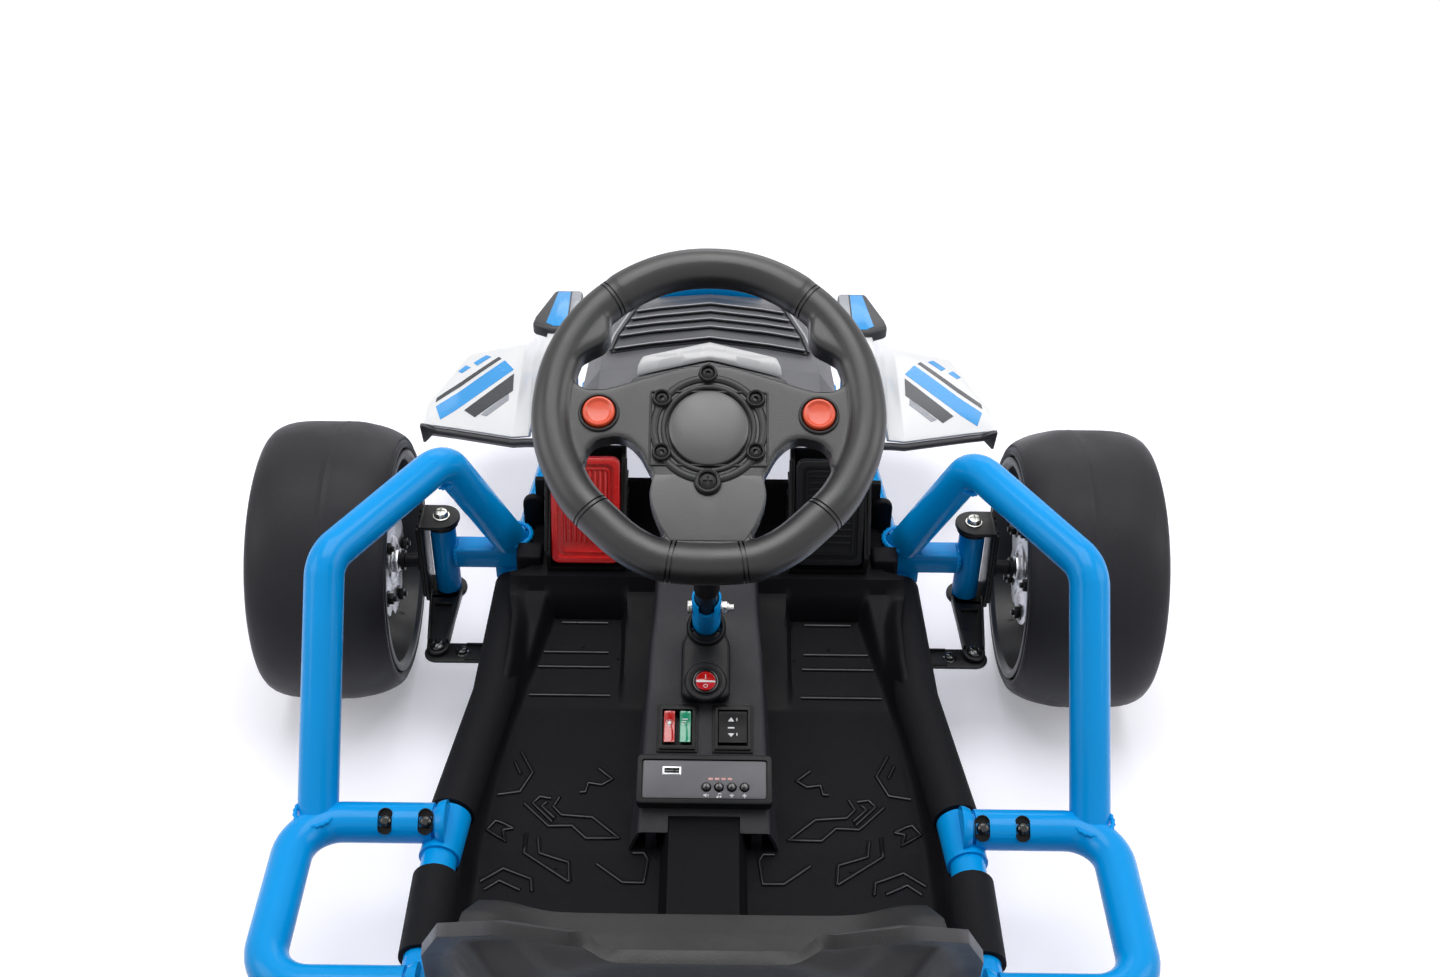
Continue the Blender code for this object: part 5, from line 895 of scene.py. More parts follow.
def model_pod():
    """Black pod on the console: a collar for the column and a raised ring for the power switch."""
    span = 0.032
    outline = arc((-0.0125, -0.0065), 0.008, 180, 270, 8) + arc((0.0125, -0.0065), 0.008, 270, 360,
        8) + arc((0, span), 0.0205, 0, 180, 24)
    frame = console_frame(0, 0.019, 0.0004)
    pod = plate(outline, 0.0, 0.013, frame, 0.0032, 4)
    collar_y = 0.077 - 0.0165
    ring = turned([(0.0128, -0.013), (0.0168, -0.013), (0.0168, 0.0035), (0.0156, 0.006), (0.014, 0.0066),
        (0.0128, 0.0055)], shift_by(0, collar_y, console_z(collar_y) + 0.0145) @ spin_by(31.5, "X"), 64,
        0.0005)
    pod = cut(pod, disc(0.0128, -0.06, 0.09, column_frame(0.0)), disc(0.0107, -0.01, 0.03, frame))
    seat = turned([(0.0108, 0.011), (0.0176, 0.011), (0.0178, 0.0134), (0.0166, 0.015), (0.0138, 0.0152),
        (0.0112, 0.014)], frame, 72, 0.0003)
    dressed(joined(pod, ring, seat), "column_pod", SATIN, nodes=("column_boot",))
    top = console_frame(0, 0.019, 0.0138)
    bezel = turned([(0.0093, -0.004), (0.0109, -0.004), (0.0109, 0.0012), (0.0104, 0.0018),
        (0.0096, 0.0018), (0.009, 0.0006)], top, 72, 0.0002)
    dressed(bezel, "power_ring", GLOSS, ("power_bezel",))
    side_on = Matrix(((0, 0, 1, 0), (1, 0, 0, 0), (0, 1, 0, 0), (0, 0, 0, 1)))
    rocker = disc(0.0084, -0.0026, 0.006, top, 64)
    above = [(-0.012, 0.003), (0.0, 0.0006), (0.012, 0.003), (0.012, 0.012), (-0.012, 0.012)]
    rocker = cut(rocker, plate(above, -0.02, 0.02, top @ side_on))
    rocker = softened(rocker, 0.0005, 2, 8)
    dressed(rocker, "round_power_rocker", RED_LENS, ("power_rocker",), body="power_rocker")
    slope = math.atan(0.0024 / 0.012)
    marks = [block((-0.008, -0.0008, 0.0006), (0.008, 0.0008, 0.0011), top, 0.0002)]
    upper = top @ Matrix.Rotation(slope, 4, "X") @ shift_by(0, 0.0, 0.0007)
    lower = top @ Matrix.Rotation(-slope, 4, "X") @ shift_by(0, 0.0, 0.0007)
    marks += [block((-0.0003, 0.0026, 0), (0.0003, 0.0062, 0.0002), upper, 0),
        turned([(0.0014, 0), (0.0019, 0), (0.0019, 0.0002), (0.0014, 0.0002)],
        lower @ shift_by(0, -0.0046, 0), 32)]
    dressed(joined(*marks), "power_marks", PRINT, body="power_rocker")


def switch_plate(name, side, node):
    frame_at = console_frame(side * 0.023, -0.015, 0.0004)
    base = plate(rounded(0.017, 0.0212, 0.0012, 3), 0.0, 0.0014, frame_at, 0.0004)
    face = plate(rounded(0.0152, 0.0194, 0.001, 3), 0.0012, 0.0034, frame_at, 0.0006)
    body = joined(base, face)
    window = block((-0.0125, -0.016, -0.012), (0.0125, 0.016, 0.02), frame_at, 0)
    body = cut(body, window)
    case = cut(block((-0.0131, -0.0166, -0.01), (0.0131, 0.0166, 0.0008), frame_at, 0),
        block((-0.0125, -0.016, -0.0088), (0.0125, 0.016, 0.02), frame_at, 0))
    dressed(joined(body, case), name, SATIN, (node,))


def rocker_shape(x, half_w, edge=0.0006):
    """A rocker with two dished slopes and a rounded back."""
    frame_at = console_frame(x, -0.015, 0.0024)
    half_l = 0.0138
    upper = [(half_l * share, 0.0007 + 0.0022 * share ** 1.6) for share in (1, 0.8, 0.6, 0.4, 0.2, 0)]
    outline = [(-u, v) for u, v in upper] + [(u, v) for u, v in reversed(upper[:-1])] + [(half_l * 0.98,
        0.0008), (half_l * 0.7, -0.0045), (0, -0.0065), (-half_l * 0.7, -0.0045), (-half_l * 0.98, 0.0008)]
    side_on = Matrix(((0, 0, 1, 0), (1, 0, 0, 0), (0, 1, 0, 0), (0, 0, 0, 1)))
    return (plate(outline, -half_w, half_w, frame_at @ side_on, edge, 2, 40), frame_at)


def model_rockers():
    """Red and green lens rockers, and the black one with its arrows."""
    switch_plate("twin_switch_plate", -1, "rocker_bezel")
    switch_plate("direction_switch_plate", 1, "direction_bezel")
    red, red_at = rocker_shape(-0.023 - 0.0066, 0.0046)
    dressed(red, "red_lens_rocker", RED_LENS, ("light_rocker",), body="light_rocker")
    bulb = [disc(0.0016, 0.0014, 0.0017, red_at @ shift_by(0, 0.0036, 0), 24),
        block((-0.0007, 0.0008, 0.0008), (0.0007, 0.0022, 0.0012), red_at, 0)]
    for angle in (-60, -30, 0, 30, 60):
        ray = red_at @ shift_by(0, 0.0036, 0) @ spin_by(angle, "Z")
        bulb.append(block((-0.00018, 0.0022, 0.0014), (0.00018, 0.003, 0.0018), ray, 0))
    dressed(joined(*bulb), "lamp_mark", PRINT, body="light_rocker")
    green, green_at = rocker_shape(-0.023 + 0.0066, 0.0046)
    dressed(green, "green_lens_rocker", GREEN_LENS, ("speed_rocker",), body="speed_rocker")
    bars = [block((-0.0026, 0.0022 + 0.0021 * n, 0.0008 + 0.00035 * n),
        (-0.0026 + 0.0016 * (n + 1), 0.003 + 0.0021 * n, 0.0013 + 0.00035 * n), green_at, 0)
        for n in range(3)]
    dressed(joined(*bars), "speed_marks", PRINT, body="speed_rocker")
    black, black_at = rocker_shape(0.023, 0.0118)
    dressed(black, "direction_lens_rocker", SATIN, ("direction_rocker",),
        body="direction_rocker")
    slope = math.atan(0.0013 / 0.0085)
    marks = []
    for turn in (1, -1):
        at = black_at @ Matrix.Rotation(turn * slope, 4, "X") @ shift_by(-0.0015, turn * 0.0068, 0.0008)
        points = [(-0.0026, -0.0013 * turn), (0.0026, -0.0013 * turn), (0.0, 0.0022 * turn)]
        marks += [plate(points, 0.0, 0.0004, at), block((0.0044, -0.001, 0), (0.0052, 0.0016, 0.0004), at,
            0)]
    marks.append(block((-0.0042, -0.0006, 0.0006), (0.0012, 0.0006, 0.0011), black_at, 0))
    dressed(joined(*marks), "direction_marks", PRINT, body="direction_rocker")


def icon(kind, at):
    """Small generic marks under the sound buttons."""
    if kind == "sound":
        cone = plate([(-0.0022, -0.0006), (-0.0012, -0.0006), (0.0002, -0.0016), (0.0002, 0.0016),
            (-0.0012, 0.0006), (-0.0022, 0.0006)], 0, 0.0002, at)
        return [cone] + [block((0.0008 + 0.0008 * n, -0.0007 - 0.0004 * n, 0),
            (0.0011 + 0.0008 * n, 0.0007 + 0.0004 * n, 0.0002), at, 0) for n in range(2)]
    if kind == "note":
        return [disc(0.0008, 0, 0.0002, at @ shift_by(-0.0012, -0.0014, 0), 16),
            disc(0.0008, 0, 0.0002, at @ shift_by(0.0012, -0.0011, 0), 16),
            block((-0.0007, -0.0014, 0), (-0.0004, 0.0016, 0.0002), at, 0),
            block((0.0017, -0.0011, 0), (0.002, 0.0019, 0.0002), at, 0),
            plate([(-0.0007, 0.0011), (0.002, 0.0014), (0.002, 0.002), (-0.0007, 0.0017)], 0, 0.0002, at)]
    down = -1 if kind == "down" else 1
    return [plate([(-0.002, -0.0005 * down), (0.002, -0.0005 * down), (0, 0.0017 * down)], 0, 0.0002, at),
        block((-0.0004, -0.0018, 0), (0.0004, 0.0014, 0.0002), at, 0)]


def model_sound_panel():
    """Black box with a grey face, a USB socket and four buttons."""
    frame_at = console_frame(0, -0.06, 0.0004)
    box = plate(rounded(0.055, 0.021, 0.004, 8), 0.0, 0.012, frame_at, 0.0012, 3)
    pocket = plate(rounded(0.0508, 0.0168, 0.0022, 6), 0.0098, 0.02, frame_at)
    slot = block((-0.0265 - 0.0075, 0.0035, 0.001), (-0.0265 + 0.0075, 0.0105, 0.03), frame_at, 0)
    box = cut(box, pocket, slot)
    for x in (0.0015, 0.0118, 0.0221, 0.0324):
        box = cut(box, disc(0.0042, 0.003, 0.03, frame_at @ shift_by(x, -0.0065, 0), 32))
    dressed(box, "sound_box", SATIN, nodes=("media_box",))
    face = plate(rounded(0.05, 0.016, 0.0018, 6), 0.0099, 0.0112, frame_at, 0.0005)
    face = cut(face, block((-0.0265 - 0.0074, 0.0036, 0.001), (-0.0265 + 0.0074, 0.0104, 0.03), frame_at,
        0))
    for x in (0.0015, 0.0118, 0.0221, 0.0324):
        face = cut(face, disc(0.0041, 0.003, 0.03, frame_at @ shift_by(x, -0.0065, 0), 32))
    dressed(face, "sound_face", LIGHT_GREY)
    mouth = frame_at @ shift_by(-0.0265, 0.007, 0)
    tube = cut(plate(rounded(0.0071, 0.0031, 0.0004, 2), 0.0014, 0.0122, mouth, 0.0002),
        plate(rounded(0.0062, 0.0022, 0.0002, 2), 0.004, 0.02, mouth))
    flange = cut(plate(rounded(0.0076, 0.0036, 0.0006, 3), 0.0112, 0.0116, mouth, 0.0002),
        plate(rounded(0.007, 0.003, 0.0004, 2), 0.0, 0.02, mouth))
    dressed(joined(tube, flange), "usb_shell", BRUSHED, ("usb_port",))
    tongue = block((-0.0056, -0.0006, 0.003), (0.0056, 0.0008, 0.0112), mouth, 0.0002)
    dressed(tongue, "usb_tongue", GLOSS)
    marks = []
    for number, (x, kind) in enumerate(zip((0.0015, 0.0118, 0.0221, 0.0324),
            ("sound", "note", "down", "up")), 1):
        at = frame_at @ shift_by(x, -0.0065, 0)
        cap = turned([(0, 0.0075), (0.0034, 0.0075), (0.0034, 0.0126), (0.0026, 0.0135), (0, 0.0138)], at,
            40, 0.0003)
        dressed(cap, "sound_button_%d" % number, GLOSS, ("music_button_%d" % number,),
            body="music_button_%d" % number)
        marks += icon(kind, frame_at @ shift_by(x, -0.0134, 0.0112))
    dressed(joined(*marks), "sound_marks", PRINT)
    lights = [plate(rounded(0.0018, 0.0009, 0.0002, 2), 0.0, 0.0003,
        frame_at @ shift_by(0.005 + 0.0052 * n, 0.0005, 0.0112), 0) for n in range(4)]
    dressed(joined(*lights), "charge_lights", PALE_RED)


PALE_RED = finish("charge_light_window", (0.62, 0.3, 0.3), 0.3, grain=(900, 0.1), mottle=(60, 0.1))


# Steering wheel and column

RING_LOOK = finish("hub_ring_moulding", (0.02, 0.02, 0.021), 0.3, grain=(1500, 0.3), mottle=(40, 0.15),
    specular=0.3)

GRIP_HALF = [(0.0, 0.1122), (0.025, 0.1091), (0.0483, 0.0989), (0.069, 0.0825), (0.0836, 0.0628),
    (0.093, 0.04), (0.0965, 0.0145), (0.0945, -0.006), (0.0885, -0.024), (0.0785, -0.0425),
    (0.0646, -0.0572), (0.048, -0.072), (0.03, -0.0815), (0.015, -0.084), (0.0, -0.0845)]
SPOKE_HALF = [(0.0, 0.043), (0.015, 0.0415), (0.03, 0.037), (0.043, 0.033), (0.061, 0.027), (0.0726, 0.026),
    (0.08, 0.0285), (0.0845, 0.0345), (0.0835, 0.042), (0.0755, 0.049), (0.066, 0.0545), (0.0625, 0.061),
    (0.063, 0.074), (0.076, 0.074), (0.09, 0.045), (0.0965, 0.0145), (0.093, -0.01), (0.0885, -0.02),
    (0.076, -0.024), (0.0735, -0.015), (0.068, -0.0085), (0.057, -0.006), (0.049, -0.008), (0.042, -0.015),
    (0.037, -0.024), (0.0335, -0.0315), (0.035, -0.04), (0.034, -0.049), (0.029, -0.062), (0.0225, -0.074),
    (0.022, -0.083), (0.0, -0.085)]
GRIP_SEAMS = [(0.0618, 0.0893, 38, 0.0132), (0.0705, -0.053, 132, 0.0128), (0.0215, -0.0832, 170, 0.0128)]


def both_halves(points):
    """A closed outline from its right half, given from the top down."""
    return points + [(-x, y) for x, y in reversed(points) if x > 0]


def rounded_loop(points, per_span=5):
    """A smooth closed curve through the points."""
    out, count = [], len(points)
    for n in range(count):
        a, b, c, d = (Vector(points[(n + k) % count]) for k in (-1, 0, 1, 2))
        for step in range(per_span):
            t = step / per_span
            out.append(0.5 * (2 * b + (c - a) * t + (2 * a - 5 * b + 4 * c - d) * t * t
                + (3 * b - a - 3 * c + d) * t ** 3))
    return [tuple(point) for point in out]


def model_wheel_body():
    """Grip, spokes and hub blended into one moulding, with grooves round the grip."""
    frame_at = column_frame(HUB_AT)
    loop = [(x, y, 0.0) for x, y in rounded_loop(both_halves(GRIP_HALF))]
    grip = pipe(loop, 0.0126, 0, 7, closed=True)
    top = [point for point in loop if point[1] > 0.0915]
    top.sort(key=lambda point: point[0])
    sleeve = pipe([(x, y, 0.0003) for x, y, _ in top], 0.013, 0)
    rest = [(0.0612, 0.061), (0.0622, 0.074), (0.069, 0.0825), (0.0836, 0.0628), (0.093, 0.04),
        (0.088, 0.035), (0.0835, 0.042), (0.0755, 0.05), (0.0655, 0.0555)]
    thumbs = [plate(mirrored(rest, side), -0.0105, 0.0103, None, 0.0052, 4) for side in (-1, 1)]
    spokes = plate(rounded_loop(both_halves(SPOKE_HALF), 3), -0.0085, 0.0062)
    hub = disc(0.036, -0.026, 0.0058, None, 64)
    boss = disc(0.0155, -0.052, -0.02)
    wheel = melted(joined(grip, sleeve, spokes, hub, boss, *thumbs), 0.00135, 14)
    cap_seat = disc(0.0256, 0.0032, 0.03, None, 72)
    shaft_seat = disc(0.01, -0.08, -0.0296, None, 40)
    wheel = cut(wheel, cap_seat, shaft_seat, solver="MANIFOLD")
    for side in (-1, 1):
        wheel = cut(wheel, disc(0.0104, -0.005, 0.03, shift_by(side * 0.067, 0.0095, 0)), solver="MANIFOLD")
        for x, y, angle, radius in GRIP_SEAMS:
            for shift in (-0.0013, 0.0013):
                at = shift_by(side * x, y, 0) @ spin_by(-side * angle, "Z") @ spin_by(90, "Y")
                washer = turned([(radius - 0.002, shift - 0.0005), (0.02, shift - 0.0005),
                    (0.02, shift + 0.0005), (radius - 0.002, shift + 0.0005)], at, 48)
                wheel = cut(wheel, washer, solver="MANIFOLD")
    dressed(smooth(moved(wheel, frame_at), 40), "wheel_moulding", WHEEL_LOOK, nodes=("steering_wheel",),
        body="steering")


def model_wheel_hub():
    """Raised ring, square lip, screws and bosses round the middle cap."""
    frame_at = column_frame(HUB_AT)
    parts = [turned([(0.0258, 0.005), (0.0258, 0.007), (0.0268, 0.0078), (0.0284, 0.0078), (0.0292, 0.0068),
        (0.0292, 0.005)], frame_at, 96, 0.0004),
        turned([(0.0303, 0.005), (0.0308, 0.007), (0.0322, 0.0079), (0.0344, 0.0079), (0.0356, 0.007),
        (0.0362, 0.005)], frame_at, 96, 0.0006)]
    lip = cut(plate(rounded(0.0362, 0.0247, 0.0016, 4), 0.0052, 0.0073, frame_at),
        plate(rounded(0.0349, 0.0234, 0.001, 4), 0.0, 0.02, frame_at))
    parts.append(softened(lip, 0.0004))
    screws = []
    for x, y, radius in ((-0.0287, 0.0188, 0.0056), (0.0284, 0.0192, 0.0056), (-0.0283, -0.0165, 0.0056),
            (0.0284, -0.0155, 0.0056), (-0.0008, 0.0358, 0.0056), (-0.0002, -0.035, 0.0078)):
        at = frame_at @ shift_by(x, y, 0)
        wall = 0.0015 if radius < 0.006 else 0.0022
        parts.append(turned([(radius - wall, 0.005), (radius + 0.0006, 0.005), (radius, 0.0098),
            (radius - wall * 0.4, 0.0106), (radius - wall, 0.0098)], at, 40, 0.0003))
        head = turned([(0, 0.005), (radius - wall - 0.0003, 0.005), (radius - wall - 0.0003, 0.0086),
            (0, 0.0092)], at, 32, 0.0003)
        if radius < 0.006:
            head = cut(head, plate(arc((0, 0), 0.0019, 0, 300, 5), 0.0072, 0.02, at))
        else:
            head = cut(head, block((-0.003, -0.0007, 0.0076), (0.003, 0.0007, 0.02), at, 0),
                block((-0.0007, -0.003, 0.0076), (0.0007, 0.003, 0.02), at, 0))
        screws.append(head)
    for side in (-1, 1):
        at = frame_at @ shift_by(side * 0.067, 0.0095, 0)
        parts.append(turned([(0.0105, 0.004), (0.0128, 0.005), (0.0124, 0.0078), (0.0113, 0.0082),
            (0.0105, 0.0072)], at, 64, 0.0003))
    dressed(joined(*parts), "hub_ring_and_bosses", RING_LOOK, body="steering")
    dressed(joined(*screws), "hub_screws", BLACK_STEEL, body="steering")
    fan = [(0.0, -0.03), (0.0325, -0.03), (0.0342, -0.037), (0.0344, -0.044), (0.0328, -0.051),
        (0.0282, -0.062), (0.0222, -0.0722), (0.0, -0.0722)]
    insert = plate(both_halves(fan), 0.004, 0.007, frame_at, 0.001, 3)
    insert = cut(insert, disc(0.0366, -0.01, 0.03, frame_at, 96),
        disc(0.009, -0.01, 0.03, frame_at @ shift_by(0, -0.035, 0)))
    dressed(insert, "lower_spoke_cover", FAN, body="steering")
    cap = turned([(0, 0.0044), (0.0245, 0.0044), (0.0246, 0.007), (0.024, 0.0084), (0.0215, 0.0095),
        (0.015, 0.0107), (0.008, 0.0113), (0, 0.0115)], frame_at, 96, 0.0003)
    dressed(cap, "middle_cap", CAP, nodes=("hub_cap",), body="steering")
    for side in (-1, 1):
        at = frame_at @ shift_by(side * 0.067, 0.0095, 0)
        button = turned([(0, -0.0012), (0.0099, -0.0012), (0.0099, 0.0086), (0.0094, 0.0096),
            (0.0084, 0.0099), (0.0074, 0.0092), (0.0066, 0.0086), (0, 0.0082)], at, 64, 0.0002)
        dressed(button, "thumb_button_" + side_name(side), ORANGE,
            ("wheel_button_" + side_name(side),), body="wheel_button_" + side_name(side))


def model_column():
    """Blue column with its open notched top, drop arm and pin, the shaft inside it and the cross bolt."""
    frame_at = column_frame(0.0)
    tube = turned([(0, -0.0489), (0.0114, -0.0489), (0.012, -0.0483), (0.012, 0.0934), (0.0116, 0.094),
        (0.0103, 0.094), (0.01, 0.0934), (0.01, 0.042), (0, 0.042)], frame_at)
    notch = arc((0, 0.084), 0.0064, 180, 360, 20) + [(0.0064, 0.11), (-0.0064, 0.11)]
    facing = frame_at @ Matrix(((1, 0, 0, 0), (0, 0, -1, 0), (0, 1, 0, 0), (0, 0, 0, 1)))
    tube = cut(tube, plate(notch, 0.0, 0.03, facing),
        disc(0.0034, -0.03, 0.03, frame_at @ shift_by(0, 0, 0.066) @ spin_by(90, "Y"), 32))
    arm = plate(arc((0, 0), 0.011, 0, 180, 16) + arc((0, -0.0519), 0.008, 180, 360, 16), -0.0489, -0.044,
        frame_at, 0.001, 3)
    pin = disc(0.003, -0.074, -0.045, frame_at @ shift_by(0, -0.0519, 0), 32, 0.0006)
    seam = moved(turned(arc((0.0122, 0), 0.002, 0, 324, 9)), frame_at @ shift_by(0, 0, -0.043))
    dressed(joined(tube, arm, pin, seam), "column_tube", BLUE, ("steering_column",),
        body="steering")
    shaft = turned([(0, 0.0462), (0.009, 0.0462), (0.0095, 0.0468), (0.0095, 0.118), (0.0104, 0.12),
        (0.0104, 0.124), (0.0095, 0.126), (0.0095, 0.398), (0.0088, 0.4134), (0, 0.4134)], frame_at, 56)
    shaft = cut(shaft, disc(0.0034, -0.03, 0.03, frame_at @ shift_by(0, 0, 0.066) @ spin_by(90, "Y"), 32))
    dressed(shaft, "wheel_shaft", SATIN, nodes=("steering_shaft",), body="steering")
    across = frame_at @ shift_by(0, 0, 0.066) @ spin_by(90, "Y")
    bolt = disc(0.003, -0.0155, 0.0225, across, 32, 0.0004)
    head = plate(arc((0, 0), 0.0056, 0, 300, 5), -0.0158, -0.0124, across, 0.0006)
    washers = [disc(0.0062, 0.0122, 0.013, across, 32, 0.0002), disc(0.0062, -0.013, -0.0122, across, 32,
        0.0002)]
    nut = plate(arc((0, 0), 0.0056, 15, 315, 5), 0.013, 0.0172, across, 0.0006)
    ring = disc(0.0042, 0.017, 0.0186, across, 32, 0.0004)
    dressed(joined(bolt, head, nut, ring, *washers), "column_cross_bolt", ZINC, ("column_bolt",),
        body="steering")


FAN = finish("lower_spoke_moulding", (0.07, 0.069, 0.072), 0.4, grain=(1500, 0.25), mottle=(40, 0.1),
    specular=0.6)
CAP = finish("middle_cap_moulding", (0.064, 0.063, 0.065), 0.38, grain=(1800, 0.2), mottle=(60, 0.1),
    specular=0.65)


# Pedals

def model_pedal(side, name, look):
    """Pedal plate with a raised rim and ribs, and its hinge pin."""
    x = side * 0.11
    at = shift_by(x, 0.176, 0.17) @ spin_by(68, "X")
    outline = rounded(0.031, 0.0495, 0.007, 6, (0, 0.0425))
    pad = plate(outline, 0.0, 0.009, at, 0.0016, 3)
    pad = cut(pad, plate(rounded(0.0256, 0.044, 0.0055, 6, (0, 0.0425)), 0.0056, 0.03, at))
    parts = [pad]
    frame_in = cut(plate(rounded(0.0225, 0.0405, 0.0045, 5, (0, 0.0425)), 0.005, 0.0072, at, 0.0005),
        plate(rounded(0.0205, 0.0385, 0.0035, 5, (0, 0.0425)), 0.0, 0.02, at))
    parts.append(frame_in)
    if side < 0:
        for n in range(9):
            rib_x = (n - 4) * 0.0046
            parts.append(block((rib_x - 0.001, 0.0125, 0.005), (rib_x + 0.001, 0.0795, 0.0078), at, 0.0005))
    else:
        for n in range(11):
            rib_y = 0.015 + n * 0.0062
            parts.append(block((-0.02, rib_y - 0.001, 0.005), (0.02, rib_y + 0.001, 0.0078), at, 0.0005))
    pin = disc(0.003, -0.0348, 0.0348, shift_by(x, 0.176, 0.17) @ spin_by(90, "Y"), 32, 0.0005)
    parts.append(pin)
    dressed(joined(*parts), name + "_pad", look, (name,), body=name)


def model_pedal_frame(side):
    """Surround that carries a pedal: base, cheeks with rounded shoulders, back and ribs."""
    x, half, cheek = side * 0.11, 0.0318, 0.004
    outline = [(0.167, 0.1564), (0.2345, 0.1564), (0.2345, 0.25), (0.224, 0.25), (0.218, 0.247),
        (0.168, 0.183), (0.1645, 0.1764)]
    surround = plate(outline, x - half - cheek, x + half + cheek, UPRIGHT, 0.0012)
    room = [(0.1, 0.1604), (0.2305, 0.1604), (0.2305, 0.3), (0.1, 0.3)]
    pin_room = disc(0.0034, x - half - cheek - 0.01, x + half + cheek + 0.01,
        Matrix(((0, 0, 1, 0), (1, 0, 0, 0.176), (0, 1, 0, 0.17), (0, 0, 0, 1))), 32)
    surround = cut(surround, plate(room, x - half, x + half, UPRIGHT), pin_room)
    parts = [surround]
    for edge in (-1, 1):
        bx = x + edge * (half + cheek + 0.0012)
        lip = [(0.166, 0.18), (0.2175, 0.2478), (0.2155, 0.2492), (0.1642, 0.1812)]
        parts.append(plate(lip, min(bx, bx - edge * 0.003), max(bx, bx - edge * 0.003), UPRIGHT, 0.0005))
        for n in range(3):
            z = 0.18 + n * 0.02
            parts.append(block((min(bx, bx - edge * 0.0022), 0.205, z),
                (max(bx, bx - edge * 0.0022), 0.2335, z + 0.0024), None, 0.0004))
    name = "pedal_frame_" + side_name(side)
    dressed(joined(*parts), "pedal_surround_" + side_name(side), SATIN, nodes=(name,))


# Steering knuckles and track rod

def model_knuckle(side):
    """Ribbed bracket round the kingpin tube, with its stub axle, collar, arm and bolts."""
    name = side_name(side)
    x, y, low, high = 0.2455, FRONT_AXLE_Y, 0.0937, 0.1798

    def blocked(a, b, edge=0.0008):
        xs = sorted((side * a[0], side * b[0]))
        return block((xs[0], a[1], a[2]), (xs[1], b[1], b[2]), None, edge)
    parts = [blocked((0.2615, y - 0.017, low), (0.2655, y + 0.017, high + 0.004), 0.0012)]
    tab = arc((0, 0), 0.017, 90, 270, 20) + [(0.0178, -0.017), (0.0178, 0.017)]
    for bottom in (low, high):
        at = shift_by(side * x, y, 0)
        lug = plate([(side * px, py) for px, py in tab], bottom, bottom + 0.004, at, 0.0009, 3)
        parts.append(cut(lug, disc(0.0054, 0, 0.3, shift_by(side * x, y, 0), 32)))
    for rib in (-0.0145, -0.0075, 0.0075, 0.0145):
        parts.append(blocked((0.2645, y + rib - 0.0013, low + 0.004), (0.2682, y + rib + 0.0013, high),
            0.0006))
    for z in (0.108, 0.152, 0.168):
        parts.append(blocked((0.2645, y - 0.015, z - 0.0012), (0.2676, y + 0.015, z + 0.0012), 0.0005))
    tip_y = 0.128
    arm = arc((x, tip_y), 0.01, 180, 360, 20) + [(0.2615, y - 0.013), (x - 0.013, y - 0.008)]
    floor_part = plate([(side * px, py) for px, py in arm], low, low + 0.004, None, 0.0008)
    parts.append(cut(floor_part, disc(0.0048, 0, 0.3, shift_by(side * x, tip_y, 0), 32)))
    for start, end in (((x - 0.0125, y - 0.01), (x - 0.0085, tip_y + 0.004)),
            ((0.2608, y - 0.01), (x + 0.0085, tip_y + 0.004))):
        wall = [(start[0] - 0.0013, start[1]), (start[0] + 0.0013, start[1]), (end[0] + 0.0013, end[1]),
            (end[0] - 0.0013, end[1])]
        parts.append(plate([(side * px, py) for px, py in wall], low + 0.001, low + 0.009, None, 0.0007))
    web = [(x - 0.006, y - 0.028), (x + 0.01, y - 0.028), (x + 0.01, y - 0.0255), (x - 0.006, y - 0.0255)]
    parts.append(plate([(side * px, py) for px, py in web], low + 0.001, low + 0.0075, None, 0.0005))
    out = Matrix(((0, 0, side, 0), (side, 0, 0, y), (0, 1, 0, WHEEL_R), (0, 0, 0, 1)))
    axle = turned([(0, 0.2645), (0.0105, 0.2645), (0.0105, 0.2715), (0.007, 0.2722), (0.007, 0.2835),
        (0.0095, 0.2841), (0.0095, 0.2872), (0.0088, 0.288), (0.006, 0.288), (0.006, 0.396),
        (0.0052, 0.397), (0, 0.397)], out, 48)
    collar = turned([(0.01, 0.265), (0.0145, 0.265), (0.0118, 0.27), (0.01, 0.2705)], out, 48, 0.0003)
    nut = plate(arc((0, 0), 0.011, 0, 300, 5), 0.388, 0.396, out, 0.0009)
    parts += [axle, collar, nut]
    dressed(joined(*parts), "knuckle_bracket_" + name, BLACK_STEEL, ("knuckle_" + name,),
        body="knuckle_" + name)
    at = shift_by(side * x, y, 0)
    washer = disc(0.0078, 0.1838, 0.185, at, 40, 0.0003)
    head = turned([(0, 0.185), (0.0066, 0.185), (0.0064, 0.1872), (0.0054, 0.1892), (0.0028, 0.1902),
        (0, 0.1904)], at, 40)
    head = cut(head, block((-0.004, -0.0008, 0.1878), (0.004, 0.0008, 0.2), at, 0),
        block((-0.0008, -0.004, 0.1878), (0.0008, 0.004, 0.2), at, 0))
    shank = disc(0.005, 0.0858, 0.1845, at, 32)
    nut = plate(arc((0, 0), 0.0082, 0, 300, 5), 0.0868, 0.0933, at, 0.0007)
    dressed(joined(washer, head, shank, nut), "kingpin_bolt_" + name, ZINC, ("kingpin_" + name,),
        body="knuckle_" + name)
    clip = turned([(0.0112, 0.0), (0.015, 0.0), (0.014, 0.003), (0.0112, 0.0034)],
        shift_by(side * 0.2455, y, 0.1752), 40, 0.0004)
    dressed(clip, "kingpin_bush_" + name, BLACK_STEEL)


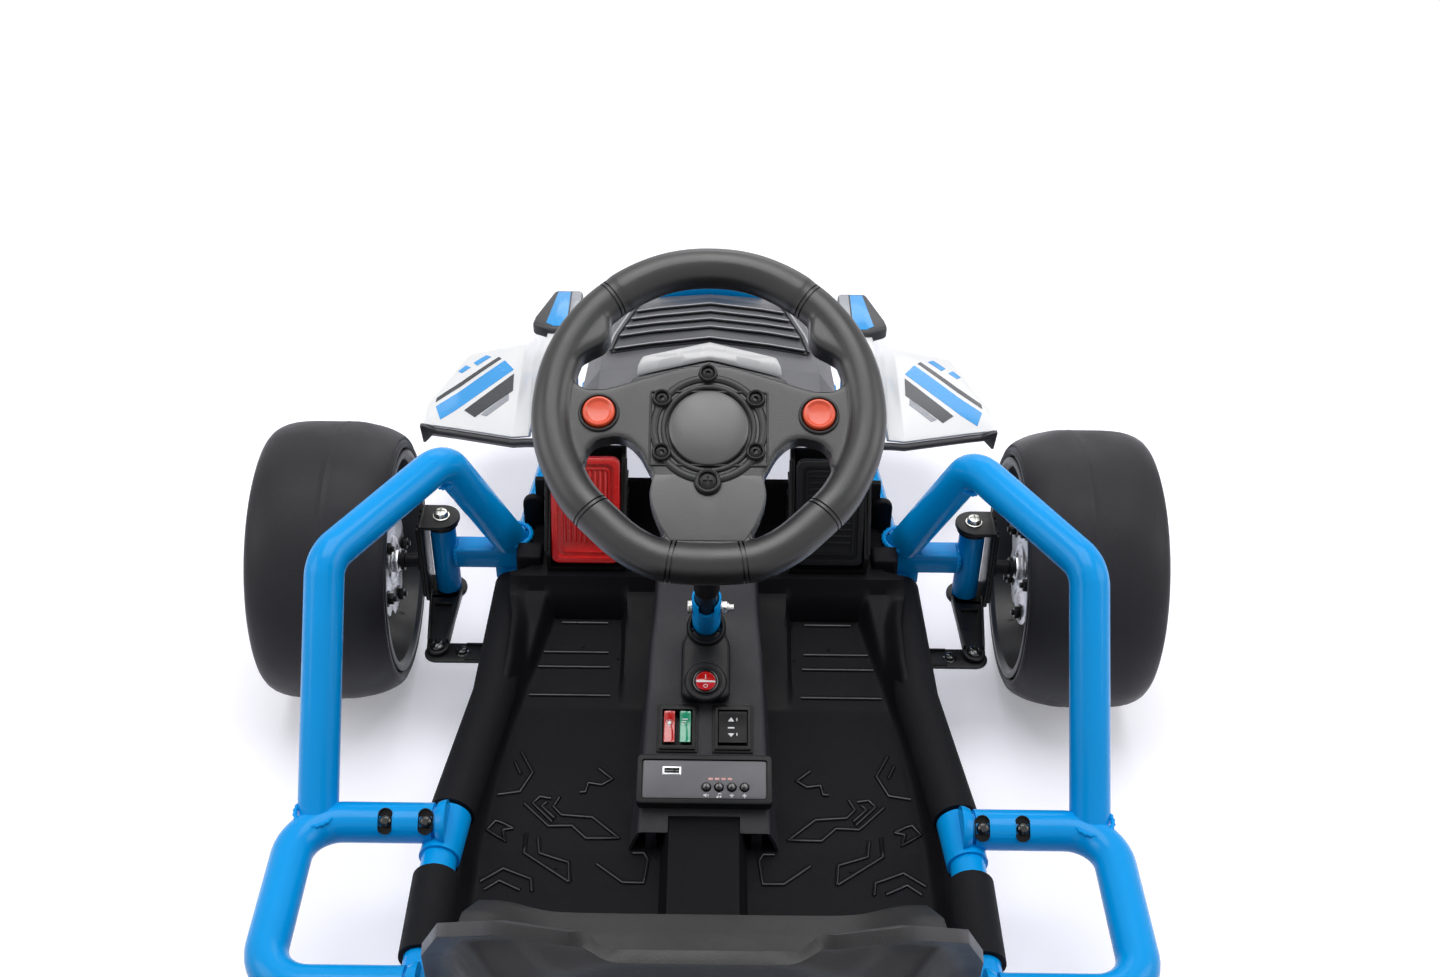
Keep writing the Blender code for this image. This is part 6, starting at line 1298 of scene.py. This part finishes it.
def model_track_rod():
    """Flat rod with round ends, pins through both arms and a slotted tongue under the column."""
    strip = arc((0.2455, 0.125), 0.012, -90, 90, 20) + arc((-0.2455, 0.125), 0.012, 90, 270, 20)
    tongue = [(-0.018, 0.126), (-0.013, 0.112), (-0.013, 0.0475), (-0.0112, 0.0457), (0.0112, 0.0457),
        (0.013, 0.0475), (0.013, 0.112), (0.018, 0.126)]
    flat = plate(strip, 0.0899, 0.0929, None, 0.0008)
    reach = cut(plate(tongue, 0.0899, 0.0929, None, 0.0006),
        block((-0.0055, 0.0517, 0.08), (0.0055, 0.0787, 0.1), None, 0))
    parts = [flat, reach]
    bolts = []
    for side in (-1, 1):
        at = shift_by(side * 0.2455, 0.128, 0)
        parts.append(disc(0.004, 0.0899, 0.1, at, 32))
        head = turned([(0, 0.0985), (0.007, 0.0985), (0.0068, 0.1), (0.005, 0.1014), (0.0022, 0.102),
            (0, 0.102)], at, 32)
        bolts.append(cut(head, plate(arc((0, 0), 0.0021, 0, 300, 5), 0.1002, 0.12, at)))
        second = shift_by(side * 0.223, 0.125, 0)
        bolts += [plate(arc((0, 0), 0.0048, 0, 300, 5), 0.0929, 0.0966, second, 0.0006),
            disc(0.0066, 0.0928, 0.0936, second, 32, 0.0002)]
        parts += [block((side * 0.17 - 0.05, 0.1145, 0.0925), (side * 0.17 + 0.05, 0.1165, 0.095), None,
            0.0005), block((side * 0.17 - 0.05, 0.1335, 0.0925), (side * 0.17 + 0.05, 0.1355, 0.095), None,
            0.0005)]
    dressed(joined(*parts), "flat_track_rod", BLACK_STEEL, ("track_rod",), body="track_rod")
    dressed(joined(*bolts), "track_rod_bolts", GLOSS, body="track_rod")


# Nose shell and its artwork

NOSE_ROOT_Y = 0.402
NOSE_STATIONS = [(0.0, [(0.0, 0.185), (0.048, 0.168), (0.103, 0.135), (0.158, 0.09), (0.1905, 0.035)]),
    (0.06, [(0.0, 0.183), (0.048, 0.166), (0.103, 0.133), (0.158, 0.087), (0.1885, 0.035)]),
    (0.112, [(0.0, 0.147), (0.048, 0.137), (0.103, 0.12), (0.158, 0.085), (0.186, 0.033)]),
    (0.135, [(0.0, 0.121), (0.048, 0.121), (0.108, 0.113), (0.158, 0.083), (0.182, 0.031)]),
    (0.165, [(0.003, 0.115), (0.053, 0.117), (0.113, 0.11), (0.155, 0.083), (0.175, 0.029)]),
    (0.184, [(-0.018, 0.034), (0.045, 0.063), (0.113, 0.067), (0.146, 0.057), (0.164, 0.027)]),
    (0.2, [(-0.017, 0.032), (0.045, 0.04), (0.108, 0.045), (0.143, 0.041), (0.158, 0.025)]),
    (0.262, [(-0.001, 0.031), (0.038, 0.036), (0.088, 0.039), (0.128, 0.035), (0.141, 0.023)]),
    (0.293, [(0.0, 0.035), (0.01, 0.036), (0.024, 0.036), (0.038, 0.034), (0.05, 0.026)])]


def eased(points, per_span=6):
    """A smooth open curve through the points."""
    points = [Vector(point) for point in points]
    out = []
    for n in range(len(points) - 1):
        a, b, c, d = points[max(n - 1, 0)], points[n], points[n + 1], points[min(n + 2, len(points) - 1)]
        for step in range(per_span):
            t = step / per_span
            out.append(0.5 * (2 * b + (c - a) * t + (2 * a - 5 * b + 4 * c - d) * t * t
                + (3 * b - a - 3 * c + d) * t ** 3))
    return out + [points[-1]]


def nose_profile(across):
    """The shell's (y, z) line at a half width, from its root to the front."""
    for (x1, row1), (x2, row2) in zip(NOSE_STATIONS, NOSE_STATIONS[1:]):
        if across <= x2:
            share = max(0.0, (across - x1) / (x2 - x1))
            row = [(NOSE_ROOT_Y + a[0] + (b[0] - a[0]) * share, RAIL_Z + a[1] + (b[1] - a[1]) * share)
                for a, b in zip(row1, row2)]
            return eased(row)
    return eased([(NOSE_ROOT_Y + ahead, RAIL_Z + rise) for ahead, rise in NOSE_STATIONS[-1][1]])


def nose_at(x, y):
    """A point on the shell and the direction straight out of it."""

    def height(px, py):
        return along(py, nose_profile(abs(px)))
    z, step = height(x, y), 0.0008
    slope_x = (height(x + step, y) - height(x - step, y)) / (2 * step)
    slope_y = (height(x, y + step) - height(x, y - step)) / (2 * step)
    return (Vector((x, y, z)), Vector((-slope_x, -slope_y, 1)).normalized())


def film(corners, side, look_rise=0.00025, steps=14):
    """A thin coloured film on the shell between four corners given in plan."""
    a, b, c, d = [Vector(corner) for corner in corners]
    rows = []
    for i in range(steps + 1):
        left, right = a.lerp(d, i / steps), b.lerp(c, i / steps)
        row = []
        for j in range(steps + 1):
            spot = left.lerp(right, j / steps)
            base, out = nose_at(side * spot.x, spot.y)
            row.append(base + out * look_rise)
        rows.append(row)
    return shell(rows, 0.0004, 0.0)


def model_nose():
    """White shell with crisp ridges, its dark trim and the films on it."""
    xs = []
    for (x1, _), (x2, _) in zip(NOSE_STATIONS, NOSE_STATIONS[1:]):
        xs += [x1 + (x2 - x1) * n / 6 for n in range(6)]
    xs.append(NOSE_STATIONS[-1][0])
    right = []
    for x in xs:
        profile = nose_profile(x)
        right.append([(x, y, z) for y, z in profile] + [(x, profile[-1][0] + 0.004, 0.12)])
    rows = [[(-x, y, z) for x, y, z in row] for row in reversed(right[1:])] + right
    body = shell(rows, 0.003, 1.0, 0.0012, 2, 14)
    dressed(body, "nose_and_wings", WHITE, ("front_fairing",))
    edge = [(x, nose_profile(x)[0][0], nose_profile(x)[0][1]) for x in xs if x >= 0.186]
    edge.insert(0, (0.176, edge[0][1], edge[0][2]))
    edge += [(x, nose_profile(x)[-1][0] + 0.004, 0.12) for x in reversed(xs)]
    edge = [(x, y - 0.0006, z - 0.0072) for x, y, z in edge]
    parts = []
    for side in (-1, 1):
        run = [(side * x, y, z) for x, y, z in edge]
        parts.append(pipe(run, 0.004, 0.004, 4))
        hook = [(0.279, 0.144), (0.2925, 0.15), (0.2965, 0.15), (0.2945, 0.129), (0.292, 0.129)]
        facing = Matrix(((side, 0, 0, 0), (0, 0, 1, 0.4), (0, 1, 0, 0), (0, 0, 0, 1)))
        parts.append(plate(hook, -0.0025, 0.003, facing, 0.0008))
        band = [[Vector((side * x, y, z)), Vector((side * x, y + 0.004, z - 0.0065))] for x, y,
            z in edge if y < 0.42]
        parts.append(shell(band, 0.003, -1.0, 0.0006))
    dressed(joined(*parts), "nose_edge_trim", DARK_TRIM, ("fairing_trim",))
    for side in (-1, 1):
        hand = side_name(side)
        cap = [(0.1335, 0.4455), (0.161, 0.4455), (0.1815, 0.456), (0.1795, 0.47), (0.163, 0.521),
            (0.1335, 0.521)]
        cap = plate([(side * x, y) for x, y in cap], 0.2245, 0.2395, None, 0.004, 3)
        dressed(cap, "fender_cap_" + hand, DARK_TRIM)

        def band(points, low=0.2391, high=0.2399):
            return plate([(side * x, y) for x, y in points], low, high, None, 0.0001)
        blue = [film([(0.2085, 0.49), (0.22, 0.508), (0.284, 0.43), (0.277, 0.41)], side),
            film([(0.236, 0.518), (0.242, 0.523), (0.254, 0.508), (0.249, 0.502)], side),
            film([(0.256, 0.499), (0.2615, 0.504), (0.269, 0.494), (0.264, 0.489)], side),
            film([(0.118, 0.408), (0.127, 0.408), (0.127, 0.434), (0.118, 0.44)], side),
            band([(0.146, 0.45), (0.159, 0.45), (0.167, 0.456), (0.159, 0.5165), (0.146, 0.5165)])]
        dark = [film([(0.206, 0.455), (0.2075, 0.483), (0.254, 0.426), (0.242, 0.415)], side, 0.00035),
            film([(0.224, 0.512), (0.2275, 0.516), (0.285, 0.445), (0.285, 0.437)], side, 0.00035),
            film([(0.118, 0.444), (0.127, 0.438), (0.127, 0.448), (0.118, 0.454)], side)]
        grey = [film([(0.209, 0.44), (0.21, 0.45), (0.236, 0.419), (0.23, 0.416)], side),
            film([(0.129, 0.408), (0.1325, 0.408), (0.1325, 0.444), (0.129, 0.444)], side),
            band([(0.1345, 0.45), (0.1445, 0.45), (0.1445, 0.5165), (0.1345, 0.5165)])]
        dressed(joined(*blue), "blue_film_" + hand, BLUE_PRINT)
        dressed(joined(*dark), "charcoal_film_" + hand, DARK_PRINT)
        dressed(joined(*grey), "grey_film_" + hand, GREY_PRINT)


DARK_TRIM = finish("edge_trim_moulding", (0.028, 0.028, 0.031), 0.42, grain=(1500, 0.3), mottle=(30, 0.12))


# Dash and bonnet

HOOD_TOP = [(0.205, 0.318), (0.235, 0.33), (0.29, 0.328), (0.4, 0.302)]
HOOD_HALF = [(0.205, 0.098), (0.29, 0.094), (0.4, 0.078)]
HOOD_SKIRT = [(0.205, 0.044), (0.26, 0.058), (0.29, 0.066), (0.4, 0.06)]


def hood_section(y):
    top, half = along(y, HOOD_TOP), along(y, HOOD_HALF)
    return [(0.0, top + 0.008), (half * 0.55, top + 0.0048), (half, top), (half + 0.016, top - 0.022),
        (half + 0.024, top - along(y, HOOD_SKIRT))]


def hood_point(x, y, rise):
    section = hood_section(y)
    for (x1, z1), (x2, z2) in zip(section, section[1:]):
        if abs(x) <= x2:
            return Vector((x, y, z1 + (z2 - z1) * (abs(x) - x1) / (x2 - x1) + rise))
    return Vector((x, y, section[-1][1] + rise))


def chevron(half, y, peak, rise, shares):
    return [hood_point(half * share, y + peak * (1 - abs(share)), rise) for share in shares]


def model_dash():
    """Bonnet shell with bevelled flanks, the louvre panel in its frame with pale lines painted as
    highlights on its edges, and the visor over the dash.
    """
    rows = []
    ys = [0.212, 0.214, 0.22, 0.235, 0.245, 0.265, 0.29, 0.315, 0.345, 0.37, 0.39, 0.3985]
    for y in ys:
        right = [(x, y, z) for x, z in hood_section(y)]
        mid = []
        for (x1, _, z1), (x2, _, z2) in zip(right, right[1:]):
            mid += [(x1, y, z1), ((x1 + x2) / 2, y, (z1 + z2) / 2)]
        right = mid + [right[-1]]
        rows.append([(-x, yy, z) for x, yy, z in reversed(right[1:])] + right)
    rear = [(x, y - 0.006, max(z - 0.03, 0.269)) for x, y, z in rows[0]]
    middle = [(x, y - 0.0035, max(z - 0.01, 0.271)) for x, y, z in rows[0]]
    dressed(shell([rear, middle] + rows, 0.003, -1.0, 0.0016, 3, 12), "bonnet_shell", HOOD_GREY,
        ("dash_body",))
    shares = [n / 16 for n in range(-16, 17)]
    slats, lines = [], []
    for n in range(5):
        y1, y2 = 0.264 + 0.0214 * n, 0.264 + 0.0214 * (n + 1) + 0.0025
        half1, half2 = (0.086 - 0.02 * (y - 0.264) / 0.108 for y in (y1, y2))
        grid = [chevron(half1 + (half2 - half1) * t, y1 + (y2 - y1) * t, 0.01, 0.005 - 0.0034 * t, shares)
            for t in (0, 0.33, 0.66, 1)]
        slats.append(shell(grid, 0.0018, -1.0, 0.0004, 2, 25))
        # Painted highlight: a thin pale line along the slat's edge.
        lines.append(pipe(chevron(half1 - 0.0015, y1 + 0.0002, 0.01, 0.005, shares), 0.0006, 0, 2))
    borders = []
    for side in (-1, 1):
        # Each side gets a dark border and, inside it, a pale line that is a painted highlight.
        for inset, radius, group in ((0.0024, 0.0012, borders), (0.0052, 0.0011, lines)):
            run = [hood_point(side * (0.086 + inset - 0.02 * n / 12), 0.263 + 0.111 * n / 12, 0.0034)
                for n in range(13)]
            group.append(pipe(run, radius, 0, 3))
    base = [chevron(0.0885 - 0.02 * t, 0.2625 + 0.112 * t, 0.01, 0.0015, shares) for t in (0, 0.25, 0.5,
        0.75, 1)]
    slats.append(shell(base, 0.0008))
    dressed(joined(*slats, *borders), "louvre_slats", LOUVRE, nodes=("louvre_panel",))
    dressed(joined(*lines), "louvre_edge_highlights", PAINTED_EDGE_HIGHLIGHT)
    visor = []
    for y, half, lift, peak in ((0.2235, 0.0632, 0.0034, 0.013), (0.2245, 0.063, 0.007, 0.013),
            (0.228, 0.0622, 0.01, 0.0145), (0.233, 0.06, 0.0108, 0.0165), (0.237, 0.058, 0.0104, 0.019),
            (0.24, 0.0565, 0.007, 0.0215), (0.241, 0.056, 0.0034, 0.0225)):
        visor.append(chevron(half, y, peak, lift, shares))
    dressed(shell(visor, 0.0022, -1.0, 0.0006, 2, 35), "dash_visor", VISOR, ("hood_crest",))
    # The ledge under the visor is dark trim, partly its own colour and partly painted shade for the recess
    # beneath the visor; its studs are the clips.
    ledge = [chevron(half, y, 0.013, lift, shares) for y, half,
        lift in ((0.215, 0.07, 0.0012), (0.2158, 0.0695, 0.004), (0.2205, 0.0665, 0.0046),
        (0.2235, 0.064, 0.0012))]
    studs = [disc(0.0011, 0.0, 0.0016,
        Matrix.Translation(hood_point(x, 0.2182 + 0.013 * (1 - abs(x) / 0.067), 0.0042)), 16, 0.0003)
        for x in (-0.034, -0.016, 0.0, 0.016, 0.034)]
    dressed(joined(shell(ledge, 0.0012, -1.0, 0.0003, 2, 25), *studs), "visor_ledge", DARK_TRIM)
    cap = [[Vector((0.05 * s, 0.3988 + 0.004 * (1 - s * s), 0.3025)) for s in shares]]
    for t in (0.0, 0.2, 0.4, 0.6, 0.8, 1.0):
        cap.append([Vector((0.05 * s, 0.399 + 0.02 * t + 0.004 * (1 - s * s),
            0.3085 + 0.021 * (1 - s * s) * math.cos(math.pi / 2 * t) - 0.008 * t)) for s in shares])
    dressed(shell(cap, 0.002, -1.0, 0.0004, 2, 30), "nose_blue_cap", BLUE)


HOOD_GREY = finish("bonnet_moulding", (0.088, 0.089, 0.1), 0.42, grain=(1500, 0.5), mottle=(30, 0.12))
LOUVRE = finish("louvre_moulding", (0.03, 0.031, 0.036), 0.45, grain=(1500, 0.4), mottle=(30, 0.12))
# Light grey for the thin lines along the louvre's edges: a painted highlight.
PAINTED_EDGE_HIGHLIGHT = finish("louvre_painted_highlight", (0.33, 0.33, 0.36), 0.35, grain=(1500, 0.2), mottle=(60, 0.1))
VISOR = finish("visor_moulding", (0.45, 0.45, 0.46), 0.26, grain=(900, 0.08), mottle=(30, 0.05), coat=0.2)


# Seat and drive, behind the part that the photograph shows

SEAT_SPINE = [(0.208, 0.046, 0.92, 0.01, 0), (0.188, 0.046, 0.97, 0.022, 0), (0.15, 0.0345, 1.0, 0.04, 0),
    (0.08, 0.0345, 1.0, 0.058, 15), (0.036, 0.054, 0.98, 0.066, 40), (0.012, 0.1, 0.96, 0.064, 66),
    (-0.012, 0.18, 0.92, 0.056, 74), (-0.036, 0.262, 0.87, 0.046, 74), (-0.054, 0.322, 0.77, 0.034, 74),
    (-0.066, 0.362, 0.58, 0.02, 74), (-0.071, 0.38, 0.36, 0.008, 74)]
SEAT_ACROSS = [(0.0, 0.0), (0.2, 0.0), (0.4, 0.0), (0.68, 0.12), (0.88, 0.92), (1.0, 1.0)]


def model_seat():
    """Bucket seat shell with a rounded edge, ribs in its base and its bolts."""
    spine = [[value for value in point] for point in SEAT_SPINE]
    dense = []
    for n in range(len(spine) - 1):
        for step in range(4):
            t = step / 4
            dense.append([a + (b - a) * (t * t * (3 - 2 * t) * 0.35 + t * 0.65) for a,
                b in zip(spine[n], spine[n + 1])])
    dense.append(spine[-1])
    across = [(point.x, point.y) for point in eased([(*pair, 0) for pair in SEAT_ACROSS], 5)]
    rows = []
    for ahead, rise, width, bolster, tilt in dense:
        angle, y, z, half = math.radians(tilt), REAR_AXLE_Y + ahead, RAIL_Z + rise, 0.175 * width
        right = [(half * share, y + math.sin(angle) * bolster * lift, z + math.cos(angle) * bolster * lift)
            for share, lift in across]
        rows.append([(-x, yy, zz) for x, yy, zz in reversed(right[1:])] + right)
    body = shell(rows, 0.007, -1.0, 0.0022, 3, 50)
    parts = [body]
    for x in (-0.06, -0.03, 0.0, 0.03, 0.06):
        parts.append(pipe([(x, -0.345, 0.1515), (x, -0.29, 0.15), (x, -0.25, 0.159)], 0.003, 0.03, 4))
    dressed(joined(*parts), "bucket_seat", SEAT_BLACK, nodes=("seat_shell",))
    bolts = []
    for x in (-0.093, 0.093):
        for y in (-0.29, -0.355):
            at = shift_by(x, y, 0.1495)
            bolts += [disc(0.0095, 0.0, 0.0014, at, 40, 0.0004),
                plate(arc((0, 0), 0.0062, 0, 300, 5), 0.0012, 0.0058, at, 0.0008)]
    dressed(joined(*bolts), "seat_bolts", ZINC)


SEAT_BLACK = finish("seat_moulding", (0.012, 0.012, 0.013), 0.44, grain=(1200, 0.5), mottle=(24, 0.2),
    specular=0.35)
ALUMINIUM = finish("cast_aluminium", (0.42, 0.43, 0.44), 0.42, metallic=1.0, grain=(900, 0.4),
    mottle=(40, 0.12))


def model_seat_rail():
    """Slotted runners with turned-up edges, and cross straps under the seat."""
    low = RAIL_Z + 0.012 + 0.0004
    parts = []
    for side in (-1, 1):
        xs = sorted((side * 0.08225, side * 0.10395))
        runner = block((xs[0], -0.403, low), (xs[1], -0.217, low + 0.006))
        slots = [plate(rounded(0.0035, 0.012, 0.0034, 5, ((xs[0] + xs[1]) / 2, y)), low - 0.01, low + 0.02)
            for y in (-0.245, -0.318, -0.38)]
        parts.append(cut(runner, *slots))
        for x in (xs[0], xs[1] - 0.0022):
            parts.append(block((x, -0.403, low), (x + 0.0022, -0.217, low + 0.0105), None, 0.0006))
    for y in (-0.292, -0.355):
        parts.append(block((-0.0931, y - 0.01, low), (0.0931, y + 0.01, 0.1491)))
    dressed(joined(*parts), "seat_runners", BLACK_STEEL, ("seat_rail",))


def model_power_unit():
    """Battery with its lid and strap, finned controller, gearboxes with their motors, axle rod."""
    low = 0.1454
    pack = block((-0.095, -0.54, low), (0.08, -0.452, low + 0.066), None, 0.0045, 4)
    lid = block((-0.0965, -0.5415, low + 0.064), (0.0815, -0.4505, low + 0.078), None, 0.004, 4)
    ribs = [block((x, -0.5408, low + 0.01), (x + 0.003, -0.4512, low + 0.058), None, 0.0008)
        for x in (-0.08, -0.06, 0.044, 0.064)]
    grip = cut(block((-0.03, -0.51, low + 0.076), (0.016, -0.482, low + 0.085), None, 0.003, 3),
        block((-0.022, -0.515, low + 0.077), (0.008, -0.477, low + 0.082), None, 0))
    dressed(joined(pack, lid, grip, *ribs), "battery_case", SATIN, nodes=("battery_pack",))
    strap = cut(block((-0.098, -0.504, low - 0.0002), (0.083, -0.488, low + 0.0796), None, 0.0012),
        block((-0.0968, -0.6, low - 0.01), (0.0818, -0.4, low + 0.0784), None, 0),
        block((-0.032, -0.6, low + 0.07), (0.018, -0.4, low + 0.09), None, 0))
    dressed(strap, "battery_strap", BLACK_STEEL)
    box = block((0.09, -0.536, low), (0.15, -0.454, low + 0.022), None, 0.0025, 3)
    fins = [block((0.0925, -0.532 + 0.0072 * n, low + 0.021), (0.1475, -0.5295 + 0.0072 * n, low + 0.034),
        None, 0.0006) for n in range(11)]
    dressed(joined(box, *fins), "controller_case", ALUMINIUM, ("motor_controller",))
    for side in (-1, 1):
        model_gearbox(side)
    across = Matrix(((0, 0, 1, 0), (1, 0, 0, REAR_AXLE_Y), (0, 1, 0, WHEEL_R), (0, 0, 0, 1)))
    rod_piece = turned([(0, -0.397), (0.0068, -0.397), (0.008, -0.3955), (0.008, 0.3955), (0.0068, 0.397),
        (0, 0.397)], across, 48)
    nuts = [plate(arc((0, 0), 0.011, 0, 300, 5), min(side * 0.388, side * 0.396),
        max(side * 0.388, side * 0.396), across, 0.0009) for side in (-1, 1)]
    dressed(joined(rod_piece, *nuts), "rear_axle_rod", ZINC, ("rear_axle",))


def model_gearbox(side):
    """Two-part gearbox case with screws, its drive boss and the ribbed motor."""
    inner, outer = 0.2035, 0.262
    motor = (-0.045, 0.038)
    back = math.degrees(math.atan2(motor[1], motor[0]))
    out = Matrix(((0, 0, side, 0), (1, 0, 0, REAR_AXLE_Y), (0, 1, 0, WHEEL_R), (0, 0, 0, 1)))

    def case(grow, start, end):
        outline = arc((0, 0), 0.04 + grow, back + 90, back + 270, 24) + arc(motor, 0.027 + grow, back - 90,
            back + 90, 18)
        return plate(outline, start, end, out, 0.0022, 3)
    parts = [case(-0.002, inner, 0.232), case(-0.002, 0.2336, outer), case(0.0, 0.229, 0.2324),
        case(0.0, 0.2328, 0.236),
        turned([(0.0086, 0.26), (0.03, 0.26), (0.03, 0.286), (0.0285, 0.2872), (0.0086, 0.2872)], out, 64,
        0.0006)]
    for n in range(6):
        turn = out @ Matrix.Rotation(FULL_TURN * n / 6, 4, "Z")
        parts.append(block((0.029, -0.0015, 0.2605), (0.0372, 0.0015, 0.266), turn, 0.0006))
    at = out @ shift_by(*motor, 0)
    parts.append(turned([(0, 0.1575), (0.016, 0.1575), (0.0185, 0.16), (0.0185, 0.198), (0.0195, 0.199),
        (0.0195, 0.204), (0, 0.204)], at, 56, 0.0004))
    body = joined(*parts)
    bore = disc(0.0086, 0.1, 0.3, out, 40)
    body = cut(body, bore)
    dressed(body, "gearbox_case_" + side_name(side), GEARBOX, nodes=("gearbox_" + side_name(side),))
    bits = []
    for angle in (back + 100, back + 140, back + 180, back + 220, back + 260):
        px, py = arc((0, 0), 0.0345, angle, angle, 1)[0]
        spot = out @ shift_by(px, py, 0)
        bits.append(plate(arc((0, 0), 0.0034, 0, 300, 5), outer - 0.0004, outer + 0.0026, spot, 0.0005))
    can = turned([(0.0186, 0.164), (0.0192, 0.165), (0.0192, 0.194), (0.0186, 0.195)], at, 56)
    bits.append(can)
    dressed(joined(*bits), "motor_can_and_screws_" + side_name(side), BRUSHED)


GEARBOX = finish("gearbox_moulding", (0.016, 0.016, 0.018), 0.48, grain=(1300, 0.4), mottle=(30, 0.2))


def model_bumper():
    """Rear bumper loop with its end plates, stays and bolts."""
    y, rise, half = -0.586, 0.13, 0.3
    bar = pipe([(-half, y, rise + 0.045), (-half + 0.055, y, rise), (half - 0.055, y, rise),
        (half, y, rise + 0.045)], 0.014, 0.06, 11)
    parts = [softened(bar, 0.003, 3, 50)]
    face = -0.5514
    bolts = []
    for side in (-1, 1):
        xs = sorted((side * 0.148, side * 0.196))
        parts += [block((xs[0], face - 0.004, 0.091), (xs[1], face, 0.139), None, 0.0015),
            rod((side * 0.172, face - 0.003, 0.115), (side * 0.172, y, rise), 0.012),
            weld((side * 0.172, face - 0.0045, 0.1155), (0, -1, 0.4), 0.013, 0.0018)]
        for px in (-0.016, 0.016):
            for pz in (-0.016, 0.016):
                at = shift_by(side * 0.172 + px, face - 0.004, 0.115 + pz) @ spin_by(90, "X")
                bolts += [disc(0.0066, -0.0002, 0.001, at, 32, 0.0003),
                    plate(arc((0, 0), 0.005, 0, 300, 5), 0.0008, 0.0046, at, 0.0007)]
    dressed(joined(*parts), "bumper_loop", BLUE, ("rear_bumper",))
    dressed(joined(*bolts), "bumper_bolts", ZINC)


# The whole kart

model_wheels()
model_frame()
for hand in (-1, 1):
    model_side_bar(hand)
    model_foam(hand)
    model_pedal_frame(hand)
    model_knuckle(hand)
model_pan()
model_console()
model_pod()
model_rockers()
model_sound_panel()
model_wheel_body()
model_wheel_hub()
model_column()
model_pedal(-1, "brake_pedal", RED)
model_pedal(1, "accelerator_pedal", SATIN)
model_track_rod()
model_nose()
model_dash()
model_seat()
model_seat_rail()
model_power_unit()
model_bumper()
set_studio()
